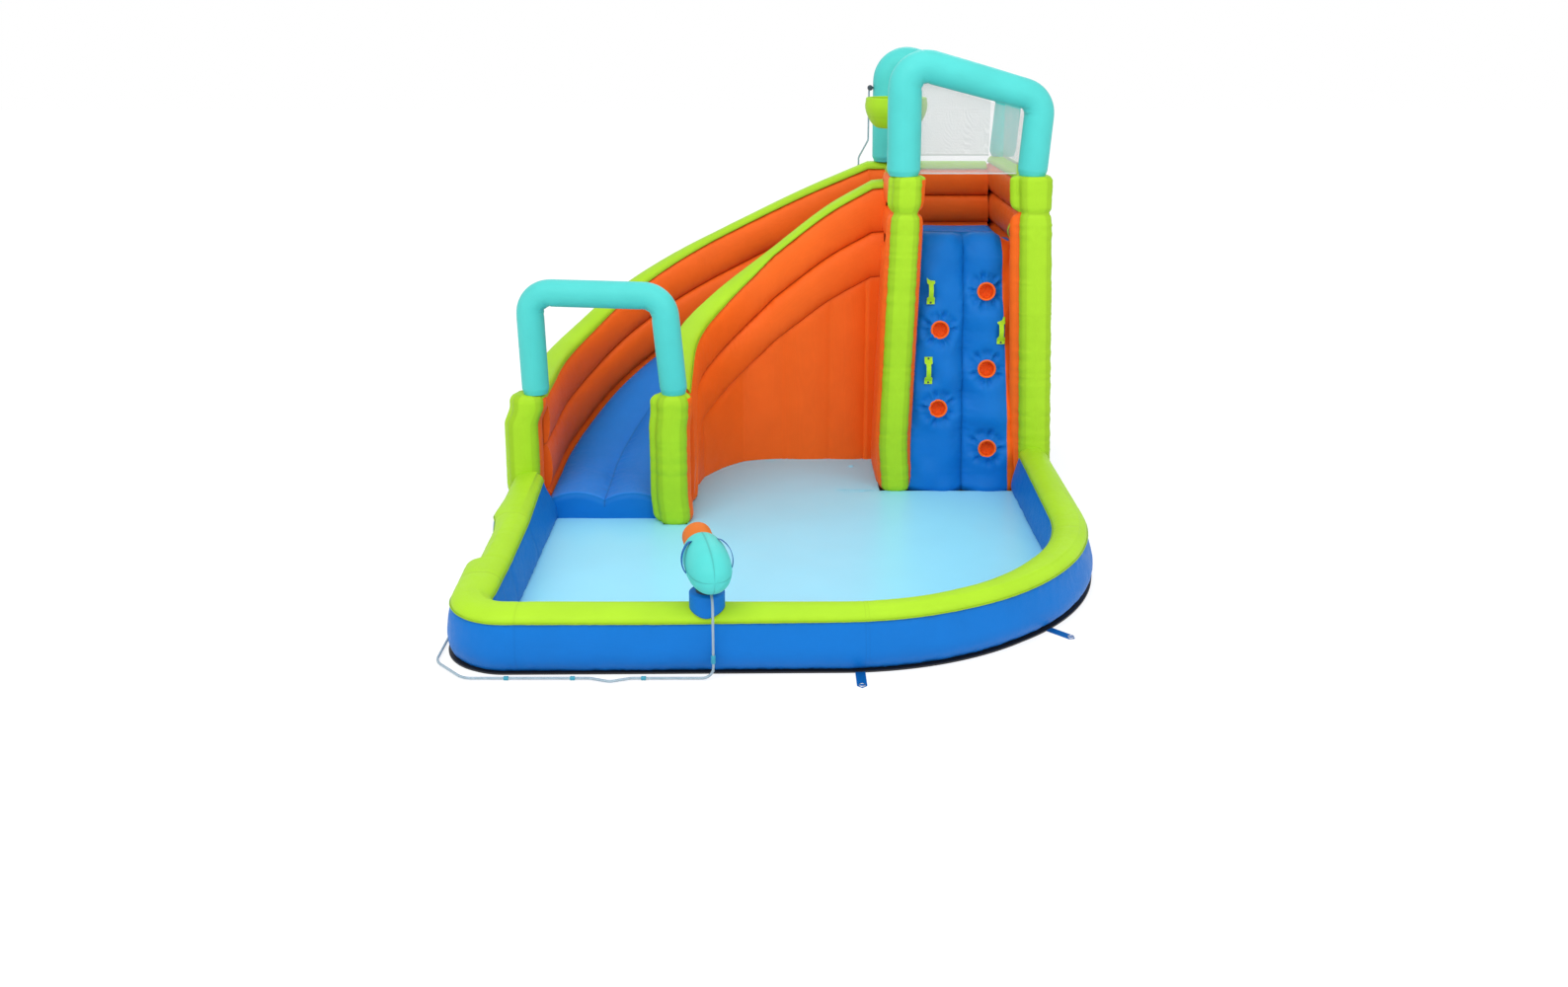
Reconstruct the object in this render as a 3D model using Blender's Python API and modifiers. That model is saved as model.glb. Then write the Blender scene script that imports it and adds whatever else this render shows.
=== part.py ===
"""Inflatable garden water park: a walled pool, a curved slide, a climbing tower, a water cannon,
a tipping bucket, and the fan blower that keeps it inflated.

Lengths are in metres. X runs left to right, Y from the pool's front to the tower at the back, and Z is up.
The origin is on the ground under the middle of the base mat.
"""

import math

import bmesh
import bpy
from mathutils import Matrix, Vector

# Whole park
PARK_WIDTH = 3.20
PARK_DEPTH = 3.65
GAP = 0.0003
SKIN_GAP = 0.001
MAT_THICKNESS = 0.008
MAT_MARGIN = 0.004

# Pool
POOL_WALL_THICKNESS = 0.26
POOL_WALL_HEIGHT = 0.285
POOL_BULGE = 0.020
POOL_CORNER_RADIUS = 0.18
POOL_ROUND_X = 0.20
POOL_ROUND_Y = -0.515
BAND_THICKNESS = 0.006
BAND_DROP = 0.045
FLOOR_THICKNESS = 0.006
DRAIN_RADIUS = 0.022
DRAIN_HEIGHT = 0.008
DRAIN_X = 0.40
DRAIN_Y = 0.96

# Slide channel and its two walls
EXIT_Y = 0.04
EXIT_HEIGHT = 0.165
WALL_THICKNESS = 0.18
WALL_BULGE = 0.020
OUTER_STRAIGHT_END_Y = 0.62
OUTER_CURVE_END_X = -0.50
INNER_X = -0.665
INNER_STRAIGHT_END_Y = 0.42
INNER_CURVE_END_X = -0.10
INNER_Y = 1.175
CURVE_STEPS = 12
STRAIGHT_STEPS = 3
TOP_STEPS = 6
RUN_OUT = 0.72
BED_EASE = 0.35
BED_THICKNESS = 0.20
BED_CROWN = 0.045
BED_ROLLS = 2
LIP_DROPS = (0.035, 0.010, 0.0)
LIP_STEPS = (0.0, 0.012, 0.045)
STEP_TO_PLATFORM = 0.05
ROLL_HEIGHT = 0.285
GROOVE_DEPTH = 0.030
CREST_DROP = 0.035
SKIN_THICKNESS = 0.004
# Height of each wall's crest over the slide's edge, at shares of the way from the exit to the tower
OUTER_SIDE_HEIGHTS = ((0.0, 0.60), (0.25, 0.62), (0.42, 0.58), (0.65, 0.57), (0.85, 0.545), (1.0, 0.495))
INNER_SIDE_HEIGHTS = (
    (0.0, 0.64), (0.24, 0.78), (0.34, 0.76), (0.47, 0.655), (0.62, 0.575), (0.85, 0.525), (1.0, 0.435),
)

# Slide posts and the arch on them
POST_DEPTH = 0.17
POST_PINCH = 0.014
POST_CORNER = 0.040
LEFT_POST_HEIGHT = 0.745
RIGHT_POST_HEIGHT = 0.775
RIGHT_POST_FRONT_Y = -0.07
POST_SEAM_REACH = 0.06
POST_END_REACH = 0.05
SLIDE_ARCH_RADIUS = 0.077
SLIDE_ARCH_BAR_HEIGHT = 1.331
SLIDE_ARCH_LEFT_SHOULDER_X = -1.475
SLIDE_ARCH_RIGHT_SHOULDER_X = -0.712
SLIDE_ARCH_BEND = 0.12
SLIDE_ARCH_SHIFT = 0.030

# Tower
PLATFORM_HEIGHT = 1.50
PLATFORM_THICKNESS = 0.20
TOWER_FRONT_Y = 0.48
TOWER_POST_DEPTH = 0.18
TOWER_HEIGHT = 1.935
TOWER_BLOCK = 0.215
TOWER_BLOCK_ROUNDING = 0.03
LEFT_WALL_WIDTH = 0.175
RIGHT_WALL_WIDTH = 0.195
TOWER_LEFT_X = 0.615
TOWER_LEFT_LEAN = 0.060
TOWER_RIGHT_LEAN = 0.080
BACK_WALL_STEP = 0.035
CLIMB_FOOT_Y = 0.53
CLIMB_LEAN = 0.21
CLIMB_THICKNESS = 0.19
CLIMB_CROWN = 0.05
CLIMB_RISE = 0.07

# Holds on the climbing wall: share of its width, and height
FOOTHOLDS = ((0.72, 1.23), (0.27, 1.00), (0.72, 0.765), (0.27, 0.525), (0.72, 0.28))
FOOTHOLD_RADIUS = 0.050
FOOTHOLD_DEPTH = 0.075
FOOTHOLD_WALL = 0.005
FOOTHOLD_LIP = 0.010
HANDLES = ((0.17, 1.235), (0.17, 0.755), (0.86, 0.995))
HANDLE_LENGTH = 0.165
HANDLE_WIDTH = 0.040
HANDLE_WAIST = 0.022
HANDLE_STAND_OFF = 0.030
HANDLE_THICKNESS = 0.004
HANDLE_CLEARANCE = 0.002
GATE_HANDLE_RISE = 0.090
GATE_HANDLE_Y = 0.700

# Tower arches and nets
ARCH_LEG_RADIUS = 0.097
ARCH_THIN_RADIUS = 0.086
ARCH_FOOT_SHARE = 0.87
ARCH_HIGH_RISE = 0.660
ARCH_LOW_RISE = 0.445
ARCH_LEFT_LEAN = 0.005
ARCH_RIGHT_LEAN = 0.030
ARCH_FOOT_RISE = 0.030
ARCH_BEND = 0.125
FRONT_ARCH_LEFT_X = 0.655
FRONT_ARCH_RIGHT_X = 1.405
BACK_ARCH_LEFT_X = 0.655
BACK_ARCH_RIGHT_X = 1.430
NET_STRAND = 0.010
NET_THICKNESS = 0.004
NET_MARGIN = 0.006
NET_CORNER = 0.035
NET_CELLS = (5, 4)

# Bucket
BUCKET_X = 0.655
BUCKET_Y = 1.12
AXLE_RISE = 0.375
AXLE_CLEARANCE = 0.002
BUCKET_RADIUS = 0.192
BUCKET_HEIGHT = 0.185
BUCKET_WALL = 0.014
AXLE_RADIUS = 0.010
FIT_CLEARANCE = 0.0001
FIT_SIDES = 32
PULL_STRAP_LENGTH = 0.075
PULL_STRAP_WIDTH = 0.026
PULL_STRAP_THICKNESS = 0.004

# Water cannon
CANNON_X = -0.395
CANNON_OFFSET = 0.030
CANNON_YAW = math.radians(13.0)
CANNON_PITCH = math.radians(5.0)
PEDESTAL_RADIUS = 0.079
PEDESTAL_TOP = 0.372
PEDESTAL_CLEARANCE = 0.0015
TURNTABLE_RADIUS = 0.050
TURNTABLE_THICKNESS = 0.008
PIVOT_HEIGHT = 0.406
PIN_RADIUS = 0.004
LUG_THICKNESS = 0.007
LUG_SPACING = 0.030
LUG_LENGTH = 0.034
LUG_RISE = 0.012
SLOT_CLEARANCE = 0.006
SLOT_HEIGHT = 0.040
KEEL_THICKNESS = 0.014
KEEL_WIDTH = 0.024
KEEL_DROP = 0.010
POD_RADIUS = 0.100
POD_TAIL = 0.190
POD_NOSE = 0.150
NOZZLE_RADIUS = 0.068
NOZZLE_LENGTH = 0.120
NOZZLE_BORE = 0.050
GRIP_RADIUS = 0.005
GRIP_STAND_OFF = 0.024
GRIP_FRONT = 0.045
GRIP_LENGTH = 0.155
GRIP_FRONT_ANGLE = 52.0
GRIP_TURN = 62.0

# Water hoses
HOSE_RADIUS = 0.006
HOSE_OFFSET = 0.015
HOSE_GROUND = 0.0105
HOSE_BEND = 0.050
HOSE_LEAD = 0.066
HOSE_CLEARANCE = 0.002
COUPLING_X = 1.623
COUPLING_Y = -0.25
COUPLING_Z = 0.020
COUPLING_LENGTH = 0.080
COUPLING_RADIUS = 0.016
INLET_REACH = 0.044
INLET_RADIUS = 0.0185
INLET_BORE = 0.010
NOZZLE_HOLD_X = 0.535
SPRAY_RISE = 0.455
SPRAY_BACK_Y = 1.735
SPRAY_LENGTH = 0.062

# Loops for ground anchors
LOOP_REACH = 0.070
LOOP_WIDTH = 0.045
LOOP_THICKNESS = 0.003
LOOP_LIFT = 0.0005
EYELET_RADIUS = 0.010

# Blower and its sleeve
BLOWER_X = 1.00
BLOWER_Y = 2.50
VOLUTE_RADIUS = 0.170
SHAFT_HEIGHT = 0.200
HOUSING_HALF_WIDTH = 0.065
HOUSING_WALL = 0.004
OUTLET_REACH = 0.240
OUTLET_HEIGHT = 0.124
NECK_RADIUS = 0.054
NECK_LENGTH = 0.055
NECK_WALL = 0.004
INTAKE_RADIUS = 0.070
INTAKE_SLOTS = 9
INTAKE_SLOT_HEIGHT = 0.008
IMPELLER_RADIUS = 0.095
IMPELLER_HUB = 0.040
IMPELLER_WIDTH = 0.060
IMPELLER_BLADES = 12
MOTOR_RADIUS = 0.060
MOTOR_LENGTH = 0.080
SHAFT_RADIUS = 0.006
SLEEVE_CLEARANCE = 0.002
SLEEVE_WALL = 0.004
CARRY_RADIUS = 0.011
HANDLE_SPAN = 0.13
HANDLE_RISE = 0.055
FOOT_LENGTH = 0.30
FOOT_WIDTH = 0.035
FOOT_MARGIN = 0.030

# Heights and plan lines that several pieces share
BASE_Z = MAT_THICKNESS + GAP
FLOOR_TOP = BASE_Z + FLOOR_THICKNESS
POOL_TOP = BASE_Z + POOL_WALL_HEIGHT
POOL_LINE_X = PARK_WIDTH / 2 - POOL_WALL_THICKNESS / 2
POOL_LINE_Y = -PARK_DEPTH / 2 + POOL_WALL_THICKNESS / 2
CHANNEL_FACE = WALL_THICKNESS / 2
FAR_FACE = WALL_THICKNESS / 2 + WALL_BULGE
OUTER_X = -PARK_WIDTH / 2 + FAR_FACE
OUTER_Y = PARK_DEPTH / 2 - FAR_FACE
TOWER_RIGHT_X = PARK_WIDTH / 2 - SKIN_THICKNESS - SKIN_GAP - RIGHT_WALL_WIDTH / 2
TOWER_BACK_Y = OUTER_Y + FAR_FACE - GROOVE_DEPTH
BACK_FACE_Y = OUTER_Y - CHANNEL_FACE
LEFT_POST_BACK_Y = EXIT_Y + POST_DEPTH
RIGHT_POST_BACK_Y = RIGHT_POST_FRONT_Y + POST_DEPTH
FRONT_ARCH_Y = TOWER_FRONT_Y + TOWER_POST_DEPTH / 2
CANNON_Y = POOL_LINE_Y - CANNON_OFFSET
MOUTH_Y = BLOWER_Y - OUTLET_REACH
BACK_WALL_HEIGHT = TOWER_HEIGHT - BACK_WALL_STEP
CLIMB_TOP = PLATFORM_HEIGHT + CLIMB_RISE
GATE_HANDLE_Z = PLATFORM_HEIGHT + GATE_HANDLE_RISE
ARCH_HIGH_Z = TOWER_HEIGHT + ARCH_HIGH_RISE
ARCH_LOW_Z = TOWER_HEIGHT + ARCH_LOW_RISE
AXLE_Z = TOWER_HEIGHT + AXLE_RISE
SPRAY_Z = TOWER_HEIGHT + SPRAY_RISE

# Colours, roughness and metallic value of each finish
FINISHES = {
    "lime_fabric": ((0.46, 0.83, 0.03), 0.55, 0.0),
    "orange_fabric": ((0.78, 0.10, 0.015), 0.55, 0.0),
    "teal_fabric": ((0.065, 0.69, 0.64), 0.50, 0.0),
    "blue_fabric": ((0.01, 0.18, 0.70), 0.55, 0.0),
    "floor_vinyl": ((0.35, 0.71, 0.91), 0.45, 0.0),
    "mat_vinyl": ((0.012, 0.012, 0.015), 0.60, 0.0),
    "net_mesh": ((0.85, 0.87, 0.88), 0.70, 0.0),
    "clear_hose": ((0.72, 0.82, 0.86), 0.15, 0.0),
    "teal_plastic": ((0.03, 0.30, 0.38), 0.40, 0.0),
    "dark_plastic": ((0.03, 0.05, 0.07), 0.45, 0.0),
    "orange_plastic": ((0.87, 0.22, 0.02), 0.40, 0.0),
    "nozzle_fabric": ((0.95, 0.24, 0.03), 0.50, 0.0),
    "metal": ((0.60, 0.61, 0.62), 0.35, 1.0),
}


def make_material(name):
    """A Principled material from the table of finishes."""
    colour, roughness, metallic = FINISHES[name]
    material = bpy.data.materials.new(name)
    material.use_nodes = True
    shader = material.node_tree.nodes["Principled BSDF"]
    shader.inputs["Base Color"].default_value = (*colour, 1.0)
    shader.inputs["Roughness"].default_value = roughness
    shader.inputs["Metallic"].default_value = metallic
    return material


def new_collection(name):
    """A collection linked to the scene."""
    collection = bpy.data.collections.new(name)
    bpy.context.scene.collection.children.link(collection)
    return collection


def add_object(name, data, finish):
    """Put a mesh or curve into the park under its node's name."""
    item = bpy.data.objects.new(name, data)
    data.materials.append(materials[finish])
    parts.objects.link(item)
    return item


def add_cutter(name, data):
    """Put a mesh among the cutters, drawn as wire and left out of renders."""
    item = bpy.data.objects.new(name, data)
    item.hide_render = True
    item.display_type = "WIRE"
    cutters.objects.link(item)
    return item


def finish_mesh(bm, name, smooth_angle=40.0):
    """Turn a bmesh into a mesh with outward faces and smooth shading on its round sides."""
    bmesh.ops.recalc_face_normals(bm, faces=bm.faces)
    mesh = bpy.data.meshes.new(name)
    bm.to_mesh(mesh)
    bm.free()
    mesh.shade_smooth()
    mesh.set_sharp_from_angle(angle=math.radians(smooth_angle))
    return mesh


def skin_rings(bm, rings, keys=None):
    """Join closed rings of equal count. Keys choose each quad's diagonal, the same way on touching pieces."""
    rows = [[bm.verts.new(point) for point in ring] for ring in rings]
    count = len(rows[0])
    for row, (a, b) in enumerate(zip(rows, rows[1:])):
        for i in range(count):
            j = (i + 1) % count
            if keys is None or keys[row][i] <= keys[row][j]:
                bm.faces.new((a[i], a[j], b[j]))
                bm.faces.new((a[i], b[j], b[i]))
            else:
                bm.faces.new((a[i], a[j], b[i]))
                bm.faces.new((a[j], b[j], b[i]))
    bm.faces.new(rows[0])
    bm.faces.new(list(reversed(rows[-1])))


def loft(name, rings, finish, keys=None):
    """A solid through closed rings, capped at both ends."""
    bm = bmesh.new()
    skin_rings(bm, rings, keys)
    return add_object(name, finish_mesh(bm, name), finish)


def box_mesh(name, low, high):
    """A box between two corners."""
    bm = bmesh.new()
    size = [b - a for a, b in zip(low, high)]
    middle = [(a + b) / 2 for a, b in zip(low, high)]
    bmesh.ops.create_cube(bm, size=1.0, matrix=Matrix.Translation(middle) @ Matrix.Diagonal((*size, 1.0)))
    return finish_mesh(bm, name)


def cylinder_mesh(name, radius, start, end, sides=24):
    """A cylinder between two points."""
    bm = bmesh.new()
    axis = Vector(end) - Vector(start)
    turn = axis.to_track_quat("Z", "Y").to_matrix().to_4x4()
    place = Matrix.Translation((Vector(start) + Vector(end)) / 2) @ turn
    bmesh.ops.create_cone(
        bm, cap_ends=True, segments=sides, radius1=radius, radius2=radius, depth=axis.length, matrix=place
    )
    return finish_mesh(bm, name)


def join_meshes(name, meshes):
    """One mesh that holds several separate solids."""
    bm = bmesh.new()
    for mesh in meshes:
        bm.from_mesh(mesh)
    return finish_mesh(bm, name)


def boolean(item, cutter, operation="DIFFERENCE"):
    """Cut or join one object with another."""
    modifier = item.modifiers.new(cutter.name, "BOOLEAN")
    modifier.operation = operation
    modifier.object = cutter
    modifier.solver = "EXACT"


def turned(name, profile, finish, place=None, steps=24, closed=False):
    """A profile of (radius, height) points turned about its Z axis, running down its outer side."""
    bm = bmesh.new()
    points = [bm.verts.new((radius, 0.0, height)) for radius, height in profile]
    for a, b in zip(points, points[1:]):
        bm.edges.new((a, b))
    if closed:
        bm.edges.new((points[-1], points[0]))
    mesh = bpy.data.meshes.new(name)
    bm.to_mesh(mesh)
    bm.free()
    item = add_object(name, mesh, finish)
    if place is not None:
        item.matrix_world = place
    screw = item.modifiers.new("turn", "SCREW")
    screw.steps = steps
    screw.render_steps = steps
    screw.use_merge_vertices = True
    screw.merge_threshold = 0.00005
    screw.use_smooth_shade = True
    return item


def tube(name, points, radius, finish, resolution=3, radii=None):
    """A round tube along points, with filled ends."""
    curve = bpy.data.curves.new(name, "CURVE")
    curve.dimensions = "3D"
    curve.bevel_depth = radius
    curve.bevel_resolution = resolution
    curve.use_fill_caps = True
    curve.twist_mode = "MINIMUM"
    spline = curve.splines.new("POLY")
    spline.points.add(len(points) - 1)
    for index, point in enumerate(points):
        spline.points[index].co = (*point, 1.0)
        spline.points[index].radius = radii[index] if radii else 1.0
    return add_object(name, curve, finish)


def tube_mesh(name, points, radius, sides=6):
    """A round tube as a mesh, its rings square to the route."""
    points = [Vector(point) for point in points]
    rings = []
    up = None
    for index, point in enumerate(points):
        before = points[max(index - 1, 0)]
        after = points[min(index + 1, len(points) - 1)]
        ahead = (after - before).normalized()
        if up is None:
            up = Vector((0.0, 0.0, 1.0)) if abs(ahead.z) < 0.9 else Vector((1.0, 0.0, 0.0))
        across = ahead.cross(up).normalized()
        up = across.cross(ahead).normalized()
        angles = [2 * math.pi * k / sides for k in range(sides)]
        rings.append([point + radius * (math.cos(a) * across + math.sin(a) * up) for a in angles])
    bm = bmesh.new()
    skin_rings(bm, rings)
    return finish_mesh(bm, name)


def rounded_route(corners, radii, steps=5):
    """A route through corners, each inner corner turned at its radius."""
    route = [Vector(corners[0])]
    for before, corner, after, radius in zip(corners, corners[1:], corners[2:], radii):
        corner = Vector(corner)
        back = (Vector(before) - corner).normalized()
        ahead = (Vector(after) - corner).normalized()
        half = back.angle(ahead) / 2
        if radius <= 0.0 or half > math.pi / 2 - 0.02:
            route.append(corner)
            continue
        centre = corner + (back + ahead).normalized() * radius / math.sin(half)
        first = (corner + back * radius / math.tan(half) - centre).normalized()
        last = (corner + ahead * radius / math.tan(half) - centre).normalized()
        for step in range(steps + 1):
            route.append(centre + first.slerp(last, step / steps) * radius)
    route.append(Vector(corners[-1]))
    return route


def smooth_between(knots, share):
    """Value of a smooth curve through knots of (share, value)."""
    slopes = []
    for index in range(len(knots)):
        (share_a, a), (share_b, b) = knots[max(0, index - 1)], knots[min(len(knots) - 1, index + 1)]
        slopes.append((b - a) / (share_b - share_a))
    index = 0
    while index < len(knots) - 2 and share > knots[index + 1][0]:
        index += 1
    (share_a, a), (share_b, b) = knots[index], knots[index + 1]
    reach = share_b - share_a
    t = (share - share_a) / reach
    bend_a = slopes[index] * reach - (b - a)
    bend_b = b - a - slopes[index + 1] * reach
    return a + (b - a) * t + t * (1 - t) * ((1 - t) * bend_a + t * bend_b)


def softened(distance, ease):
    """A distance past a point, none before it, with a smooth start over a stretch each side of the point."""
    if distance <= -ease:
        return 0.0
    if distance >= ease:
        return distance
    return (distance + ease) ** 2 / (4 * ease)


def ellipse_points(centre, radius_x, radius_y, start, end, steps):
    """Points on an ellipse between two angles in degrees, without the first."""
    angles = [math.radians(start + (end - start) * step / steps) for step in range(1, steps + 1)]
    return [(centre[0] + radius_x * math.cos(a), centre[1] + radius_y * math.sin(a)) for a in angles]


def line_points(start, end, steps):
    """Even points on a line, without the first."""
    return [
        (start[0] + (end[0] - start[0]) * k / steps, start[1] + (end[1] - start[1]) * k / steps)
        for k in range(1, steps + 1)
    ]


def stations(points):
    """Each plan point with the left-hand vector that offsets the line by one metre, mitred at bends."""
    result = []
    for index, point in enumerate(points):
        before = Vector(points[max(index - 1, 0)])
        here = Vector(point)
        after = Vector(points[min(index + 1, len(points) - 1)])
        back = (here - before) if index else (after - here)
        ahead = (after - here) if index < len(points) - 1 else back
        left_a = Vector((-back.y, back.x)).normalized()
        left_b = Vector((-ahead.y, ahead.x)).normalized()
        left = (left_a + left_b).normalized()
        result.append((here, left / max(left.dot(left_a), 0.3)))
    return result


def at(station, across, height):
    """The point that lies across from a station, at a height."""
    point, left = station
    return Vector((point.x + left.x * across, point.y + left.y * across, height))


def offset_line(points, distance):
    """A copy of a section's line moved to its left."""
    pairs = stations(points)
    return [tuple(point + left * distance) for point, left in pairs]


def sweep(name, line, sections, finish):
    """A solid whose section of (across, height) points changes from station to station."""
    rings = [[at(station, *point) for point in section] for station, section in zip(line, sections)]
    keys = [[point[0] for point in section] for section in sections]
    return loft(name, rings, finish, keys)


def skin_section(points, gap, thickness):
    """The section of a skin that lies over a line of points, to its left."""
    return offset_line(points, gap + thickness) + list(reversed(offset_line(points, gap)))


def roll_side(edges, face, groove):
    """Points up a face of stacked rolls, drawn in by the groove at each edge."""
    points = [(face - groove, edges[0])]
    for low, high in zip(edges, edges[1:]):
        rise = high - low
        points.append((face - 0.3 * groove, low + 0.2 * rise))
        points.append((face, low + 0.5 * rise))
        points.append((face - 0.3 * groove, low + 0.8 * rise))
        points.append((face - groove, high))
    return points


def mirrored(points):
    """Points of a section on the other side, in turned order."""
    return [(-across, height) for across, height in reversed(points)]


# Plan lines


def pool_line():
    """Middle line of the pool's wall, from the slide's left post round to the tower's right post."""
    radius = POOL_CORNER_RADIUS
    corner = (-POOL_LINE_X + radius, POOL_LINE_Y + radius)
    far_right = (POOL_LINE_X, TOWER_FRONT_Y - GAP)
    start = (-POOL_LINE_X, EXIT_Y - GAP)
    points = [start]
    points += line_points(start, (-POOL_LINE_X, corner[1]), 6)
    points += ellipse_points(corner, radius, radius, 180.0, 270.0, 5)
    points += line_points(points[-1], (POOL_ROUND_X, POOL_LINE_Y), 4)
    centre = (POOL_ROUND_X, POOL_ROUND_Y)
    across = POOL_LINE_X - POOL_ROUND_X
    points += ellipse_points(centre, across, POOL_ROUND_Y - POOL_LINE_Y, -90.0, 0.0, 14)
    points += line_points(points[-1], far_right, 4)
    return points


def slide_line(start_y, straight_x, straight_end_y, curve_end_x, top_y, end_x):
    """Middle line of a slide wall: up the side, round the bend and along the back."""
    start = (straight_x, start_y)
    bend = (straight_x, straight_end_y)
    points = [start] + line_points(start, bend, STRAIGHT_STEPS)
    centre = (curve_end_x, straight_end_y)
    points += ellipse_points(
        centre, curve_end_x - straight_x, top_y - straight_end_y, 180.0, 90.0, CURVE_STEPS
    )
    return points + line_points(points[-1], (end_x, top_y), TOP_STEPS)


def left_wall_x(height, side):
    """Face of the tower's left wall, which leans; side is -1 outside, 1 inside, 0 the middle."""
    return TOWER_LEFT_X + TOWER_LEFT_LEAN * height / TOWER_HEIGHT + side * LEFT_WALL_WIDTH / 2


def right_wall_x(height, side):
    """Face of the tower's right wall; side is -1 inside, 1 outside, 0 the middle."""
    return TOWER_RIGHT_X - TOWER_RIGHT_LEAN * height / TOWER_HEIGHT + side * RIGHT_WALL_WIDTH / 2


WALL_END_X = left_wall_x(0.0, -1) - GAP
OUTER_POINTS = slide_line(
    LEFT_POST_BACK_Y + GAP, OUTER_X, OUTER_STRAIGHT_END_Y, OUTER_CURVE_END_X, OUTER_Y, WALL_END_X
)
INNER_POINTS = slide_line(
    RIGHT_POST_BACK_Y + GAP, INNER_X, INNER_STRAIGHT_END_Y, INNER_CURVE_END_X, INNER_Y, WALL_END_X
)
OUTER_LINE = stations(OUTER_POINTS)
INNER_LINE = stations(INNER_POINTS)


def bed_edges():
    """Pairs of plan points, on the outer and the inner side, from the slide's lip to the platform."""
    outer_x = OUTER_X + CHANNEL_FACE + GAP
    inner_x = INNER_X - CHANNEL_FACE - GAP
    pairs = [(Vector((outer_x, EXIT_Y + step)), Vector((inner_x, EXIT_Y + step))) for step in LIP_STEPS]
    for outer, inner in zip(OUTER_LINE, INNER_LINE):
        outer_point = at(outer, -CHANNEL_FACE - GAP, 0.0)
        inner_point = at(inner, CHANNEL_FACE + GAP, 0.0)
        pairs.append((outer_point.xy, inner_point.xy))
    return pairs


def bed_heights():
    """Height of the slide's surface at each pair of bed edges."""
    middles = [(outer + inner) / 2 for outer, inner in bed_edges()]
    lengths = [0.0]
    for a, b in zip(middles, middles[1:]):
        lengths.append(lengths[-1] + (b - a).length)
    top = PLATFORM_HEIGHT - STEP_TO_PLATFORM
    heights = []
    for length in lengths:
        share = softened(length - RUN_OUT, BED_EASE) / (lengths[-1] - RUN_OUT)
        heights.append(EXIT_HEIGHT + (top - EXIT_HEIGHT) * share)
    return heights, lengths


BED_HEIGHTS, BED_LENGTHS = bed_heights()
LIP_STATIONS = len(BED_HEIGHTS) - len(OUTER_LINE)


def crest_height(index, side_heights):
    """Height of a slide wall's crest at one of its stations."""
    share = BED_LENGTHS[index + LIP_STATIONS] / BED_LENGTHS[-1]
    edge = BED_HEIGHTS[index + LIP_STATIONS] - BED_CROWN
    return edge + smooth_between(side_heights, share)


# Sections of the walls


def pool_section():
    """Outline of the pool's wall, from its outer foot over the crown to its inner foot."""
    half = POOL_WALL_THICKNESS / 2
    foot = half - POOL_BULGE
    shoulder = POOL_TOP - BAND_DROP
    middle = (BASE_Z + shoulder) / 2
    spread = (shoulder - BASE_Z) / 4
    outside = [
        (-foot, BASE_Z),
        (-half, middle - spread),
        (-half, middle + spread),
        (-foot, shoulder),
    ]
    crown = [(-0.55 * half, POOL_TOP - 0.25 * BAND_DROP), (0.0, POOL_TOP), (0.55 * half, POOL_TOP - 0.25 * BAND_DROP)]
    return outside + crown + mirrored(outside)


def pool_band_line():
    """The stretch of the pool wall's outline that its band covers."""
    return pool_section()[3:8]


def crest_line(crest, left_face, right_face):
    """Crown of a slide wall, from the groove under its left shoulder to the one under its right."""
    return [
        (-left_face + GROOVE_DEPTH, crest - CREST_DROP),
        (-0.62 * left_face, crest - 0.28 * CREST_DROP),
        (0.0, crest),
        (0.62 * right_face, crest - 0.28 * CREST_DROP),
        (right_face - GROOVE_DEPTH, crest - CREST_DROP),
    ]


def channel_side(edge, crest):
    """Face of a slide wall toward the slide: plain beside the bed, then two rolls."""
    top = crest - CREST_DROP
    start = edge + 0.02
    plain = [(CHANNEL_FACE, BASE_Z), (CHANNEL_FACE, edge)]
    return plain + roll_side([start, (start + top) / 2, top], CHANNEL_FACE, GROOVE_DEPTH)[:-1]


def pool_side(crest):
    """Face of the inner wall toward the pool: a recessed panel with two rolls over it."""
    top = crest - CREST_DROP
    rolls = min(ROLL_HEIGHT, (top - BASE_Z) / 2.6)
    panel = [(FAR_FACE - GROOVE_DEPTH, BASE_Z)]
    return panel + roll_side([top - 2 * rolls, top - rolls, top], FAR_FACE, GROOVE_DEPTH)[:-1]


def yard_side(crest, face):
    """Face of a wall toward the yard: a tall roll with a short one over it."""
    top = crest - CREST_DROP
    seam = top - min(ROLL_HEIGHT, (top - BASE_Z) / 2)
    return roll_side([BASE_Z, seam, top], face, GROOVE_DEPTH)[:-1]


def yard_skin(crest, face):
    """Section of the blue skin over a wall's yard side, from just under its band to the ground."""
    side = yard_side(crest, face)
    shoulder = (face - GROOVE_DEPTH, crest - CREST_DROP)
    share = 0.6
    top = tuple(a + (b - a) * share for a, b in zip(side[-1], shoulder))
    skin = skin_section([top] + list(reversed(side)), SKIN_GAP, SKIN_THICKNESS)
    return [(across, max(height, BASE_Z)) for across, height in skin]


def tower_side(crest, face):
    """Inner face of a tower wall: plain to the platform, then two rolls."""
    shoulder = crest - CREST_DROP
    foot = PLATFORM_HEIGHT + 0.01
    plain = [(face, BASE_Z), (face, PLATFORM_HEIGHT)]
    return plain + roll_side([foot, (foot + shoulder) / 2, shoulder], face, GROOVE_DEPTH)[:-1]


def wall_section(left_points, crest_points, right_points):
    """A whole outline: up the left face, over the crest and down the right face."""
    left = [(-across, height) for across, height in left_points]
    return left + crest_points + list(reversed(right_points))


# Base, pool and floor


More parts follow.
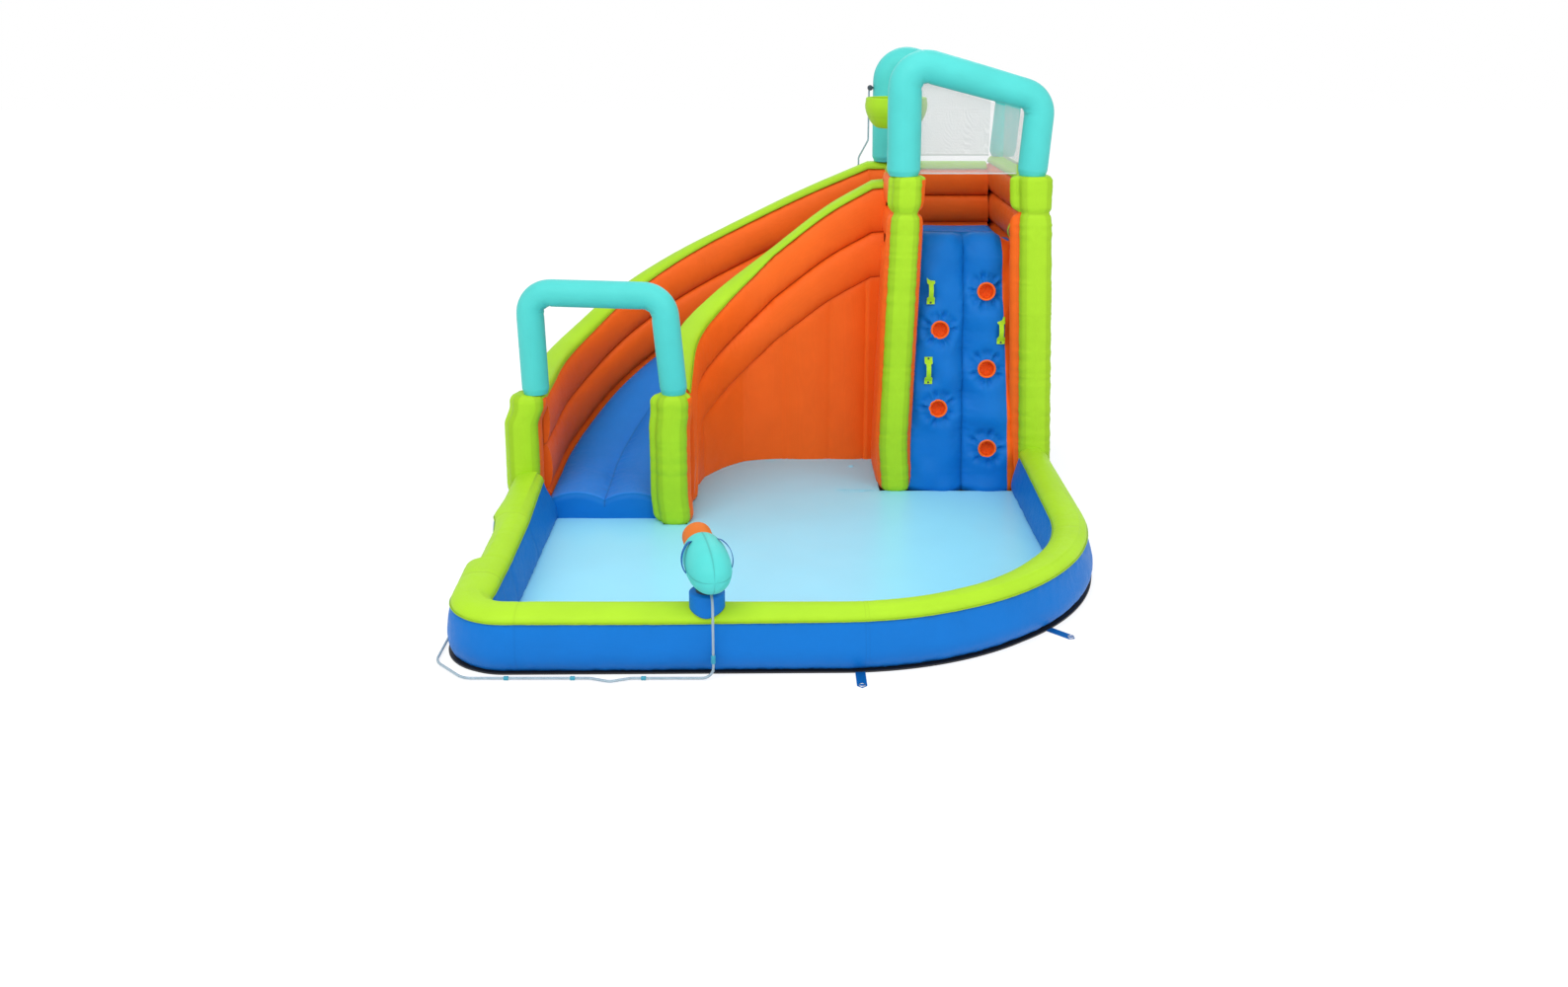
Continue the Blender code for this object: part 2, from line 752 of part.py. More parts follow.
def side_tabs():
    """Where the webbing loops leave the mat: plan point and the direction each points in."""
    half_x = PARK_WIDTH / 2
    half_y = PARK_DEPTH / 2
    return [
        (Vector((0.28, -half_y)), Vector((0.0, -1.0))),
        (Vector((1.24, -1.39)), Vector((0.72, -0.69)).normalized()),
        (Vector((-half_x, -0.75)), Vector((-1.0, 0.0))),
        (Vector((-half_x, 0.40)), Vector((-1.0, 0.0))),
        (Vector((half_x, 1.20)), Vector((1.0, 0.0))),
        (Vector((-0.30, half_y)), Vector((0.0, 1.0))),
        (Vector((0.55, half_y)), Vector((0.0, 1.0))),
        (Vector((1.35, half_y)), Vector((0.0, 1.0))),
    ]


def without_straights(outline):
    """An outline without the points that lie on a straight run."""
    kept = []
    for before, (x, y), after in zip(outline[-1:] + outline[:-1], outline, outline[1:] + outline[:1]):
        turn = (x - before[0]) * (after[1] - y) - (y - before[1]) * (after[0] - x)
        if abs(turn) > 1e-5:
            kept.append((x, y))
    return kept


def footprint(margin):
    """Outline of the park on the ground, widened by a margin."""
    half_wall = POOL_WALL_THICKNESS / 2 + margin
    pool = [at(station, -half_wall, 0.0) for station in stations(pool_line())]
    corner = (PARK_WIDTH / 2 + margin, PARK_DEPTH / 2 + margin)
    bend = [at(station, FAR_FACE + margin, 0.0) for station in OUTER_LINE[STRAIGHT_STEPS:-TOP_STEPS]]
    outline = [(point.x, point.y) for point in pool] + [corner] + [(point.x, point.y) for point in reversed(bend)]
    return without_straights(outline)


def floor_outline():
    """Outline of the pool's floor, a little clear of all that stands round it."""
    clear = 0.002
    pool = [at(station, POOL_WALL_THICKNESS / 2 + clear, 0.0) for station in stations(pool_line())]
    pool[0].y = EXIT_Y - clear
    pool[-1].y = TOWER_FRONT_Y - clear
    tower_x = left_wall_x(0.0, -1) - clear
    wall = [at(station, -FAR_FACE - clear, 0.0) for station in INNER_LINE]
    wall = [(point.x, point.y) for point in reversed(wall) if point.x < tower_x]
    post_right = INNER_X + WALL_THICKNESS / 2 + clear
    post_left = INNER_X - WALL_THICKNESS / 2 - clear
    post_front = RIGHT_POST_FRONT_Y - clear
    outline = [(point.x, point.y) for point in pool]
    outline += [(tower_x, TOWER_FRONT_Y - clear), (tower_x, INNER_Y - FAR_FACE - clear)]
    outline += wall
    outline += [(post_right, RIGHT_POST_BACK_Y), (post_right, post_front), (post_left, post_front)]
    return without_straights(outline + [(post_left, EXIT_Y - clear)])


def flat_mesh(name, outlines, thickness, place):
    """A flat piece cut to closed outlines (those inside another are holes), with its top and bottom filled."""
    curve = bpy.data.curves.new(name, "CURVE")
    curve.dimensions = "2D"
    curve.fill_mode = "BOTH"
    curve.extrude = thickness / 2
    for outline in outlines:
        spline = curve.splines.new("POLY")
        spline.points.add(len(outline) - 1)
        for index, (x, y) in enumerate(outline):
            spline.points[index].co = (x, y, 0.0, 1.0)
        spline.use_cyclic_u = True
    guide = bpy.data.objects.new(name, curve)
    cutters.objects.link(guide)
    evaluated = guide.evaluated_get(bpy.context.evaluated_depsgraph_get())
    mesh = bpy.data.meshes.new_from_object(evaluated)
    bpy.data.objects.remove(guide, do_unlink=True)
    bm = bmesh.new()
    bm.from_mesh(mesh)
    bmesh.ops.remove_doubles(bm, verts=bm.verts, dist=0.00002)
    bm.transform(place)
    return finish_mesh(bm, name)


def circle_outline(x, y, radius, sides=12):
    """Points of a round hole."""
    angles = [2 * math.pi * side / sides for side in range(sides)]
    return [(x + radius * math.cos(a), y + radius * math.sin(a)) for a in angles]


def build_base():
    """The black mat with its webbing loops, the pool's floor and its drain plug."""
    place = Matrix.Translation((0.0, 0.0, MAT_THICKNESS / 2))
    mat = add_object("base_mat", flat_mesh("base_mat", [footprint(MAT_MARGIN)], MAT_THICKNESS, place), "mat_vinyl")
    tabs = []
    holes = []
    for point, outward in side_tabs():
        corner_low = (-LOOP_WIDTH, -LOOP_WIDTH / 2, LOOP_LIFT)
        corner_high = (LOOP_REACH, LOOP_WIDTH / 2, LOOP_LIFT + LOOP_THICKNESS)
        tab = box_mesh("loop", corner_low, corner_high)
        turn = Matrix.Rotation(math.atan2(outward.y, outward.x), 4, "Z")
        tab.transform(Matrix.Translation((*point, 0.0)) @ turn)
        tabs.append(tab)
        eyelet = point + outward * (LOOP_REACH - LOOP_WIDTH / 2)
        holes.append(cylinder_mesh("eyelet", EYELET_RADIUS, (*eyelet, -0.01), (*eyelet, 0.02), 12))
    boolean(mat, add_cutter("loops", join_meshes("loops", tabs)), "UNION")
    boolean(mat, add_cutter("eyelets", join_meshes("eyelets", holes)))
    place = Matrix.Translation((0.0, 0.0, BASE_Z + FLOOR_THICKNESS / 2))
    add_object("pool_floor", flat_mesh("pool_floor", [floor_outline()], FLOOR_THICKNESS, place), "floor_vinyl")
    low = FLOOR_TOP + GAP
    profile = [
        (0.0, low + DRAIN_HEIGHT),
        (DRAIN_RADIUS * 0.6, low + DRAIN_HEIGHT),
        (DRAIN_RADIUS * 0.65, low + DRAIN_HEIGHT * 0.45),
        (DRAIN_RADIUS, low + DRAIN_HEIGHT * 0.35),
        (DRAIN_RADIUS, low),
        (0.0, low),
    ]
    turned("drain_plug", profile, "floor_vinyl", Matrix.Translation((DRAIN_X, DRAIN_Y, 0.0)), steps=16)


def build_pool_wall():
    """The inflated wall round the pool and the lime band on its crown."""
    line = stations(pool_line())
    sweep("pool_wall", line, [pool_section()] * len(line), "blue_fabric")
    band = skin_section(pool_band_line(), SKIN_GAP, BAND_THICKNESS)
    sweep("pool_band", line, [band] * len(line), "lime_fabric")


# Slide


def bed_ring(outer, inner, height, drop):
    """Section of the bed from the outer to the inner side: rolls on top, flat below."""
    steps = 4 * BED_ROLLS
    bottom = max(BASE_Z, height - BED_CROWN - BED_THICKNESS)
    ring = []
    for step in range(steps + 1):
        share = step / steps
        wave = abs(math.sin(math.pi * share * BED_ROLLS)) ** 0.7
        place = outer.lerp(inner, share)
        ring.append(Vector((place.x, place.y, height - drop - BED_CROWN * (1.0 - wave))))
    ring.append(Vector((inner.x, inner.y, bottom)))
    ring.append(Vector((outer.x, outer.y, bottom)))
    return ring


def build_slide_bed():
    """The slide's inflated bed, from its lip over the pool up to the platform."""
    rings = []
    for index, (outer, inner) in enumerate(bed_edges()):
        drop = LIP_DROPS[index] if index < len(LIP_DROPS) else 0.0
        rings.append(bed_ring(outer, inner, BED_HEIGHTS[index], drop))
    for point in rings[-1]:
        point.x = left_wall_x(point.z, 1) - GAP
    loft("slide_bed", rings, "blue_fabric")


def lean_end(item):
    """Move the last ring of a slide wall against the tower's leaning left wall."""
    end_x = max(vertex.co.x for vertex in item.data.vertices)
    for vertex in item.data.vertices:
        if vertex.co.x > end_x - 0.00001:
            vertex.co.x = left_wall_x(vertex.co.z, -1) - GAP


def build_inner_wall():
    """The wall between the slide and the pool, with the lime band on its crest."""
    walls, bands = [], []
    for index in range(len(INNER_LINE)):
        edge = BED_HEIGHTS[index + LIP_STATIONS] - BED_CROWN
        crest = crest_height(index, INNER_SIDE_HEIGHTS)
        crown = crest_line(crest, FAR_FACE, CHANNEL_FACE)
        walls.append(wall_section(pool_side(crest), crown, channel_side(edge, crest)))
        bands.append(skin_section(crown, SKIN_GAP, BAND_THICKNESS))
    lean_end(sweep("inner_wall", INNER_LINE, walls, "orange_fabric"))
    lean_end(sweep("inner_wall_band", INNER_LINE, bands, "lime_fabric"))


def build_outer_wall():
    """The wall on the slide's yard side; its band and its blue skin go on round the tower."""
    walls, bands, skins = [], [], []
    for index in range(len(OUTER_LINE)):
        edge = BED_HEIGHTS[index + LIP_STATIONS] - BED_CROWN
        crest = crest_height(index, OUTER_SIDE_HEIGHTS)
        crown = crest_line(crest, CHANNEL_FACE, FAR_FACE)
        walls.append(wall_section(channel_side(edge, crest), crown, yard_side(crest, FAR_FACE)))
        bands.append(skin_section(crown, SKIN_GAP, BAND_THICKNESS))
        skins.append(yard_skin(crest, FAR_FACE))
    sweep("outer_wall", OUTER_LINE, walls, "orange_fabric")
    back = BACK_WALL_HEIGHT
    crown = skin_section(crest_line(back, CHANNEL_FACE, FAR_FACE), SKIN_GAP, BAND_THICKNESS)
    rings = [[at(station, *point) for point in section] for station, section in zip(OUTER_LINE, bands)]
    rings.append([Vector((right_wall_x(z, -1) - BAND_THICKNESS, OUTER_Y + across, z)) for across, z in crown])
    loft("outer_wall_band", rings, "lime_fabric")

    rings = [[at(station, *point) for point in section] for station, section in zip(OUTER_LINE, skins)]
    behind = yard_skin(back, FAR_FACE)
    rings.append([Vector((right_wall_x(z, -1) + SKIN_GAP, OUTER_Y + across, z)) for across, z in behind])
    behind = yard_skin(TOWER_HEIGHT, FAR_FACE)
    beside = yard_skin(TOWER_HEIGHT, RIGHT_WALL_WIDTH / 2)
    rings.append([Vector((right_wall_x(z, 0), OUTER_Y + across, z)) for across, z in behind])
    corner = []
    for (back_across, z), (side_across, _) in zip(behind, beside):
        corner.append(Vector((right_wall_x(z, 0) + side_across, OUTER_Y + back_across, z)))
    rings.append(corner)
    front = TOWER_FRONT_Y + TOWER_POST_DEPTH + GAP
    rings.append([Vector((right_wall_x(z, 0) + across, front, z)) for across, z in beside])
    loft("outer_skin", rings, "blue_fabric")


def rounded_rectangle(centre, width, depth, radius, height, corner_steps=2):
    """A level ring with rounded corners."""
    ring = []
    for corner in range(4):
        sign_x = 1.0 if corner in (0, 3) else -1.0
        sign_y = 1.0 if corner in (0, 1) else -1.0
        middle = (centre[0] + sign_x * (width / 2 - radius), centre[1] + sign_y * (depth / 2 - radius))
        for step in range(corner_steps + 1):
            angle = math.radians(90.0 * (corner + step / corner_steps))
            ring.append(Vector((middle[0] + radius * math.cos(angle), middle[1] + radius * math.sin(angle), height)))
    return ring


def post_rings(centre_at, width, depth, levels):
    """Rings of an inflated post: levels are (height, how far the sides draw in)."""
    return [
        rounded_rectangle(centre_at(height), width - 2 * pinch, depth - 2 * pinch, POST_CORNER, height)
        for height, pinch in levels
    ]


def build_slide_posts():
    """The two lime posts at the slide's exit and the teal arch that stands on them."""
    posts = (
        ("slide_post_left", OUTER_X, EXIT_Y, LEFT_POST_HEIGHT),
        ("slide_post_right", INNER_X, RIGHT_POST_FRONT_Y, RIGHT_POST_HEIGHT),
    )
    for name, x, front, top in posts:
        levels = (
            (BASE_Z, POST_PINCH),
            (BASE_Z + POST_END_REACH, 0.0),
            (top - POST_END_REACH, 0.0),
            (top, 0.8 * POST_PINCH),
        )
        y = front + POST_DEPTH / 2
        loft(name, post_rings(lambda height, x=x, y=y: (x, y), WALL_THICKNESS, POST_DEPTH, levels), "lime_fabric")
    left_y = EXIT_Y + POST_DEPTH / 2
    right_y = RIGHT_POST_FRONT_Y + POST_DEPTH / 2
    route = arch_route(
        (OUTER_X + SLIDE_ARCH_SHIFT, left_y, LEFT_POST_HEIGHT + GAP),
        (INNER_X, right_y, RIGHT_POST_HEIGHT + GAP),
        (SLIDE_ARCH_LEFT_SHOULDER_X, left_y, SLIDE_ARCH_BAR_HEIGHT),
        (SLIDE_ARCH_RIGHT_SHOULDER_X, right_y, SLIDE_ARCH_BAR_HEIGHT),
        SLIDE_ARCH_BEND,
    )
    tube("slide_arch", route, SLIDE_ARCH_RADIUS, "teal_fabric", resolution=3)


def arch_route(left_foot, right_foot, left_corner, right_corner, bend):
    """Middle line of an arch: level feet, two legs, two bends and the bar between them."""
    rise = Vector((0.0, 0.0, ARCH_FOOT_RISE))
    corners = [
        Vector(left_foot),
        Vector(left_foot) + rise,
        Vector(left_corner),
        Vector(right_corner),
        Vector(right_foot) + rise,
        Vector(right_foot),
    ]
    return rounded_route(corners, (0.0, bend, bend, 0.0), steps=6)


# Tower


def build_side_wall(label, middle_x, width, back):
    """One of the tower's side walls, leaning with its height, and the lime band on its crown."""
    front = TOWER_FRONT_Y + TOWER_POST_DEPTH + GAP
    face = width / 2
    inside = tower_side(TOWER_HEIGHT, face)
    outside = yard_side(TOWER_HEIGHT, face) if label == "right" else tower_side(TOWER_HEIGHT, face)
    crown = crest_line(TOWER_HEIGHT, face, face)
    outline = wall_section(inside, crown, outside)
    band = skin_section(crown, SKIN_GAP, BAND_THICKNESS)
    for name, section, finish in (("wall", outline, "orange_fabric"), ("band", band, "lime_fabric")):
        rings = []
        for y in (front, back):
            rings.append([Vector((middle_x(z) + across, y, z)) for across, z in section])
        loft(f"tower_{name}_{label}", rings, finish)


def build_tower_walls():
    """Left, right and back walls of the tower."""
    build_side_wall("left", lambda z: left_wall_x(z, 0), LEFT_WALL_WIDTH, INNER_Y + CHANNEL_FACE)
    build_side_wall("right", lambda z: right_wall_x(z, 0), RIGHT_WALL_WIDTH, TOWER_BACK_Y)
    crown = crest_line(BACK_WALL_HEIGHT, CHANNEL_FACE, FAR_FACE)
    inside = tower_side(BACK_WALL_HEIGHT, CHANNEL_FACE)
    outline = wall_section(inside, crown, yard_side(BACK_WALL_HEIGHT, FAR_FACE))
    left = [Vector((WALL_END_X + GAP, OUTER_Y + across, z)) for across, z in outline]
    right = [Vector((right_wall_x(z, -1) - GAP, OUTER_Y + across, z)) for across, z in outline]
    loft("tower_wall_back", [left, right], "orange_fabric")


def build_tower_posts():
    """Lime posts on the tower's front, each with a separate block of roll at its top."""
    seam = TOWER_HEIGHT - TOWER_BLOCK
    levels = (
        (BASE_Z, POST_PINCH),
        (BASE_Z + POST_END_REACH, 0.0),
        (seam - POST_SEAM_REACH, 0.0),
        (seam, POST_PINCH),
        (seam + POST_SEAM_REACH, 0.0),
        (TOWER_HEIGHT - TOWER_BLOCK_ROUNDING, 0.0),
        (TOWER_HEIGHT, 0.3 * POST_PINCH),
    )
    y = TOWER_FRONT_Y + TOWER_POST_DEPTH / 2
    for name, face, width in (
        ("tower_post_left", left_wall_x, LEFT_WALL_WIDTH),
        ("tower_post_right", right_wall_x, RIGHT_WALL_WIDTH),
    ):
        rings = post_rings(lambda z, face=face: (face(z, 0), y), width, TOWER_POST_DEPTH, levels)
        loft(name, rings, "lime_fabric")


def climb_x(share, height):
    """A point across the climbing wall, between the tower's side walls."""
    left = left_wall_x(height, 1) + GAP
    right = right_wall_x(height, -1) - GAP
    return left + (right - left) * share


def climb_front_y(share, height):
    """Front of the climbing wall: two upright rolls with a crease between them, leaning back."""
    wave = abs(math.sin(2 * math.pi * share)) ** 0.6
    return CLIMB_FOOT_Y + CLIMB_LEAN * height / PLATFORM_HEIGHT - CLIMB_CROWN * wave


def climb_back_y(height):
    """Back of the climbing wall, where the platform starts."""
    return CLIMB_FOOT_Y + CLIMB_LEAN * height / PLATFORM_HEIGHT + CLIMB_THICKNESS


def climb_frame(share, height, clearance=0.0):
    """A frame on the climbing wall's face: Y up along it and Z out of it."""
    lean = math.atan2(CLIMB_LEAN, PLATFORM_HEIGHT)
    outward = Vector((0.0, -math.cos(lean), math.sin(lean)))
    up = Vector((0.0, math.sin(lean), math.cos(lean)))
    frame = Matrix((up.cross(outward), up, outward)).transposed().to_4x4()
    frame.translation = Vector((climb_x(share, height), climb_front_y(share, height), height)) + outward * clearance
    return frame


def build_climbing_wall():
    """The blue wall that is climbed, with a pocket for each foothold."""
    steps = 8
    levels = ((BASE_Z, 0.02), (0.05, 0.0), (0.45, 0.0), (0.90, 0.0), (CLIMB_TOP - 0.15, 0.0))
    levels += ((CLIMB_TOP - 0.08, 0.025), (CLIMB_TOP - 0.025, 0.065), (CLIMB_TOP, 0.095))
    rings = []
    for height, inset in levels:
        shares = [step / steps for step in range(steps + 1)]
        ring = [Vector((climb_x(share, height), climb_front_y(share, height) + inset, height)) for share in shares]
        back = climb_back_y(min(height, PLATFORM_HEIGHT))
        ring.append(Vector((climb_x(1.0, height), back, height)))
        ring.append(Vector((climb_x(0.0, height), back, height)))
        rings.append(ring)
    wall = loft("climbing_wall", rings, "blue_fabric")
    low = (0.0, 0.0, -FOOTHOLD_DEPTH - 0.002)
    pockets = []
    for share, height in FOOTHOLDS:
        mesh = cylinder_mesh("pocket", FOOTHOLD_RADIUS + 2 * GAP, low, (0.0, 0.0, 0.1), 20)
        mesh.transform(climb_frame(share, height))
        pockets.append(mesh)
    boolean(wall, add_cutter("pockets", join_meshes("pockets", pockets)))


def build_footholds():
    """Orange cups that line the pockets in the climbing wall."""
    inner = FOOTHOLD_RADIUS - FOOTHOLD_WALL
    profile = [
        (0.0, FOOTHOLD_WALL - FOOTHOLD_DEPTH),
        (inner, FOOTHOLD_WALL - FOOTHOLD_DEPTH),
        (inner, FOOTHOLD_LIP),
        (FOOTHOLD_RADIUS, FOOTHOLD_LIP),
        (FOOTHOLD_RADIUS, -FOOTHOLD_DEPTH),
        (0.0, -FOOTHOLD_DEPTH),
    ]
    for number, (share, height) in enumerate(FOOTHOLDS, 1):
        mesh = turned_mesh("foothold", profile, climb_frame(share, height), 20)
        add_object(f"foothold_{number}", mesh, "orange_fabric")


def turned_mesh(name, profile, place, steps):
    """A turned solid in a frame, its profile going up the inside and down the outside from axis to axis."""
    bm = bmesh.new()
    rows = []
    for radius, height in profile:
        count = steps if radius else 1
        angles = [2 * math.pi * step / steps for step in range(count)]
        rows.append([bm.verts.new((radius * math.cos(a), radius * math.sin(a), height)) for a in angles])
    for a, b in zip(rows, rows[1:]):
        for step in range(steps):
            after = (step + 1) % steps
            corners = [a[step % len(a)], a[after % len(a)], b[after % len(b)], b[step % len(b)]]
            bm.faces.new(list(dict.fromkeys(corners)))
    bm.transform(place)
    return finish_mesh(bm, name)


def strap_mesh(frame, length):
    """A webbing handle along its frame's Y axis: flat at both ends, bowed out along Z between them."""
    shares = (0.0, 0.12, 0.22, 0.35, 0.50, 0.65, 0.78, 0.88, 1.0)
    rings = []
    for share in shares:
        bow = HANDLE_STAND_OFF * math.sin(math.pi * min(1.0, max(0.0, (share - 0.12) / 0.76)))
        half = HANDLE_WAIST / 2 if 0.3 < share < 0.7 else HANDLE_WIDTH / 2
        y = (share - 0.5) * length
        section = ((-half, bow), (half, bow), (half, bow + HANDLE_THICKNESS), (-half, bow + HANDLE_THICKNESS))
        rings.append([frame @ Vector((x, y, z)) for x, z in section])
    bm = bmesh.new()
    skin_rings(bm, rings)
    return finish_mesh(bm, "strap")


def build_climb_handles():
    """Lime webbing handles: three on the climbing wall and one on each side of the way in over it."""
    for number, (share, height) in enumerate(HANDLES, 1):
        mesh = strap_mesh(climb_frame(share, height, HANDLE_CLEARANCE), HANDLE_LENGTH)
        add_object(f"climb_handle_{number}", mesh, "lime_fabric")
    for label, face, side in (("left", left_wall_x, 1.0), ("right", right_wall_x, -1.0)):
        slope = (face(TOWER_HEIGHT, side) - face(0.0, side)) / TOWER_HEIGHT
        outward = Vector((side, 0.0, -side * slope)).normalized()
        up = Vector((slope, 0.0, 1.0)).normalized()
        frame = Matrix((up.cross(outward), up, outward)).transposed().to_4x4()
        place = Vector((face(GATE_HANDLE_Z, side), GATE_HANDLE_Y, GATE_HANDLE_Z))
        frame.translation = place + outward * HANDLE_CLEARANCE
        add_object(f"gate_handle_{label}", strap_mesh(frame, HANDLE_LENGTH), "lime_fabric")


def build_platform():
    """The slab that is stood on between the climbing wall and the slide."""
    top = PLATFORM_HEIGHT
    rings = []
    for share in (0.0, 0.5, 1.0):
        ring = []
        for height in (top - PLATFORM_THICKNESS, top):
            ring.append(Vector((climb_x(share, height), climb_back_y(height) + 2 * GAP, height)))
        for height in (top, top - PLATFORM_THICKNESS):
            ring.append(Vector((climb_x(share, height), BACK_FACE_Y - GAP, height)))
        rings.append(ring)
    loft("platform", rings, "blue_fabric")


# Arches and nets over the tower


def tower_arch(name, y, left_x, right_x, left_z, right_z):
    """One teal arch whose bar slopes down to the right, thinner in its right leg."""
    route = arch_route(
        (left_x, y, left_z),
        (right_x, y, right_z),
        (left_x - ARCH_LEFT_LEAN, y, ARCH_HIGH_Z),
        (right_x + ARCH_RIGHT_LEAN, y, ARCH_LOW_Z),
        ARCH_BEND,
    )
    change = ARCH_THIN_RADIUS / ARCH_LEG_RADIUS - 1.0
    radii = [1.0 + change * min(1.0, max(0.0, (point.x - left_x) / (right_x - left_x))) for point in route]
    radii[0] *= ARCH_FOOT_SHARE
    radii[-1] *= ARCH_FOOT_SHARE
    tube(name, route, ARCH_LEG_RADIUS, "teal_fabric", resolution=3, radii=radii)


def build_arches():
    """The front arch on the two posts and the back arch on the back and right walls."""
    foot = TOWER_HEIGHT + GAP
    over_band = SKIN_GAP + BAND_THICKNESS + SKIN_GAP
    tower_arch("arch_front", FRONT_ARCH_Y, FRONT_ARCH_LEFT_X, FRONT_ARCH_RIGHT_X, foot, foot)
    left_foot = BACK_WALL_HEIGHT + over_band
    right_foot = TOWER_HEIGHT + over_band
    tower_arch("arch_back", OUTER_Y, BACK_ARCH_LEFT_X, BACK_ARCH_RIGHT_X, left_foot, right_foot)


def net_panel(name, low_left, low_right, high_right, high_left):
    """A flat net between four corners: strands with gaps between them."""
    columns, rows = NET_CELLS
    corners = [Vector(corner) for corner in (low_left, low_right, high_right, high_left)]

    def cuts(count, length):
        strand = NET_STRAND / length
        pitch = (1.0 - strand) / count
        starts = [index * pitch for index in range(count + 1)]
        return sorted(starts + [start + strand for start in starts])

    across = cuts(columns, (corners[1] - corners[0]).length)
    upward = cuts(rows, (corners[3] - corners[0]).length)
    bm = bmesh.new()
    grid = []
    for v in upward:
        points = [corners[0].lerp(corners[1], u).lerp(corners[3].lerp(corners[2], u), v) for u in across]
        grid.append([bm.verts.new(point) for point in points])
    for j in range(len(upward) - 1):
        for i in range(len(across) - 1):
            if not (i % 2 and j % 2):
                bm.faces.new((grid[j][i], grid[j][i + 1], grid[j + 1][i + 1], grid[j + 1][i]))
    mesh = bpy.data.meshes.new(name)
    bm.to_mesh(mesh)
    bm.free()
    solidify = add_object(name, mesh, "net_mesh").modifiers.new("thickness", "SOLIDIFY")
    solidify.thickness = NET_THICKNESS
    solidify.offset = 0.0


def build_nets():
    """Safety nets in the front arch, in the back arch and between the two right legs."""
    low = TOWER_HEIGHT + SKIN_GAP + BAND_THICKNESS + NET_MARGIN
    clear = ARCH_LEG_RADIUS + NET_MARGIN
    under = ARCH_LEG_RADIUS + NET_CORNER
    drop = (ARCH_HIGH_Z - ARCH_LOW_Z) * clear / (FRONT_ARCH_RIGHT_X - FRONT_ARCH_LEFT_X)
    high_left = ARCH_HIGH_Z - drop - under
    high_right = ARCH_LOW_Z + drop - under
    for name, y, left, right in (
        ("net_front", FRONT_ARCH_Y, FRONT_ARCH_LEFT_X, FRONT_ARCH_RIGHT_X),
        ("net_back", OUTER_Y, BACK_ARCH_LEFT_X, BACK_ARCH_RIGHT_X),
    ):
        x_left = left + clear
        x_right = right - clear
        corners = ((x_left, y, low), (x_right, y, low), (x_right, y, high_right), (x_left, y, high_left))
        net_panel(name, *corners)
    front = FRONT_ARCH_Y + clear
    back = OUTER_Y - clear
    x = (FRONT_ARCH_RIGHT_X + BACK_ARCH_RIGHT_X) / 2
    net_panel("net_right", (x, front, low), (x, back, low), (x, back, high_right), (x, front, high_right))


# Bucket


def pivot(name, place):
    """An empty on a joint's axis."""
    empty = bpy.data.objects.new(name, None)
    empty.location = place
    parts.objects.link(empty)
    return empty


def ride(item, empty):
    """Hang a piece on an empty without moving it."""
    item.parent = empty
    item.matrix_parent_inverse = Matrix.Translation(empty.location).inverted()


def build_bucket():
    """The tipping bucket, its axle between the arches' left legs and the strap that is pulled."""
    axis = pivot("bucket_axis", (BUCKET_X, BUCKET_Y, AXLE_Z))
    rim = 0.25 * BUCKET_HEIGHT
    low = rim - BUCKET_HEIGHT
    outer = BUCKET_RADIUS
    lip = 0.97 * outer
    profile = [
        (0.0, low + BUCKET_WALL),
        (0.50 * outer, low + BUCKET_WALL),
        (0.80 * outer - BUCKET_WALL, 0.45 * low),
        (outer - BUCKET_WALL, 0.0),
        (lip - BUCKET_WALL, 0.8 * rim),
        (lip - BUCKET_WALL / 2, rim),
        (lip, 0.8 * rim),
        (outer, 0.0),
        (0.88 * outer, 0.50 * low),
        (0.66 * outer, 0.92 * low),
        (0.50 * outer, low),
        (0.0, low),
    ]
    place = Matrix.Translation(axis.location)
    bucket = add_object("bucket", turned_mesh("bucket", profile, place, 24), "lime_fabric")
    ends = [(BUCKET_X, BUCKET_Y + side * (outer + 0.02), AXLE_Z) for side in (-1, 1)]
    boolean(bucket, add_cutter("axle_hole", cylinder_mesh("axle_hole", AXLE_RADIUS + FIT_CLEARANCE, *ends, FIT_SIDES)))
    strap_top = AXLE_Z + low - GAP
    half_thick = PULL_STRAP_THICKNESS / 2
    half_wide = PULL_STRAP_WIDTH / 2
    corner_low = (BUCKET_X - half_thick, BUCKET_Y - half_wide, strap_top - PULL_STRAP_LENGTH)
    corner_high = (BUCKET_X + half_thick, BUCKET_Y + half_wide, strap_top)
    strap = add_object("bucket_strap", box_mesh("bucket_strap", corner_low, corner_high), "lime_fabric")
    ride(bucket, axis)
    ride(strap, axis)
    reach = ARCH_LEG_RADIUS + AXLE_CLEARANCE
    start = (BUCKET_X, FRONT_ARCH_Y + reach, AXLE_Z)
    end = (BUCKET_X, OUTER_Y - reach, AXLE_Z)
    add_object("bucket_axle", cylinder_mesh("bucket_axle", AXLE_RADIUS, start, end, FIT_SIDES), "metal")


# Water cannon


def pod_profile():
    """The pod's turned outline: distance along the aim and radius, from nose to tail."""
    nose, tail, radius = POD_NOSE, POD_TAIL, POD_RADIUS
    shares = ((1.0, 0.72), (0.92, 0.80), (0.65, 0.915), (0.33, 0.98), (0.0, 1.0))
    front = [(nose * along, radius * share) for along, share in shares]
    shares = ((0.30, 0.985), (0.58, 0.90), (0.80, 0.72), (0.94, 0.44))
    return front + [(-tail * along, radius * share) for along, share in shares]


def pod_radius(along):
    """Radius of the pod at a distance along its aim."""
    profile = pod_profile()
    for (a, radius_a), (b, radius_b) in zip(profile, profile[1:]):
        if b <= along <= a:
            return radius_b + (radius_a - radius_b) * (along - b) / (a - b)
    return 0.0


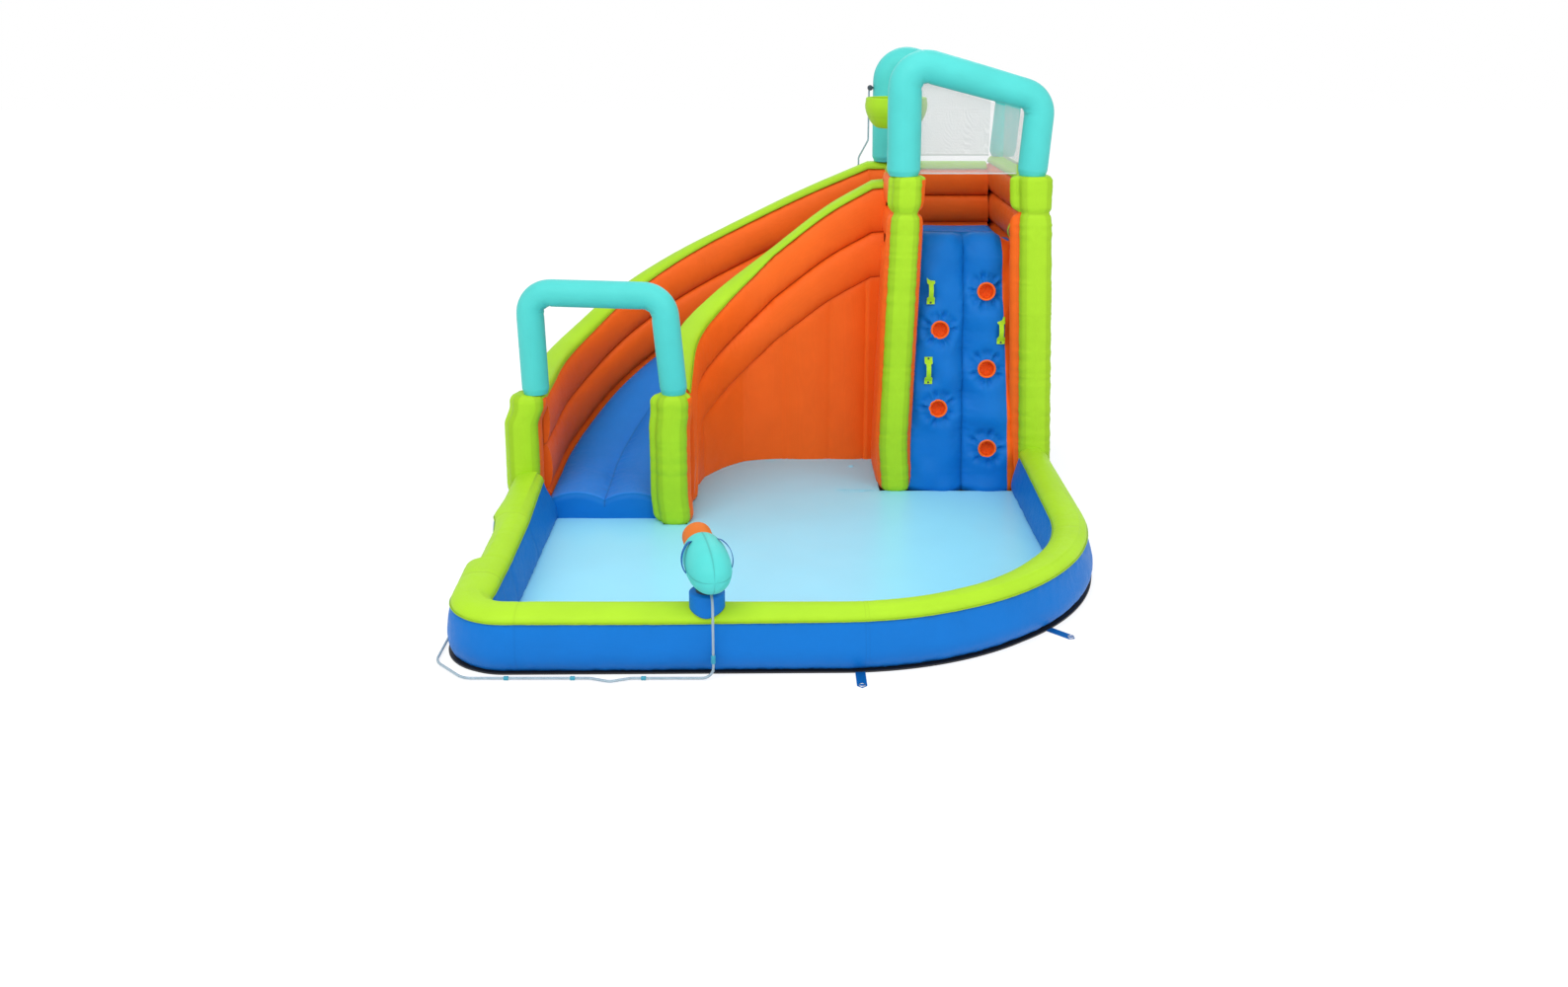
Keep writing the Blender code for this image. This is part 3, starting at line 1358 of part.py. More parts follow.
def build_cannon_base():
    """The pedestal on the front wall's crown, the turntable with its two lugs and the tilt pin."""
    crown = offset_line(pool_band_line(), SKIN_GAP + BAND_THICKNESS + PEDESTAL_CLEARANCE)
    under = [(crown[-1][0], 0.0), (crown[0][0], 0.0)]
    low_end = (CANNON_X, CANNON_Y, POOL_TOP - BAND_DROP)
    column = cylinder_mesh("cannon_pedestal", PEDESTAL_RADIUS, low_end, (CANNON_X, CANNON_Y, PEDESTAL_TOP))
    pedestal = add_object("cannon_pedestal", column, "blue_fabric")
    bm = bmesh.new()
    sides = (CANNON_X - 2 * PEDESTAL_RADIUS, CANNON_X + 2 * PEDESTAL_RADIUS)
    skin_rings(bm, [[Vector((x, POOL_LINE_Y + across, z)) for across, z in crown + under] for x in sides])
    boolean(pedestal, add_cutter("crown_below", finish_mesh(bm, "crown_below")))

    swivel = pivot("cannon_swivel_axis", (CANNON_X, CANNON_Y, PEDESTAL_TOP))
    upright = Matrix.Translation((CANNON_X, CANNON_Y, 0.0)) @ Matrix.Rotation(CANNON_YAW, 4, "Z")
    low = PEDESTAL_TOP + GAP
    top = low + TURNTABLE_THICKNESS
    disc = cylinder_mesh("cannon_turntable", TURNTABLE_RADIUS, (0.0, 0.0, low), (0.0, 0.0, top), 24)
    disc.transform(upright)
    turntable = add_object("cannon_turntable", disc, "dark_plastic")
    lugs = []
    for side in (-1, 1):
        near = side * LUG_SPACING / 2
        far = near + side * LUG_THICKNESS
        corner_low = (min(near, far), -LUG_LENGTH / 2, (low + top) / 2)
        corner_high = (max(near, far), LUG_LENGTH / 2, PIVOT_HEIGHT + LUG_RISE)
        lugs.append(box_mesh("lug", corner_low, corner_high))
    lugs = join_meshes("lugs", lugs)
    lugs.transform(upright)
    boolean(turntable, add_cutter("lugs", lugs), "UNION")
    reach = LUG_SPACING / 2 + LUG_THICKNESS
    bore_ends = [(side * 2 * reach, 0.0, PIVOT_HEIGHT) for side in (-1, 1)]
    bore = cylinder_mesh("pin_bore", PIN_RADIUS + FIT_CLEARANCE, *bore_ends, FIT_SIDES)
    bore.transform(upright)
    boolean(turntable, add_cutter("pin_bore", bore))
    pin_ends = [(side * reach, 0.0, PIVOT_HEIGHT) for side in (-1, 1)]
    pin = cylinder_mesh("cannon_pin", PIN_RADIUS, *pin_ends, FIT_SIDES)
    pin.transform(upright)
    pin = add_object("cannon_pin", pin, "metal")
    ride(turntable, swivel)
    ride(pin, swivel)


def build_cannon_pod():
    """The pod with its keel on the tilt pin, the nozzle on its nose and a webbing grip on each side."""
    tilt = pivot("cannon_tilt_axis", (CANNON_X, CANNON_Y, PIVOT_HEIGHT))
    turn = Matrix.Rotation(CANNON_YAW, 4, "Z") @ Matrix.Rotation(CANNON_PITCH, 4, "X")
    frame = Matrix.Translation((CANNON_X, CANNON_Y, PIVOT_HEIGHT)) @ turn
    lengthwise = frame @ Matrix.Translation((0.0, 0.0, POD_RADIUS)) @ Matrix.Rotation(-math.pi / 2, 4, "X")
    outline = [(0.0, POD_NOSE)] + [(radius, along) for along, radius in pod_profile()] + [(0.0, -POD_TAIL)]
    body = add_object("cannon_body", turned_mesh("cannon_body", outline, lengthwise, 24), "teal_fabric")
    half = LUG_SPACING / 2 + LUG_THICKNESS + SLOT_CLEARANCE
    length = LUG_LENGTH / 2 + 2 * SLOT_CLEARANCE
    slot = box_mesh("pod_slot", (-half, -length, -POD_RADIUS), (half, length, SLOT_HEIGHT))
    keel_low = (-KEEL_THICKNESS / 2, -KEEL_WIDTH / 2, -KEEL_DROP)
    keel_high = (KEEL_THICKNESS / 2, KEEL_WIDTH / 2, SLOT_HEIGHT + KEEL_DROP)
    keel = box_mesh("keel", keel_low, keel_high)
    bore = cylinder_mesh("keel_bore", PIN_RADIUS + FIT_CLEARANCE, (-half, 0.0, 0.0), (half, 0.0, 0.0), FIT_SIDES)
    for mesh in (slot, keel, bore):
        mesh.transform(frame)
    boolean(body, add_cutter("pod_slot", slot))
    boolean(body, add_cutter("keel", keel), "UNION")
    boolean(body, add_cutter("keel_bore", bore))
    start = POD_NOSE + GAP
    tip = start + NOZZLE_LENGTH
    outline = [
        (0.0, start + 0.02),
        (NOZZLE_BORE, start + 0.02),
        (NOZZLE_BORE, tip),
        (NOZZLE_RADIUS - 0.006, tip),
        (NOZZLE_RADIUS, tip - 0.010),
        (NOZZLE_RADIUS, start + 0.012),
        (NOZZLE_RADIUS - 0.006, start),
        (0.0, start),
    ]
    nozzle = add_object("cannon_nozzle", turned_mesh("cannon_nozzle", outline, lengthwise, 24), "nozzle_fabric")
    grips = []
    for label, side in (("left", -1.0), ("right", 1.0)):
        points = []
        for step in range(9):
            share = step / 8
            along = GRIP_FRONT - GRIP_LENGTH * share
            angle = math.radians(GRIP_FRONT_ANGLE - GRIP_TURN * share)
            radius = pod_radius(along) + GRIP_RADIUS + SKIN_GAP + GRIP_STAND_OFF * math.sin(math.pi * share)
            across = side * radius * math.cos(angle)
            points.append(frame @ Vector((across, along, POD_RADIUS + radius * math.sin(angle))))
        name = f"cannon_grip_{label}"
        grips.append(add_object(name, tube_mesh(name, points, GRIP_RADIUS), "blue_fabric"))
    for item in (body, nozzle, *grips):
        ride(item, tilt)


# Hoses


def beyond(side):
    """Distance from the origin of a hose that lies on the ground along one side of the park."""
    return (PARK_WIDTH if side == "x" else PARK_DEPTH) / 2 + HOSE_OFFSET


def cannon_hose_route():
    """From the pedestal down the front wall and along its foot to the coupling on the left side."""
    side_x = -beyond("x")
    front_y = -beyond("y")
    start_y = CANNON_Y - TURNTABLE_RADIUS - HOSE_CLEARANCE
    sag_x = CANNON_X - 0.42
    corner = POOL_CORNER_RADIUS + POOL_WALL_THICKNESS / 2
    cut = 0.5 * corner
    exit_z = PEDESTAL_TOP + HOSE_RADIUS + HOSE_CLEARANCE
    down_x = CANNON_X + 0.03
    corners = [
        (CANNON_X + 0.02, start_y, exit_z),
        (down_x, start_y - HOSE_LEAD, exit_z),
        (down_x, front_y - HOSE_CLEARANCE, 0.75 * POOL_TOP),
        (down_x, front_y, POOL_TOP / 2),
        (down_x, front_y, HOSE_GROUND),
        (sag_x + 0.09, front_y, HOSE_GROUND),
        (sag_x, front_y - 0.030, HOSE_GROUND),
        (sag_x - 0.09, front_y, HOSE_GROUND),
        (side_x + corner - cut, front_y, HOSE_GROUND),
        (side_x, front_y + corner - cut, HOSE_GROUND),
        (side_x, COUPLING_Y - 0.14, HOSE_GROUND),
        (-COUPLING_X, COUPLING_Y - 0.08, COUPLING_Z),
        (-COUPLING_X, COUPLING_Y - COUPLING_LENGTH / 2 - GAP, COUPLING_Z),
    ]
    radii = [HOSE_BEND] * 7 + [2 * HOSE_BEND] * 2 + [HOSE_BEND] * 2
    return rounded_route(corners, radii, steps=3)


def spray_hose_route():
    """From the coupling round the outside of the slide, up the back and beside the back arch to its nozzle."""
    outer = [at(station, FAR_FACE + HOSE_OFFSET, HOSE_GROUND) for station in OUTER_LINE[STRAIGHT_STEPS:-TOP_STEPS]]
    back_y = beyond("y")
    leave_x = NOZZLE_HOLD_X - 0.06
    corners = [
        (-COUPLING_X, COUPLING_Y + COUPLING_LENGTH / 2 + GAP, COUPLING_Z),
        (-COUPLING_X, COUPLING_Y + 0.08, COUPLING_Z),
        (-beyond("x"), COUPLING_Y + 0.14, HOSE_GROUND),
        *outer,
        (leave_x, back_y, HOSE_GROUND),
        (leave_x, back_y, BACK_WALL_HEIGHT + 0.02),
        (NOZZLE_HOLD_X, SPRAY_BACK_Y + HOSE_LEAD, BACK_WALL_HEIGHT + 0.14),
        (NOZZLE_HOLD_X, SPRAY_BACK_Y + HOSE_LEAD, SPRAY_Z),
        (NOZZLE_HOLD_X, SPRAY_BACK_Y + GAP, SPRAY_Z),
    ]
    radii = [HOSE_BEND] * 2 + [0.0] * len(outer) + [HOSE_BEND] * 4
    return rounded_route(corners, radii, steps=3)


def build_hoses():
    """Clear hoses, the coupling they meet in and the spray nozzle on the back arch."""
    for name, route in (("cannon_hose", cannon_hose_route()), ("spray_hose", spray_hose_route())):
        add_object(name, tube_mesh(name, route, HOSE_RADIUS), "clear_hose")
    half = COUPLING_LENGTH / 2
    run = cylinder_mesh(
        "hose_coupling",
        COUPLING_RADIUS,
        (-COUPLING_X, COUPLING_Y - half, COUPLING_Z),
        (-COUPLING_X, COUPLING_Y + half, COUPLING_Z),
        16,
    )
    coupling = add_object("hose_coupling", run, "teal_plastic")
    inlet_end = -COUPLING_X - INLET_REACH
    inlet = cylinder_mesh(
        "inlet", INLET_RADIUS, (-COUPLING_X - 0.003, COUPLING_Y, COUPLING_Z), (inlet_end, COUPLING_Y, COUPLING_Z), 20
    )
    bore = cylinder_mesh(
        "inlet_bore",
        INLET_BORE,
        (inlet_end + 0.6 * INLET_REACH, COUPLING_Y, COUPLING_Z),
        (inlet_end - 0.02, COUPLING_Y, COUPLING_Z),
        16,
    )
    boolean(coupling, add_cutter("inlet", inlet), "UNION")
    boolean(coupling, add_cutter("inlet_bore", bore))
    profile = [
        (0.0, 0.0),
        (0.011, 0.0),
        (0.012, -0.020),
        (0.018, -0.026),
        (0.018, -0.048),
        (0.010, -SPRAY_LENGTH),
        (0.0, -SPRAY_LENGTH),
    ]
    place = Matrix.Translation((NOZZLE_HOLD_X, SPRAY_BACK_Y, SPRAY_Z)) @ Matrix.Rotation(-math.pi / 2, 4, "X")
    add_object("spray_nozzle", turned_mesh("spray_nozzle", profile, place, 16), "dark_plastic")


# Blower


def volute_outline():
    """Side view of the blower's housing: a round volute with its outlet along the ground."""
    centre = (BLOWER_Y, SHAFT_HEIGHT)
    bottom = SHAFT_HEIGHT - VOLUTE_RADIUS
    mouth_y = BLOWER_Y - OUTLET_REACH
    top = bottom + OUTLET_HEIGHT
    last = 180.0 + math.degrees(math.asin((SHAFT_HEIGHT - top) / VOLUTE_RADIUS))
    arc = ellipse_points(centre, VOLUTE_RADIUS, VOLUTE_RADIUS, -90.0, last, 20)
    return [(mouth_y, bottom), (BLOWER_Y, bottom)] + arc + [(mouth_y, top)]


def build_housing():
    """Two housing halves that meet at the middle plane, open there, with the intake slots and the shaft hole."""
    outline = volute_outline()
    outlet_z = SHAFT_HEIGHT - VOLUTE_RADIUS + OUTLET_HEIGHT / 2
    mouth_y = BLOWER_Y - OUTLET_REACH
    for label, side in (("front", -1), ("rear", 1)):
        name = f"blower_housing_{label}"
        near_x = BLOWER_X + side * GAP / 2
        far_x = BLOWER_X + side * HOUSING_HALF_WIDTH
        bm = bmesh.new()
        near = [bm.verts.new((near_x, y, z)) for y, z in outline]
        far = [bm.verts.new((far_x, y, z)) for y, z in outline]
        for i in range(len(outline)):
            j = (i + 1) % len(outline)
            bm.faces.new((near[i], near[j], far[j], far[i]) if side > 0 else (near[i], far[i], far[j], near[j]))
        bm.faces.new(far if side > 0 else list(reversed(far)))
        mesh = bpy.data.meshes.new(name)
        bm.to_mesh(mesh)
        bm.free()
        shell = add_object(name, mesh, "orange_plastic")
        solidify = shell.modifiers.new("wall", "SOLIDIFY")
        solidify.thickness = HOUSING_WALL
        solidify.offset = -1.0
        mouth = cylinder_mesh(
            f"mouth_{label}", NECK_RADIUS + 2 * GAP, (BLOWER_X, mouth_y - 0.03, outlet_z), (BLOWER_X, mouth_y + 0.03, outlet_z)
        )
        boolean(shell, add_cutter(f"mouth_{label}", mouth))
        ends = [(far_x + end * 2 * HOUSING_WALL, BLOWER_Y, SHAFT_HEIGHT) for end in (-1, 1)]
        if side > 0:
            openings = cylinder_mesh("shaft_hole", SHAFT_RADIUS + 0.003, *ends, 16)
        else:
            openings = join_meshes("intake_slots", intake_slots(*[end[0] for end in ends]))
        boolean(shell, add_cutter(f"openings_{label}", openings))


def intake_slots(low_x, high_x):
    """Level slots that fill the round intake."""
    slots = []
    for index in range(INTAKE_SLOTS):
        z = INTAKE_RADIUS * (2 * (index + 0.5) / INTAKE_SLOTS - 1.0)
        half = math.sqrt(INTAKE_RADIUS**2 - z**2)
        low = (low_x, BLOWER_Y - half, SHAFT_HEIGHT + z - INTAKE_SLOT_HEIGHT / 2)
        high = (high_x, BLOWER_Y + half, SHAFT_HEIGHT + z + INTAKE_SLOT_HEIGHT / 2)
        slots.append(box_mesh("slot", low, high))
    return slots


def build_fan():
    """The impeller on its shaft, the motor that drives it and the outlet neck."""
    axis = pivot("impeller_axis", (BLOWER_X, BLOWER_Y, SHAFT_HEIGHT))
    outline = []
    blade = math.pi / IMPELLER_BLADES / 3
    for index in range(IMPELLER_BLADES):
        middle = 2 * math.pi * index / IMPELLER_BLADES
        for radius, turn in (
            (IMPELLER_HUB, -blade),
            (IMPELLER_RADIUS, -blade / 2),
            (IMPELLER_RADIUS, blade / 2),
            (IMPELLER_HUB, blade),
        ):
            outline.append((radius * math.cos(middle + turn), radius * math.sin(middle + turn)))
    place = Matrix.Translation(axis.location) @ Matrix.Rotation(math.pi / 2, 4, "Y")
    impeller = add_object("impeller", flat_mesh("impeller", [outline], IMPELLER_WIDTH, place), "teal_plastic")
    motor_x = BLOWER_X + HOUSING_HALF_WIDTH + GAP
    shaft_end = motor_x + 0.5 * MOTOR_LENGTH
    shaft = cylinder_mesh("shaft", SHAFT_RADIUS, (BLOWER_X, BLOWER_Y, SHAFT_HEIGHT), (shaft_end, BLOWER_Y, SHAFT_HEIGHT))
    boolean(impeller, add_cutter("shaft", shaft), "UNION")
    ride(impeller, axis)
    bore = 0.5 * MOTOR_LENGTH + 0.002
    profile = [
        (0.0, bore),
        (SHAFT_RADIUS + 0.001, bore),
        (SHAFT_RADIUS + 0.001, 0.0),
        (MOTOR_RADIUS, 0.0),
        (MOTOR_RADIUS, 0.85 * MOTOR_LENGTH),
        (0.8 * MOTOR_RADIUS, MOTOR_LENGTH),
        (0.0, MOTOR_LENGTH),
    ]
    place = Matrix.Translation((motor_x, BLOWER_Y, SHAFT_HEIGHT)) @ Matrix.Rotation(math.pi / 2, 4, "Y")
    add_object("motor", turned_mesh("motor", profile, place, 24), "dark_plastic")
    add_ring("blower_outlet", NECK_RADIUS, NECK_WALL, MOUTH_Y - NECK_LENGTH, MOUTH_Y + 0.012, "orange_plastic")
    sleeve_end = MOUTH_Y - 0.006
    start = PARK_DEPTH / 2 + SKIN_GAP + SKIN_THICKNESS + 2 * GAP
    radius = NECK_RADIUS + SLEEVE_CLEARANCE + SLEEVE_WALL
    add_ring("inflation_sleeve", radius, SLEEVE_WALL, start, sleeve_end, "blue_fabric")


def add_ring(name, outer, wall, start_y, end_y, finish):
    """A round tube with an open bore, along Y at the height of the blower's outlet."""
    outlet_z = SHAFT_HEIGHT - VOLUTE_RADIUS + OUTLET_HEIGHT / 2
    length = end_y - start_y
    profile = [(outer, length), (outer, 0.0), (outer - wall, 0.0), (outer - wall, length)]
    place = Matrix.Translation((BLOWER_X, start_y, outlet_z)) @ Matrix.Rotation(-math.pi / 2, 4, "X")
    turned(name, profile, finish, place, steps=24, closed=True)


def build_blower_frame():
    """The handle over the housing and the frame of feet under it."""
    foot_z = SHAFT_HEIGHT + math.sqrt(VOLUTE_RADIUS**2 - (HANDLE_SPAN / 2 - CARRY_RADIUS) ** 2) + 0.001
    top = SHAFT_HEIGHT + VOLUTE_RADIUS + HANDLE_RISE
    corners = [
        (BLOWER_X, BLOWER_Y - HANDLE_SPAN / 2, foot_z),
        (BLOWER_X, BLOWER_Y - HANDLE_SPAN / 2, top),
        (BLOWER_X, BLOWER_Y + HANDLE_SPAN / 2, top),
        (BLOWER_X, BLOWER_Y + HANDLE_SPAN / 2, foot_z),
    ]
    tube("blower_handle", rounded_route(corners, (0.03, 0.03), steps=4), CARRY_RADIUS, "orange_plastic", resolution=2)
    height = SHAFT_HEIGHT - VOLUTE_RADIUS - GAP
    half_x = HOUSING_HALF_WIDTH + FOOT_MARGIN
    half_y = FOOT_LENGTH / 2
    outer = [(-half_x, -half_y), (half_x, -half_y), (half_x, half_y), (-half_x, half_y)]
    inner = [(x * (1 - FOOT_WIDTH / half_x), y * (1 - FOOT_WIDTH / half_y)) for x, y in reversed(outer)]
    place = Matrix.Translation((BLOWER_X, BLOWER_Y - 0.02, height / 2))
    add_object("blower_base", flat_mesh("blower_base", [outer, inner], height, place), "orange_plastic")


def main():
    """Build every piece."""
    build_base()
    build_pool_wall()
    build_slide_bed()
    build_inner_wall()
    build_outer_wall()
    build_slide_posts()
    build_tower_walls()
    build_tower_posts()
    build_climbing_wall()
    build_footholds()
    build_climb_handles()
    build_platform()
    build_arches()
    build_nets()
    build_bucket()
    build_cannon_base()
    build_cannon_pod()
    build_hoses()
    build_housing()
    build_fan()
    build_blower_frame()


for leftover in list(bpy.data.objects):
    bpy.data.objects.remove(leftover, do_unlink=True)
parts = new_collection("inflatable_water_park")
cutters = new_collection("cutters")
materials = {finish_name: make_material(finish_name) for finish_name in FINISHES}
main()
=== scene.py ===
"""Looks for an inflatable garden water park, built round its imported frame.

Lengths are in metres. X runs left to right, Y from the pool's front to the tower at the back, and Z is up.
"""

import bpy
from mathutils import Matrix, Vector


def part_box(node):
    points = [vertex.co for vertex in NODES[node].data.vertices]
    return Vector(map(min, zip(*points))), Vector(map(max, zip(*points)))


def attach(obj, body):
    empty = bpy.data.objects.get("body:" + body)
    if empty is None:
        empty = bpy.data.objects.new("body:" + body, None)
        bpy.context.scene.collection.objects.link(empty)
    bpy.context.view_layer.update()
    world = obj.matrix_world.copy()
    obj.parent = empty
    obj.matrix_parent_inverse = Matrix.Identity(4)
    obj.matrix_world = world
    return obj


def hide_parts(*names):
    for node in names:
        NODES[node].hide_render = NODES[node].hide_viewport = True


bl_info = {
    "name": "Inflatable Water Park",
    "version": (1, 0, 0),
    "blender": (4, 5, 0),
    "location": "3D View > Sidebar > Water Park",
    "description": "Builds the fabric chambers, bands, fittings and stage of an inflatable water park",
    "category": "Add Mesh",
}

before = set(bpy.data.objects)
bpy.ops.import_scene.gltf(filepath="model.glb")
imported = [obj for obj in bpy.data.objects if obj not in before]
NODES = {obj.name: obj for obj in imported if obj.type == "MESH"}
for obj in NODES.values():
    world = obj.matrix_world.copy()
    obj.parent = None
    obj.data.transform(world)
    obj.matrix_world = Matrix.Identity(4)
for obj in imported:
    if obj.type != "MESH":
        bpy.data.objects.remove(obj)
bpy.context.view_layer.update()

import itertools
import math

import bmesh
import bpy
import numpy as np
from bpy.props import FloatProperty, FloatVectorProperty, PointerProperty
from mathutils import Matrix, Vector
from mathutils.geometry import interpolate_bezier

ROOT = "root"

# Whole park, as in the frame
PARK_WIDTH = 3.20
PARK_DEPTH = 3.65
GAP = 0.0003
SKIN_GAP = 0.001
MAT_THICKNESS = 0.008
MAT_MARGIN = 0.004
BASE_Z = MAT_THICKNESS + GAP

# Pool
POOL_WALL_THICKNESS = 0.26
POOL_WALL_HEIGHT = 0.285
POOL_BULGE = 0.020
POOL_CORNER_RADIUS = 0.18
POOL_ROUND_X = 0.20
POOL_ROUND_Y = -0.515
BAND_THICKNESS = 0.006
BAND_DROP = 0.045
FLOOR_THICKNESS = 0.006
POOL_TOP = BASE_Z + POOL_WALL_HEIGHT
POOL_LINE_X = PARK_WIDTH / 2 - POOL_WALL_THICKNESS / 2
POOL_LINE_Y = -PARK_DEPTH / 2 + POOL_WALL_THICKNESS / 2

# How far the slack fabric draws the pool wall's inner and outer side in, and its foot, by the length along it
INSIDE_SLACK = (
    (0.0, 0.070), (0.34, 0.052), (0.66, 0.034), (1.21, 0.024), (1.54, 0.026), (1.70, 0.045), (1.84, 0.070),
    (2.5, 0.085), (3.33, 0.070), (3.9, 0.030), (4.5, 0.004), (5.25, 0.008), (5.6, 0.018), (6.25, 0.035),
)
OUTSIDE_SLACK = (
    (0.0, 0.0), (0.34, 0.008), (0.57, 0.0), (0.64, 0.022), (0.79, 0.047), (1.19, 0.056), (1.23, 0.006),
    (1.54, 0.018), (1.84, 0.010), (2.5, 0.012), (3.33, 0.035), (3.9, 0.055), (4.5, 0.060), (5.25, 0.050),
    (6.25, 0.035),
)
FOOT_TUCK = (
    (0.0, 0.0), (1.5, 0.0), (1.75, 0.030), (3.3, 0.045), (4.2, 0.055), (5.0, 0.030), (5.6, 0.0), (6.25, 0.0),
)
# How much further than the foot the mat is tucked in, and how far the floor goes under its surroundings
MAT_TUCK = 1.22
FLOOR_UNDER = 0.020
# Lengths along the pool's wall where one chamber meets the next
POOL_SEAMS = (0.64, 1.205, 1.40, 1.90, 3.43, 4.97)

# Webbing loops: sizes of one, and the plan point and direction where each leaves the mat
LOOP_HALF = 0.0225
LOOP_ROOT = 0.10
LOOP_REACH = 0.084
LOOPS = (
    ((0.28, -PARK_DEPTH / 2), (0.0, -1.0)),
    ((1.24, -1.39), (0.722, -0.692)),
    ((-PARK_WIDTH / 2, -0.75), (-1.0, 0.0)),
    ((-PARK_WIDTH / 2, 0.40), (-1.0, 0.0)),
    ((PARK_WIDTH / 2, 1.20), (1.0, 0.0)),
    ((-0.30, PARK_DEPTH / 2), (0.0, 1.0)),
    ((0.55, PARK_DEPTH / 2), (0.0, 1.0)),
    ((1.35, PARK_DEPTH / 2), (0.0, 1.0)),
)

# Slide channel and its two walls
EXIT_Y = 0.04
EXIT_HEIGHT = 0.165
WALL_THICKNESS = 0.18
WALL_BULGE = 0.020
OUTER_STRAIGHT_END_Y = 0.62
OUTER_CURVE_END_X = -0.50
INNER_X = -0.665
INNER_STRAIGHT_END_Y = 0.42
INNER_CURVE_END_X = -0.10
INNER_Y = 1.175
CHANNEL_FACE = WALL_THICKNESS / 2
FAR_FACE = WALL_THICKNESS / 2 + WALL_BULGE
GROOVE_DEPTH = 0.030
CHANNEL_CORE = CHANNEL_FACE - GROOVE_DEPTH
FAR_CORE = FAR_FACE - GROOVE_DEPTH
OUTER_X = -PARK_WIDTH / 2 + FAR_FACE
OUTER_Y = PARK_DEPTH / 2 - FAR_FACE
RUN_OUT = 0.72
BED_EASE = 0.35
BED_THICKNESS = 0.20
BED_CROWN = 0.045
LIP_LENGTH = 0.045
LIP_DROP = 0.035
STEP_TO_PLATFORM = 0.05
ROLL_HEIGHT = 0.285
CREST_DROP = 0.035
SKIN_THICKNESS = 0.004
SKIN_BEND = 0.055
YARD_INSET = 0.006
YARD_SEAM_DEPTH = 0.036
PANEL_SWELL = 0.014
PANEL_SEAMS = (-0.66, -0.60, -0.334, -0.041, 0.264, 0.487, 0.53)
OUTER_SIDE_HEIGHTS = ((0.0, 0.60), (0.25, 0.62), (0.42, 0.58), (0.65, 0.57), (0.85, 0.545), (1.0, 0.495))
INNER_SIDE_HEIGHTS = (
    (0.0, 0.64), (0.24, 0.78), (0.34, 0.76), (0.47, 0.655), (0.62, 0.575), (0.85, 0.525), (1.0, 0.435),
)

# Slide posts and the arch on them
POST_DEPTH = 0.17
POST_CORNER = 0.038
POST_DRAW = 0.022
POST_PINCH_REACH = 0.022
LEFT_POST_HEIGHT = 0.745
RIGHT_POST_HEIGHT = 0.775
RIGHT_POST_FRONT_Y = -0.07
SLIDE_ARCH_RADIUS = 0.077
SLIDE_ARCH_BAR_HEIGHT = 1.331
SLIDE_ARCH_LEFT_SHOULDER_X = -1.475
SLIDE_ARCH_RIGHT_SHOULDER_X = -0.712
SLIDE_ARCH_SHIFT = 0.030
ARCH_BEND = 0.122
ARCH_FOOT_RISE = 0.03

# Tower
PLATFORM_HEIGHT = 1.50
TOWER_FRONT_Y = 0.48
TOWER_POST_DEPTH = 0.18
TOWER_HEIGHT = 1.935
TOWER_BLOCK_HEIGHT = 1.72
LEFT_WALL_WIDTH = 0.175
RIGHT_WALL_WIDTH = 0.195
TOWER_LEFT_X = 0.615
TOWER_LEFT_LEAN = 0.060
TOWER_RIGHT_X = PARK_WIDTH / 2 - SKIN_THICKNESS - SKIN_GAP - RIGHT_WALL_WIDTH / 2
TOWER_RIGHT_LEAN = 0.080
TOWER_BACK_Y = OUTER_Y + FAR_FACE - GROOVE_DEPTH
BACK_WALL_HEIGHT = 1.90
# Beside the platform: how far a wall is set back, the gap up to its rolls, and its points
PLATFORM_JOIN = (0.004, 0.005, 30)
CLIMB_FOOT_Y = 0.53
CLIMB_LEAN = 0.21
CLIMB_THICKNESS = 0.19
CLIMB_CROWN = 0.05
CLIMB_TOP = PLATFORM_HEIGHT + 0.07
FOOTHOLDS = ((0.72, 1.23), (0.27, 1.00), (0.72, 0.765), (0.27, 0.525), (0.72, 0.28))
FOOTHOLD_RADIUS = 0.050
FOOTHOLD_DEPTH = 0.075
HANDLES = ((0.17, 1.235), (0.17, 0.755), (0.86, 0.995))
HANDLE_LENGTH = 0.165
GATE_HANDLE_Z = 1.590
GATE_HANDLE_Y = 0.700

# Tower arches and nets
ARCH_LEG_RADIUS = 0.097
ARCH_THIN_RADIUS = 0.086
ARCH_FOOT_SHARE = 0.87
ARCH_HIGH_Z = 2.595
ARCH_LOW_Z = 2.380
FRONT_ARCH_Y = TOWER_FRONT_Y + TOWER_POST_DEPTH / 2
FRONT_ARCH_LEFT_X = 0.655
FRONT_ARCH_RIGHT_X = 1.405
BACK_ARCH_LEFT_X = 0.655
BACK_ARCH_RIGHT_X = 1.430

# Bucket and water cannon
BUCKET_X = 0.655
BUCKET_Y = 1.12
AXLE_Z = 2.31
BUCKET_RADIUS = 0.192
BUCKET_HEIGHT = 0.185
BUCKET_WALL = 0.014
CANNON_X = -0.395
CANNON_Y = POOL_LINE_Y - 0.030
CANNON_YAW = math.radians(13.0)
CANNON_PITCH = math.radians(5.0)
PEDESTAL_RADIUS = 0.079
PEDESTAL_TOP = 0.372
PIVOT_HEIGHT = 0.406
POD_RADIUS = 0.100
POD_TAIL = 0.190
POD_NOSE = 0.150
NOZZLE_RADIUS = 0.068
NOZZLE_LENGTH = 0.120
NOZZLE_BORE = 0.050
KEEL_HALF_WIDTH = 0.007
KEEL_HALF_DEPTH = 0.012
GRIP_HALF_WIDTH = 0.010
TURNTABLE_RADIUS = 0.050

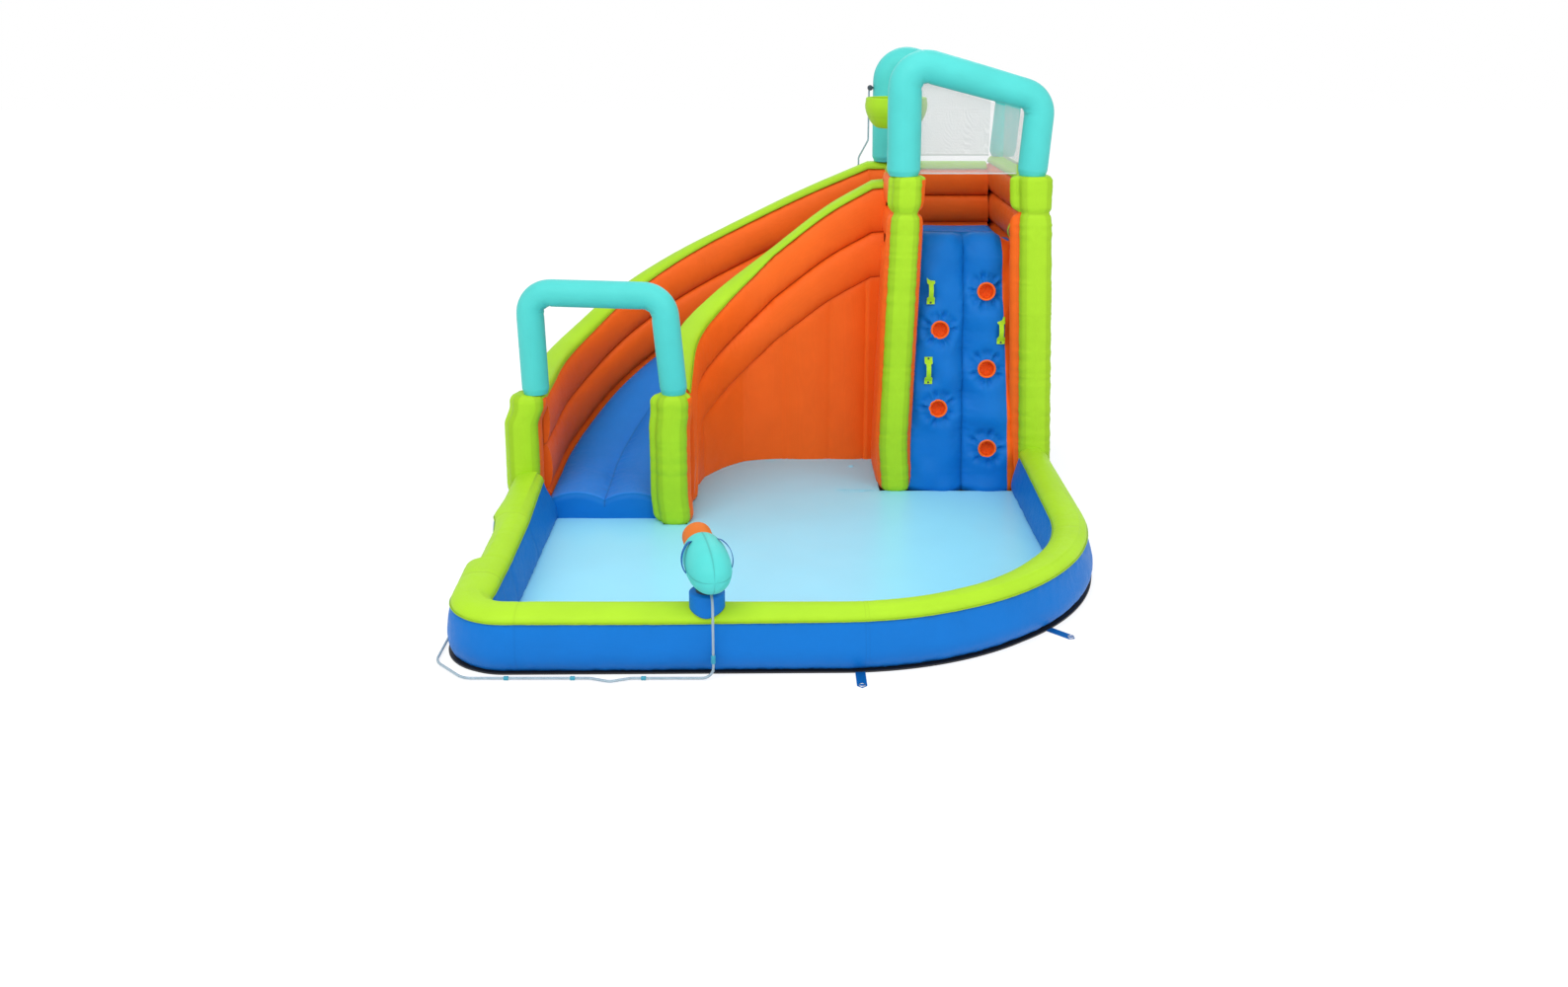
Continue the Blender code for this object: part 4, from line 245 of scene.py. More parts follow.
# Hoses: their line repeats the frame's
HOSE_OFFSET = 0.015
HOSE_GROUND = 0.0105
HOSE_BEND = 0.050
HOSE_LEAD = 0.066
HOSE_CLEARANCE = 0.002
COUPLING_X = -1.623
COUPLING_Y = -0.25
COUPLING_Z = 0.020
COUPLING_LENGTH = 0.080
SIDE_X = -PARK_WIDTH / 2 - HOSE_OFFSET
FRONT_Y = -PARK_DEPTH / 2 - HOSE_OFFSET
BACK_Y = PARK_DEPTH / 2 + HOSE_OFFSET
NOZZLE_HOLD_X = 0.535
SPRAY_BACK_Y = 1.735
SPRAY_Z = 2.390

# Blower
BLOWER_X = 1.00
BLOWER_Y = 2.50
SHAFT_HEIGHT = 0.200
HOUSING_HALF_WIDTH = 0.065
INTAKE_RADIUS = 0.070
SCREW_RING = 0.148
SLEEVE_RADIUS = 0.0586

# Camera that took the reference picture, in pixels of its own frame
FRAME_WIDTH = 1588.0
FRAME_HEIGHT = 1000.0
FOCAL_PIXELS = 1300.0
AXIS_PIXEL = (783.0, 350.0)
CAMERA_PITCH = 13.75
CAMERA_PLACE = (-0.105, -6.932, 2.751)
SENSOR = 36.0
# Lights: name, place, what it points at, size and power
LIGHTS = (
    ("key_light", (-2.5, -5.5, 6.0), (0.0, 0.2, 0.6), 5.0, 220.0),
    ("top_light", (0.2, -0.8, 5.5), (0.1, -0.3, 0.0), 3.5, 42.0),
    ("fill_light", (4.0, -5.5, 4.0), (0.2, 0.0, 0.8), 5.0, 90.0),
    ("back_light", (1.5, 6.0, 5.0), (0.0, 0.5, 1.0), 4.0, 60.0),
)

# A wave texture of this scale has one wave in a metre
WAVE_TURNS = 0.3183

# Seams and stitches: the painted shade line in the crease at a seam, the row of stitches beside it and the
# hem of a net
SEAM_SHADOW = 0.008
STITCH_ROW = 0.011
STITCH_SHARE = 0.62
THREAD_REACH = 0.0014
NET_HEM = 0.014
# Distance from a seam that counts as none near, and the size and edge of the slow sway of a face
NO_SEAM = 0.5
SWAY_LUMP = 0.22
SWAY_FADE = 0.06
# How square a roll and a wall's crown are; 2 is round
ROLL_POWER = 2.2
CROWN_POWER = 2.35

# How finely the fabric is drawn; a post has 80 points round it
POST_COLUMNS = 80
FINE = 10
ROLL_POINTS = 18
ARCH_SIDES = 56
TOWER_ROWS = 60
# Points that folds leave as they are: first and last ring, and a slab's side edges with its underside
ENDS = [0, -1]
SLAB_EDGES = np.s_[:, (0, -3, -2, -1)]
# Outline of a band's edge welt: reach beyond the edge, and height over it
WELT = ((0.0005, -0.0045), (0.0042, -0.0035), (0.0058, -0.0005), (0.0042, 0.0025), (0.0008, 0.0035))


def colour(name, description, default):
    """A colour setting."""
    return FloatVectorProperty(name=name, description=description, subtype="COLOR", default=default)


def length(name, description, default):
    """A setting for a length."""
    return FloatProperty(name=name, description=description, unit="LENGTH", default=default)


class ParkColours(bpy.types.PropertyGroup):
    """Colours of the fabrics and plastics."""

    lime: colour("Lime", "Bands, posts and handles", (0.39, 0.68, 0.022))
    orange: colour("Orange", "Slide and tower walls", (0.94, 0.145, 0.013))
    teal: colour("Turquoise", "Arches and water cannon", (0.085, 0.60, 0.57))
    blue: colour("Blue", "Pool wall, climbing wall and outer skin", (0.002, 0.16, 0.56))
    # Lighter than the wall blue: the lightness is painted sky light on the upturned faces of the bed and
    # platform.
    bed_blue: colour("Slide blue", "Slide bed and platform", (0.02, 0.24, 0.80))
    floor: colour("Floor", "Pool floor sheet", (0.29, 0.74, 0.95))
    mat: colour("Base mat", "Sheet under the park", (0.012, 0.012, 0.015))
    nozzle: colour("Nozzle", "Water cannon's nozzle", (1.0, 0.24, 0.03))
    blower: colour("Blower", "Blower's moulded housing", (0.87, 0.23, 0.025))
    net: colour("Net", "Nets round the tower", (0.58, 0.60, 0.60))


class ParkSizes(bpy.types.PropertyGroup):
    """Sizes of the fabric's detail."""

    seam_depth: length("Seam depth", "How far a seam draws a wall in", 0.044)
    pucker_depth: length("Pucker depth", "Depth of the small folds along a seam", 0.0055)
    pucker_reach: length("Pucker reach", "How far the folds run from a seam", 0.045)
    pucker_spacing: length("Pucker spacing", "Distance between folds along a seam", 0.038)
    sway: length("Sway", "Slow unevenness of an inflated face", 0.0035)
    stitch_pitch: length("Stitch pitch", "Length of one stitch with its space", 0.006)
    weave_pitch: length("Weave pitch", "Distance between threads", 0.0016)
    hose_radius: length("Hose radius", "Radius of the clear hoses", 0.006)


def colours():
    """The colour settings."""
    return bpy.context.scene.park_colours


def sizes():
    """The size settings."""
    return bpy.context.scene.park_sizes


# Repeatable noise


def lattice(cells, seed):
    """A repeatable value from 0 to 1 for each whole-number cell."""
    steps = np.array((12.9898, 78.233, 37.719))[: cells.shape[-1]]
    return np.modf(np.abs(np.sin((cells * steps).sum(axis=-1) + seed * 4.37) * 43758.5453))[0]


def noise(points, size, seed=0):
    """Smooth noise from -1 to 1 at points, with lumps of a given size."""
    scaled = points / size
    cell = np.floor(scaled)
    part = scaled - cell
    part = part * part * (3 - 2 * part)
    total = np.zeros(points.shape[:-1])
    for corner in itertools.product((0, 1), repeat=points.shape[-1]):
        weight = np.prod(np.where(np.array(corner, bool), part, 1 - part), axis=-1)
        total += weight * lattice(cell + np.array(corner), seed)
    return 2 * total - 1


# Meshes from grids of points, whose rows are closed rings


def grid_normals(points):
    """Unit normals of a grid of rings, turned away from each ring's middle."""
    around = np.roll(points, -1, axis=1) - np.roll(points, 1, axis=1)
    normals = np.cross(np.gradient(points, axis=0), around)
    normals /= np.maximum(np.linalg.norm(normals, axis=2, keepdims=True), 1e-12)
    outward = points - points.mean(axis=1, keepdims=True)
    return -normals if (normals * outward).sum() < 0 else normals


def line_lengths(points):
    """Length along a line of points, or along each line of a grid, from its start."""
    steps = np.linalg.norm(np.diff(points, axis=0), axis=-1)
    return np.concatenate((np.zeros_like(steps[:1]), np.cumsum(steps, axis=0)))


def unit(vectors):
    """Vectors brought to a length of one."""
    return vectors / np.linalg.norm(vectors, axis=-1, keepdims=True)


def puckered(points, seam, along, seed, depth=1.0, held=()):
    """Draw folds into a grid beside its seams, and a slow sway into its faces, save where it is held."""
    size = sizes()
    seam, along = (np.broadcast_to(values, points.shape[:2]) for values in (seam, along))
    near = np.exp(-seam / size.pucker_reach) * np.clip(seam / 0.004, 0.25, 1.0)
    place = np.stack((along, seam * 0.35), axis=2)
    folds = np.abs(noise(place, size.pucker_spacing, seed))
    folds += 0.5 * np.abs(noise(place, size.pucker_spacing * 0.45, seed + 1))
    sway = noise(points, SWAY_LUMP, seed + 2) * np.clip(seam / SWAY_FADE, 0.0, 1.0)
    shift = depth * (size.sway * sway - size.pucker_depth * near * folds)
    moved = points + grid_normals(points) * shift[..., None]
    for part in held:
        moved[part] = points[part]
    return moved


def linked(name, data):
    """A new object of the scene that shows some data."""
    item = bpy.data.objects.new(name, data)
    bpy.context.scene.collection.objects.link(item)
    return item


def mesh_of(bm, name):
    """A new mesh of what a bmesh holds, which is then freed."""
    mesh = bpy.data.meshes.new(name)
    bm.to_mesh(mesh)
    bm.free()
    return mesh


def mesh_object(name, mesh, smooth_angle=60.0):
    """An object for a mesh, with its faces turned outward and smooth shading."""
    bm = bmesh.new()
    bm.from_mesh(mesh)
    bmesh.ops.recalc_face_normals(bm, faces=bm.faces)
    bm.to_mesh(mesh)
    bm.free()
    mesh.shade_smooth()
    mesh.set_sharp_from_angle(angle=math.radians(smooth_angle))
    return linked(name, mesh)


def grid_object(name, points, seam=None, along=None, closed=False):
    """A mesh object from rings of points, with each point's seam distance and length along.

    A closed one has its last ring joined to its first, and any other has its ends filled.
    """
    rows, columns = points.shape[:2]
    index = np.arange(rows * columns).reshape(rows, columns)
    if closed:
        index = np.vstack((index, index[:1]))
    after = np.roll(index, -1, axis=1)
    faces = np.stack((index[:-1], after[:-1], after[1:], index[1:]), axis=2).reshape(-1, 4).tolist()
    if not closed:
        faces += [index[0].tolist(), index[-1, ::-1].tolist()]
    mesh = bpy.data.meshes.new(name)
    mesh.from_pydata(points.reshape(-1, 3).tolist(), [], faces)
    for label, values in (("seam", seam), ("along", along)):
        if values is not None:
            layer = mesh.attributes.new(label, "FLOAT", "POINT")
            values = np.broadcast_to(values, (rows, columns))
            layer.data.foreach_set("value", np.ascontiguousarray(values, np.float32).ravel())
    return mesh_object(name, mesh)


def bevelled(item, width):
    """An object with its edges slightly rounded."""
    bevel = item.modifiers.new("edge", "BEVEL")
    bevel.width = width
    bevel.segments = 2
    return item


def dressed(item, finish, node=None, fill=None, body=ROOT):
    """Give a piece its finish and its body, and hide the node that it stands for; fill, how full of stuffing
    it is, is not used.
    """
    material, slot = look(finish)
    item.data.materials.append(material)
    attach(item, body)
    if node:
        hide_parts(node)
    return item


def add_cloth(node, finish, grid, seam, along, fill):
    """A fabric piece that stands for a node and goes nowhere lower than the mat."""
    grid[..., 2] = np.maximum(grid[..., 2], BASE_Z)
    return dressed(grid_object(f"{node}_cloth", grid, seam, along), finish, node, fill)


def trim(item, finish, chosen):
    """Give a second finish to the faces that a test chooses."""
    item.data.materials.append(look(finish)[0])
    for face in item.data.polygons:
        face.material_index = int(chosen(face))


def placed(points, place):
    """Points moved into a frame."""
    matrix = np.array(place)
    return points @ matrix[:3, :3].T + matrix[:3, 3]


def frame_at(place, *axes):
    """A frame with its origin and its three axes."""
    turned = Matrix(axes).transposed().to_4x4()
    turned.translation = place
    return turned


def circle_angles(steps):
    """Angles of even steps round a circle."""
    return np.arange(steps) * 2 * np.pi / steps


def turned_grid(profile, place, steps=64):
    """Points of a profile of (radius, height) turned about the Z axis of a frame."""
    angles = circle_angles(steps)
    radii, heights = np.array(profile, float).T[..., None]
    points = (radii * np.cos(angles), radii * np.sin(angles), heights + 0.0 * angles)
    return placed(np.stack(points, axis=2), place)


def tube_grid(route, radii, sides=32):
    """Rings of a tube along a route, kept from twisting."""
    ahead = unit(np.gradient(route, axis=0))
    up = np.array((0.0, 0.0, 1.0)) if abs(ahead[0, 2]) < 0.9 else np.array((0.0, 1.0, 0.0))
    angles = circle_angles(sides)[:, None]
    rings = np.zeros((len(route), sides, 3))
    for row, (point, direction) in enumerate(zip(route, ahead)):
        across = np.cross(direction, up)
        across /= np.linalg.norm(across)
        up = np.cross(across, direction)
        rings[row] = point + radii[row] * (np.cos(angles) * across + np.sin(angles) * up)
    return rings


# Plan lines


def ellipse_points(centre, radius_x, radius_y, start, end, steps):
    """Points on an ellipse between two angles in degrees, without the first."""
    angles = np.radians(np.linspace(start, end, steps + 1)[1:])
    return [(centre[0] + radius_x * math.cos(a), centre[1] + radius_y * math.sin(a)) for a in angles]


def line_points(start, end, steps):
    """Even points on a line, without the first."""
    shares = np.linspace(0.0, 1.0, steps + 1)[1:]
    return [(start[0] + (end[0] - start[0]) * t, start[1] + (end[1] - start[1]) * t) for t in shares]


def plan_offsets(points):
    """Left-hand offsets of one metre along a plan line, mitred at its bends."""
    ahead = unit(np.diff(points, axis=0))
    left = np.stack((-ahead[:, 1], ahead[:, 0]), axis=1)
    before = np.vstack((left[:1], left))
    after = np.vstack((left, left[-1:]))
    middle = unit(before + after)
    return middle / np.maximum((middle * before).sum(axis=1, keepdims=True), 0.3)


def pool_line():
    """Middle line of the pool's wall, from the slide's left post round to the tower's right post."""
    radius = POOL_CORNER_RADIUS
    corner = (-POOL_LINE_X + radius, POOL_LINE_Y + radius)
    start = (-POOL_LINE_X, EXIT_Y - GAP)
    points = [start]
    points += line_points(start, (-POOL_LINE_X, corner[1]), 100)
    points += ellipse_points(corner, radius, radius, 180.0, 270.0, 18)
    points += line_points(points[-1], (POOL_ROUND_X, POOL_LINE_Y), 100)
    across = POOL_LINE_X - POOL_ROUND_X
    centre = (POOL_ROUND_X, POOL_ROUND_Y)
    points += ellipse_points(centre, across, POOL_ROUND_Y - POOL_LINE_Y, -90.0, 0.0, 130)
    points += line_points(points[-1], (POOL_LINE_X, TOWER_FRONT_Y - GAP), 64)
    return np.array(points)


def slide_line(start_y, straight_x, straight_end_y, curve_end_x, top_y, end_x):
    """Middle line of a slide wall: up the side, round the bend and along the back."""
    start = (straight_x, start_y)
    bend = (straight_x, straight_end_y)
    points = [start] + line_points(start, bend, 3 * FINE)
    centre = (curve_end_x, straight_end_y)
    points += ellipse_points(centre, curve_end_x - straight_x, top_y - straight_end_y, 180.0, 90.0, 12 * FINE)
    return np.array(points + line_points(points[-1], (end_x, top_y), 6 * FINE))


def left_wall_x(height, side):
    """Face of the tower's left wall, which leans; side is -1 outside, 1 inside, 0 the middle."""
    return TOWER_LEFT_X + TOWER_LEFT_LEAN * height / TOWER_HEIGHT + side * LEFT_WALL_WIDTH / 2


def right_wall_x(height, side):
    """Face of the tower's right wall; side is -1 inside, 1 outside, 0 the middle."""
    return TOWER_RIGHT_X - TOWER_RIGHT_LEAN * height / TOWER_HEIGHT + side * RIGHT_WALL_WIDTH / 2


WALL_END_X = left_wall_x(0.0, -1) - GAP
POOL_POINTS = pool_line()
OUTER_POINTS = slide_line(
    EXIT_Y + POST_DEPTH + GAP, OUTER_X, OUTER_STRAIGHT_END_Y, OUTER_CURVE_END_X, OUTER_Y, WALL_END_X
)
INNER_POINTS = slide_line(
    RIGHT_POST_FRONT_Y + POST_DEPTH + GAP,
    INNER_X,
    INNER_STRAIGHT_END_Y,
    INNER_CURVE_END_X,
    INNER_Y,
    WALL_END_X,
)


def started(edge, steps, kept=slice(None)):
    """Plan points of an edge of the bed, led up to it in steps from the lip."""
    return np.vstack((np.column_stack((np.full(len(steps), edge[0, 0]), EXIT_Y + steps)), edge[kept]))


def bed_edges():
    """Plan points of the bed's outer and inner edge, and how far each pair is from the lip."""
    outer, inner = (
        points + side * plan_offsets(points) * (CHANNEL_FACE + GAP)
        for points, side in ((OUTER_POINTS, -1), (INNER_POINTS, 1))
    )
    start = min(INNER_POINTS[0, 1], OUTER_POINTS[0, 1])
    steps = np.linspace(0.0, start - EXIT_Y, 10)[:-1]
    return started(outer, steps), started(inner, steps), len(steps)


BED_OUTER, BED_INNER, LIP_ROWS = bed_edges()


def bed_heights():
    """Height of the slide's surface at each pair of bed edges, and the length up to it."""
    middles = (BED_OUTER + BED_INNER) / 2
    lengths = line_lengths(middles)
    past = lengths - RUN_OUT
    past = np.where(past > BED_EASE, past, np.clip(past + BED_EASE, 0.0, None) ** 2 / (4 * BED_EASE))
    rise = PLATFORM_HEIGHT - STEP_TO_PLATFORM - EXIT_HEIGHT
    return EXIT_HEIGHT + rise * past / (lengths[-1] - RUN_OUT), lengths


BED_HEIGHTS, BED_LENGTHS = bed_heights()


def smooth_curve(knots, shares):
    """Values of a smooth curve through knots of (share, value)."""
    places, values = np.array(knots).T
    before = np.maximum(np.arange(len(places)) - 1, 0)
    after = np.minimum(np.arange(len(places)) + 1, len(places) - 1)
    slopes = (values[after] - values[before]) / (places[after] - places[before])
    index = np.clip(np.searchsorted(places, shares) - 1, 0, len(places) - 2)
    reach = places[index + 1] - places[index]
    rise = values[index + 1] - values[index]
    t = (shares - places[index]) / reach
    start = slopes[index] * reach - rise
    end = rise - slopes[index + 1] * reach
    return values[index] + rise * t + t * (1 - t) * ((1 - t) * start + t * end)


def smoothstep(value):
    """A smooth rise from 0 to 1."""
    value = np.clip(value, 0.0, 1.0)
    return value * value * (3 - 2 * value)


def crests(side_heights):
    """Height of a slide wall's crest at its stations, and of the bed's edge beside it."""
    edges = BED_HEIGHTS[LIP_ROWS:] - BED_CROWN
    shares = BED_LENGTHS[LIP_ROWS:] / BED_LENGTHS[-1]
    return edges + smooth_curve(side_heights, shares), edges


# Outlines of walls: each part is (across, height, distance to the nearest seam), rows by points


def column(value, rows):
    """One value for each row, as a column."""
    return np.broadcast_to(np.asarray(value, float).reshape(-1, 1), (rows, 1))


def crowded_shares(count):
    """Shares from 0 to just under 1 that lie closer together toward both ends."""
    return (1 - np.cos(np.pi * np.linspace(0.0, 1.0, count + 1)))[:-1] / 2


def swelling(share, power=ROLL_POWER):
    """How full a roll is, from 0 at its seams to 1 in its middle."""
    return np.clip(1 - np.abs(2 * share - 1) ** power, 0.0, 1.0) ** (1 / power)


def plain_part(face, high, count, rows):
    """An upright stretch of a face from the mat up, without the last point."""
    low, high = column(BASE_Z, rows), column(high, rows)
    height = low + (high - low) * np.linspace(0.0, 1.0, count + 1)[:-1]
    return face + 0.0 * height, height, np.full(height.shape, NO_SEAM)


def roll_part(face, depth, low, high, rows, count=ROLL_POINTS, power=ROLL_POWER):
    """A bulging roll between two seams, without the last point."""
    share = crowded_shares(count)
    low, high = column(low, rows), column(high, rows)
    height = low + (high - low) * share
    across = face - depth + depth * swelling(share, power) + 0.0 * height
    return across, height, np.minimum(share, 1 - share) * (high - low)


def crown_part(left, right, crest, drop, rows, count=20):
    """The rounded top of a wall from its left shoulder to its right one, both points included."""
    angle = np.linspace(np.pi, 0.0, count + 1)[None]
    reach = np.where(np.cos(angle) < 0, left, right)
    across = reach * np.sign(np.cos(angle)) * np.abs(np.cos(angle)) ** (2 / CROWN_POWER)
    rise = np.abs(np.sin(angle)) ** (2 / CROWN_POWER)
    height = column(crest, rows) - drop + drop * rise
    seam = np.minimum(np.abs(angle), np.abs(np.pi - angle)) * 0.5 * (left + right) / 1.6
    return across + 0.0 * height, height, np.broadcast_to(seam, height.shape)


def joined(parts):
    """Parts put together into one."""
    return tuple(np.concatenate(layers, axis=1) for layers in zip(*parts))


def downward(parts):
    """Parts that go up a face, joined and turned so that they come down it."""
    return tuple(layer[:, ::-1] for layer in joined(parts))


def inner_parts(face, edge, crest, rows, inset=0.0, gap=0.015, count=4):
    """Inner face of a wall: plain up to the edge of the bed or the platform, then two equal rolls."""
    low, high = edge + gap, crest - CREST_DROP
    middle = (low + high) / 2
    depth = sizes().seam_depth
    rolls = [roll_part(face, depth, low, middle, rows), roll_part(face, depth, middle, high, rows)]
    return [plain_part(face - inset, edge, count, rows), *rolls]


def yard_parts(face, crest, rows):
    """Face of a wall toward the yard, under the skin: a tall roll with a short one over it."""
    high = crest - CREST_DROP
    seam = high - np.minimum(ROLL_HEIGHT, (high - BASE_Z) / 2)
    face = face - YARD_INSET
    return [
        roll_part(face, YARD_SEAM_DEPTH, BASE_Z, seam, rows, 16),
        roll_part(face, YARD_SEAM_DEPTH, seam, high, rows, 8),
    ]


def wall_parts(left_face, right_face, left, right, crest, rows, drop=CREST_DROP, count=20):
    """The section of a wall: up its left face, over its crown and down its right face."""
    crown = crown_part(left, right, crest, drop, rows, count)
    return [*((-across, height, seam) for across, height, seam in left_face), crown, downward(right_face)]


def band_parts(left, right, crest, drop, rows):
    """The section of a band over a wall's crown, with a welt along each edge that carries a painted shade
    line.
    """
    outside, inside = (
        crown_part(left + by, right + by, crest + by, drop + by, rows, 28)
        for by in (SKIN_GAP + BAND_THICKNESS, SKIN_GAP)
    )
    across, height, _ = outside
    reach, rise = np.array(WELT).T[:, None]
    # The welt's points sit 0.002 from a seam, so the fabric paints shade on them: the dark line along the
    # band's edge.
    welt_shade_seam = np.full((rows, len(WELT)), 0.002)
    first = (across[:, :1] - reach, height[:, :1] + rise, welt_shade_seam)
    last = (across[:, -1:] + reach[:, ::-1], height[:, -1:] + rise[:, ::-1], welt_shade_seam)
    return [first, outside, last, downward([inside])]


def swept(points, parts):
    """The grid of an outline along a plan line, with its seam distances and the length up to each row."""
    across, height, seam = joined(parts)
    plan = points[:, None] + plan_offsets(points)[:, None] * across[..., None]
    return np.dstack((plan, height)), seam, line_lengths(points)[:, None]


def lean_end(grid, side=-1):
    """Set the last row of a piece against the tower's leaning left wall."""
    grid[-1, :, 0] = left_wall_x(grid[-1, :, 2], side) - GAP
    return grid


def slab_seams(near):
    """Seam distances of a slab's top with those of the two plain columns under it."""
    return np.hstack((near, np.full((len(near), 2), NO_SEAM)))


# The fabric paints shade where this distance is small, so a slab's middle crease is drawn darker.
def crease_seams(share):
    """Share of a slab's width to its nearest edge or to the crease in its middle."""
    return np.minimum(np.minimum(share, 1 - share), np.abs(share - 0.5))


# Materials


def wire(tree, node, inputs):
    """Set a node's inputs, or link them where their value is another node's output."""
    for key, value in inputs.items():
        if isinstance(value, bpy.types.NodeSocket):
            tree.links.new(value, node.inputs[key])
        else:
            node.inputs[key].default_value = value
    return node


def add_node(tree, kind, inputs=None, **settings):
    """A shader node with its settings and its inputs."""
    node = tree.nodes.new(kind)
    for key, value in settings.items():
        setattr(node, key, value)
    return wire(tree, node, inputs or {})


def maths(tree, operation, a, b=0.0, clamp=False):
    """The output of a Math node."""
    return add_node(tree, "ShaderNodeMath", {0: a, 1: b}, operation=operation, use_clamp=clamp).outputs[0]


def blended(tree, share, a, b):
    """The colour output of a Mix node between two colours."""
    return add_node(tree, "ShaderNodeMix", {0: share, 6: a, 7: b}, data_type="RGBA").outputs[2]


def speckle(tree, place, scale, detail, roughness=0.5):
    """The output of a Noise node."""
    inputs = {"Vector": place, "Scale": scale, "Detail": detail, "Roughness": roughness}
    return add_node(tree, "ShaderNodeTexNoise", inputs).outputs["Fac"]


def attribute(tree, name):
    """A value that each point of a mesh carries."""
    return add_node(tree, "ShaderNodeAttribute", attribute_name=name).outputs["Fac"]


def in_range(tree, value, low, high, start=0.0, end=1.0):
    """The output of a Map Range node."""
    inputs = {"Value": value, "From Min": start, "From Max": end, "To Min": low, "To Max": high}
    return add_node(tree, "ShaderNodeMapRange", inputs).outputs["Result"]


def bump(tree, height, strength, distance):
    """The normal output of a Bump node."""
    inputs = {"Height": height, "Strength": strength, "Distance": distance}
    return add_node(tree, "ShaderNodeBump", inputs).outputs["Normal"]


def shade(colour, factor):
    """A colour made lighter or darker, with its alpha."""
    return (*(min(1.0, max(0.0, channel * factor)) for channel in colour), 1.0)


def drift(tree, share, colour, low, high):
    """A colour that goes from a darker to a lighter tone of itself."""
    return blended(tree, share, shade(colour, low), shade(colour, high))


def new_material(name, roughness, metallic=0.0):
    """A node material with its tree, its shader and the place of each point in object space."""
    material = bpy.data.materials.new(name)
    material.use_nodes = True
    tree = material.node_tree
    shader = wire(tree, tree.nodes["Principled BSDF"], {"Roughness": roughness, "Metallic": metallic})
    return material, tree, shader, add_node(tree, "ShaderNodeTexCoord").outputs["Object"]


def fabric(name, colour, roughness=0.46):
    """Coated woven fabric: weave, small crinkles, slow colour change, painted shade along seams, and a row of
    stitches.
    """
    size = sizes()
    material, tree, shader, place = new_material(name, roughness)
    broad = speckle(tree, place, 5.0, 3.0)
    fine = speckle(tree, place, 26.0, 6.0, 0.62)
    wave = {"Vector": place, "Scale": WAVE_TURNS / size.weave_pitch}
    waves = [add_node(tree, "ShaderNodeTexWave", wave, bands_direction=axis).outputs["Fac"] for axis in "XYZ"]
    weave = maths(tree, "MULTIPLY", maths(tree, "ADD", maths(tree, "ADD", *waves[:2]), waves[2]), 0.05)
    tone = blended(tree, weave, drift(tree, broad, colour, 0.90, 1.08), shade(colour, 0.6))
    seam = attribute(tree, "seam")
    # Painted shade: the colour darkens toward a seam, standing in for the shade in the crease there, within
    # SEAM_SHADOW of it.
    near = maths(tree, "SUBTRACT", 1.0, maths(tree, "DIVIDE", seam, SEAM_SHADOW), clamp=True)
    tone = blended(tree, maths(tree, "MULTIPLY", near, 0.55), tone, shade(colour, 0.40))
    step = maths(tree, "FRACT", maths(tree, "DIVIDE", attribute(tree, "along"), size.stitch_pitch))
    dash = maths(tree, "LESS_THAN", step, STITCH_SHARE)
    off = maths(tree, "ABSOLUTE", maths(tree, "SUBTRACT", seam, STITCH_ROW))
    row = maths(tree, "SUBTRACT", 1.0, maths(tree, "DIVIDE", off, THREAD_REACH), clamp=True)
    thread = maths(tree, "MULTIPLY", maths(tree, "MULTIPLY", dash, row), 0.45)
    tone = blended(tree, thread, tone, shade(colour, 0.62))
    height = maths(tree, "ADD", maths(tree, "ADD", fine, weave), maths(tree, "MULTIPLY", thread, 0.5))
    inputs = {
        "Base Color": tone,
        "Normal": bump(tree, height, 0.35, 0.004),
        "Roughness": in_range(tree, fine, roughness - 0.06, roughness + 0.08, 0.3, 0.7),
        "Sheen Weight": 0.01,
        "Specular IOR Level": 0.14,
    }
    wire(tree, shader, inputs)
    return material


def vinyl(name, colour, roughness=0.32):
    """Smooth plastic sheet with faint creases and a fine grain."""
    material, tree, shader, place = new_material(name, roughness)
    broad = speckle(tree, place, 2.2, 4.0)
    height = maths(tree, "ADD", broad, maths(tree, "MULTIPLY", speckle(tree, place, 300.0, 2.0), 0.02))
    tone = drift(tree, broad, colour, 0.95, 1.05)
    wire(tree, shader, {"Base Color": tone, "Normal": bump(tree, height, 0.4, 0.003)})
    return material


def moulded(name, colour, roughness=0.42):
    """Moulded plastic with a fine spark-eroded grain and slightly uneven gloss."""
    material, tree, shader, place = new_material(name, roughness)
    broad = speckle(tree, place, 14.0, 3.0)
    inputs = {
        "Base Color": drift(tree, broad, colour, 0.94, 1.05),
        "Normal": bump(tree, speckle(tree, place, 900.0, 2.0), 0.5, 0.00025),
        "Roughness": in_range(tree, broad, roughness - 0.05, roughness + 0.07),
    }
    wire(tree, shader, inputs)
    return material


def steel(name, colour=(0.62, 0.63, 0.64), roughness=0.34):
    """Plain steel with fine scratches."""
    material, tree, shader, place = new_material(name, roughness, metallic=1.0)
    fine = speckle(tree, place, 240.0, 4.0)
    gloss = in_range(tree, fine, roughness - 0.08, roughness + 0.10)
    wire(tree, shader, {"Base Color": drift(tree, fine, colour, 0.9, 1.1), "Roughness": gloss})
    return material


def clear_tube(name):
    """Clear hose: pale, glossy and partly see-through."""
    material, tree, shader, place = new_material(name, 0.12)
    tone = blended(tree, speckle(tree, place, 30.0, 2.0), (0.34, 0.46, 0.54, 1.0), (0.50, 0.62, 0.69, 1.0))
    wire(tree, shader, {"Base Color": tone, "Transmission Weight": 0.35, "IOR": 1.40})
    return material


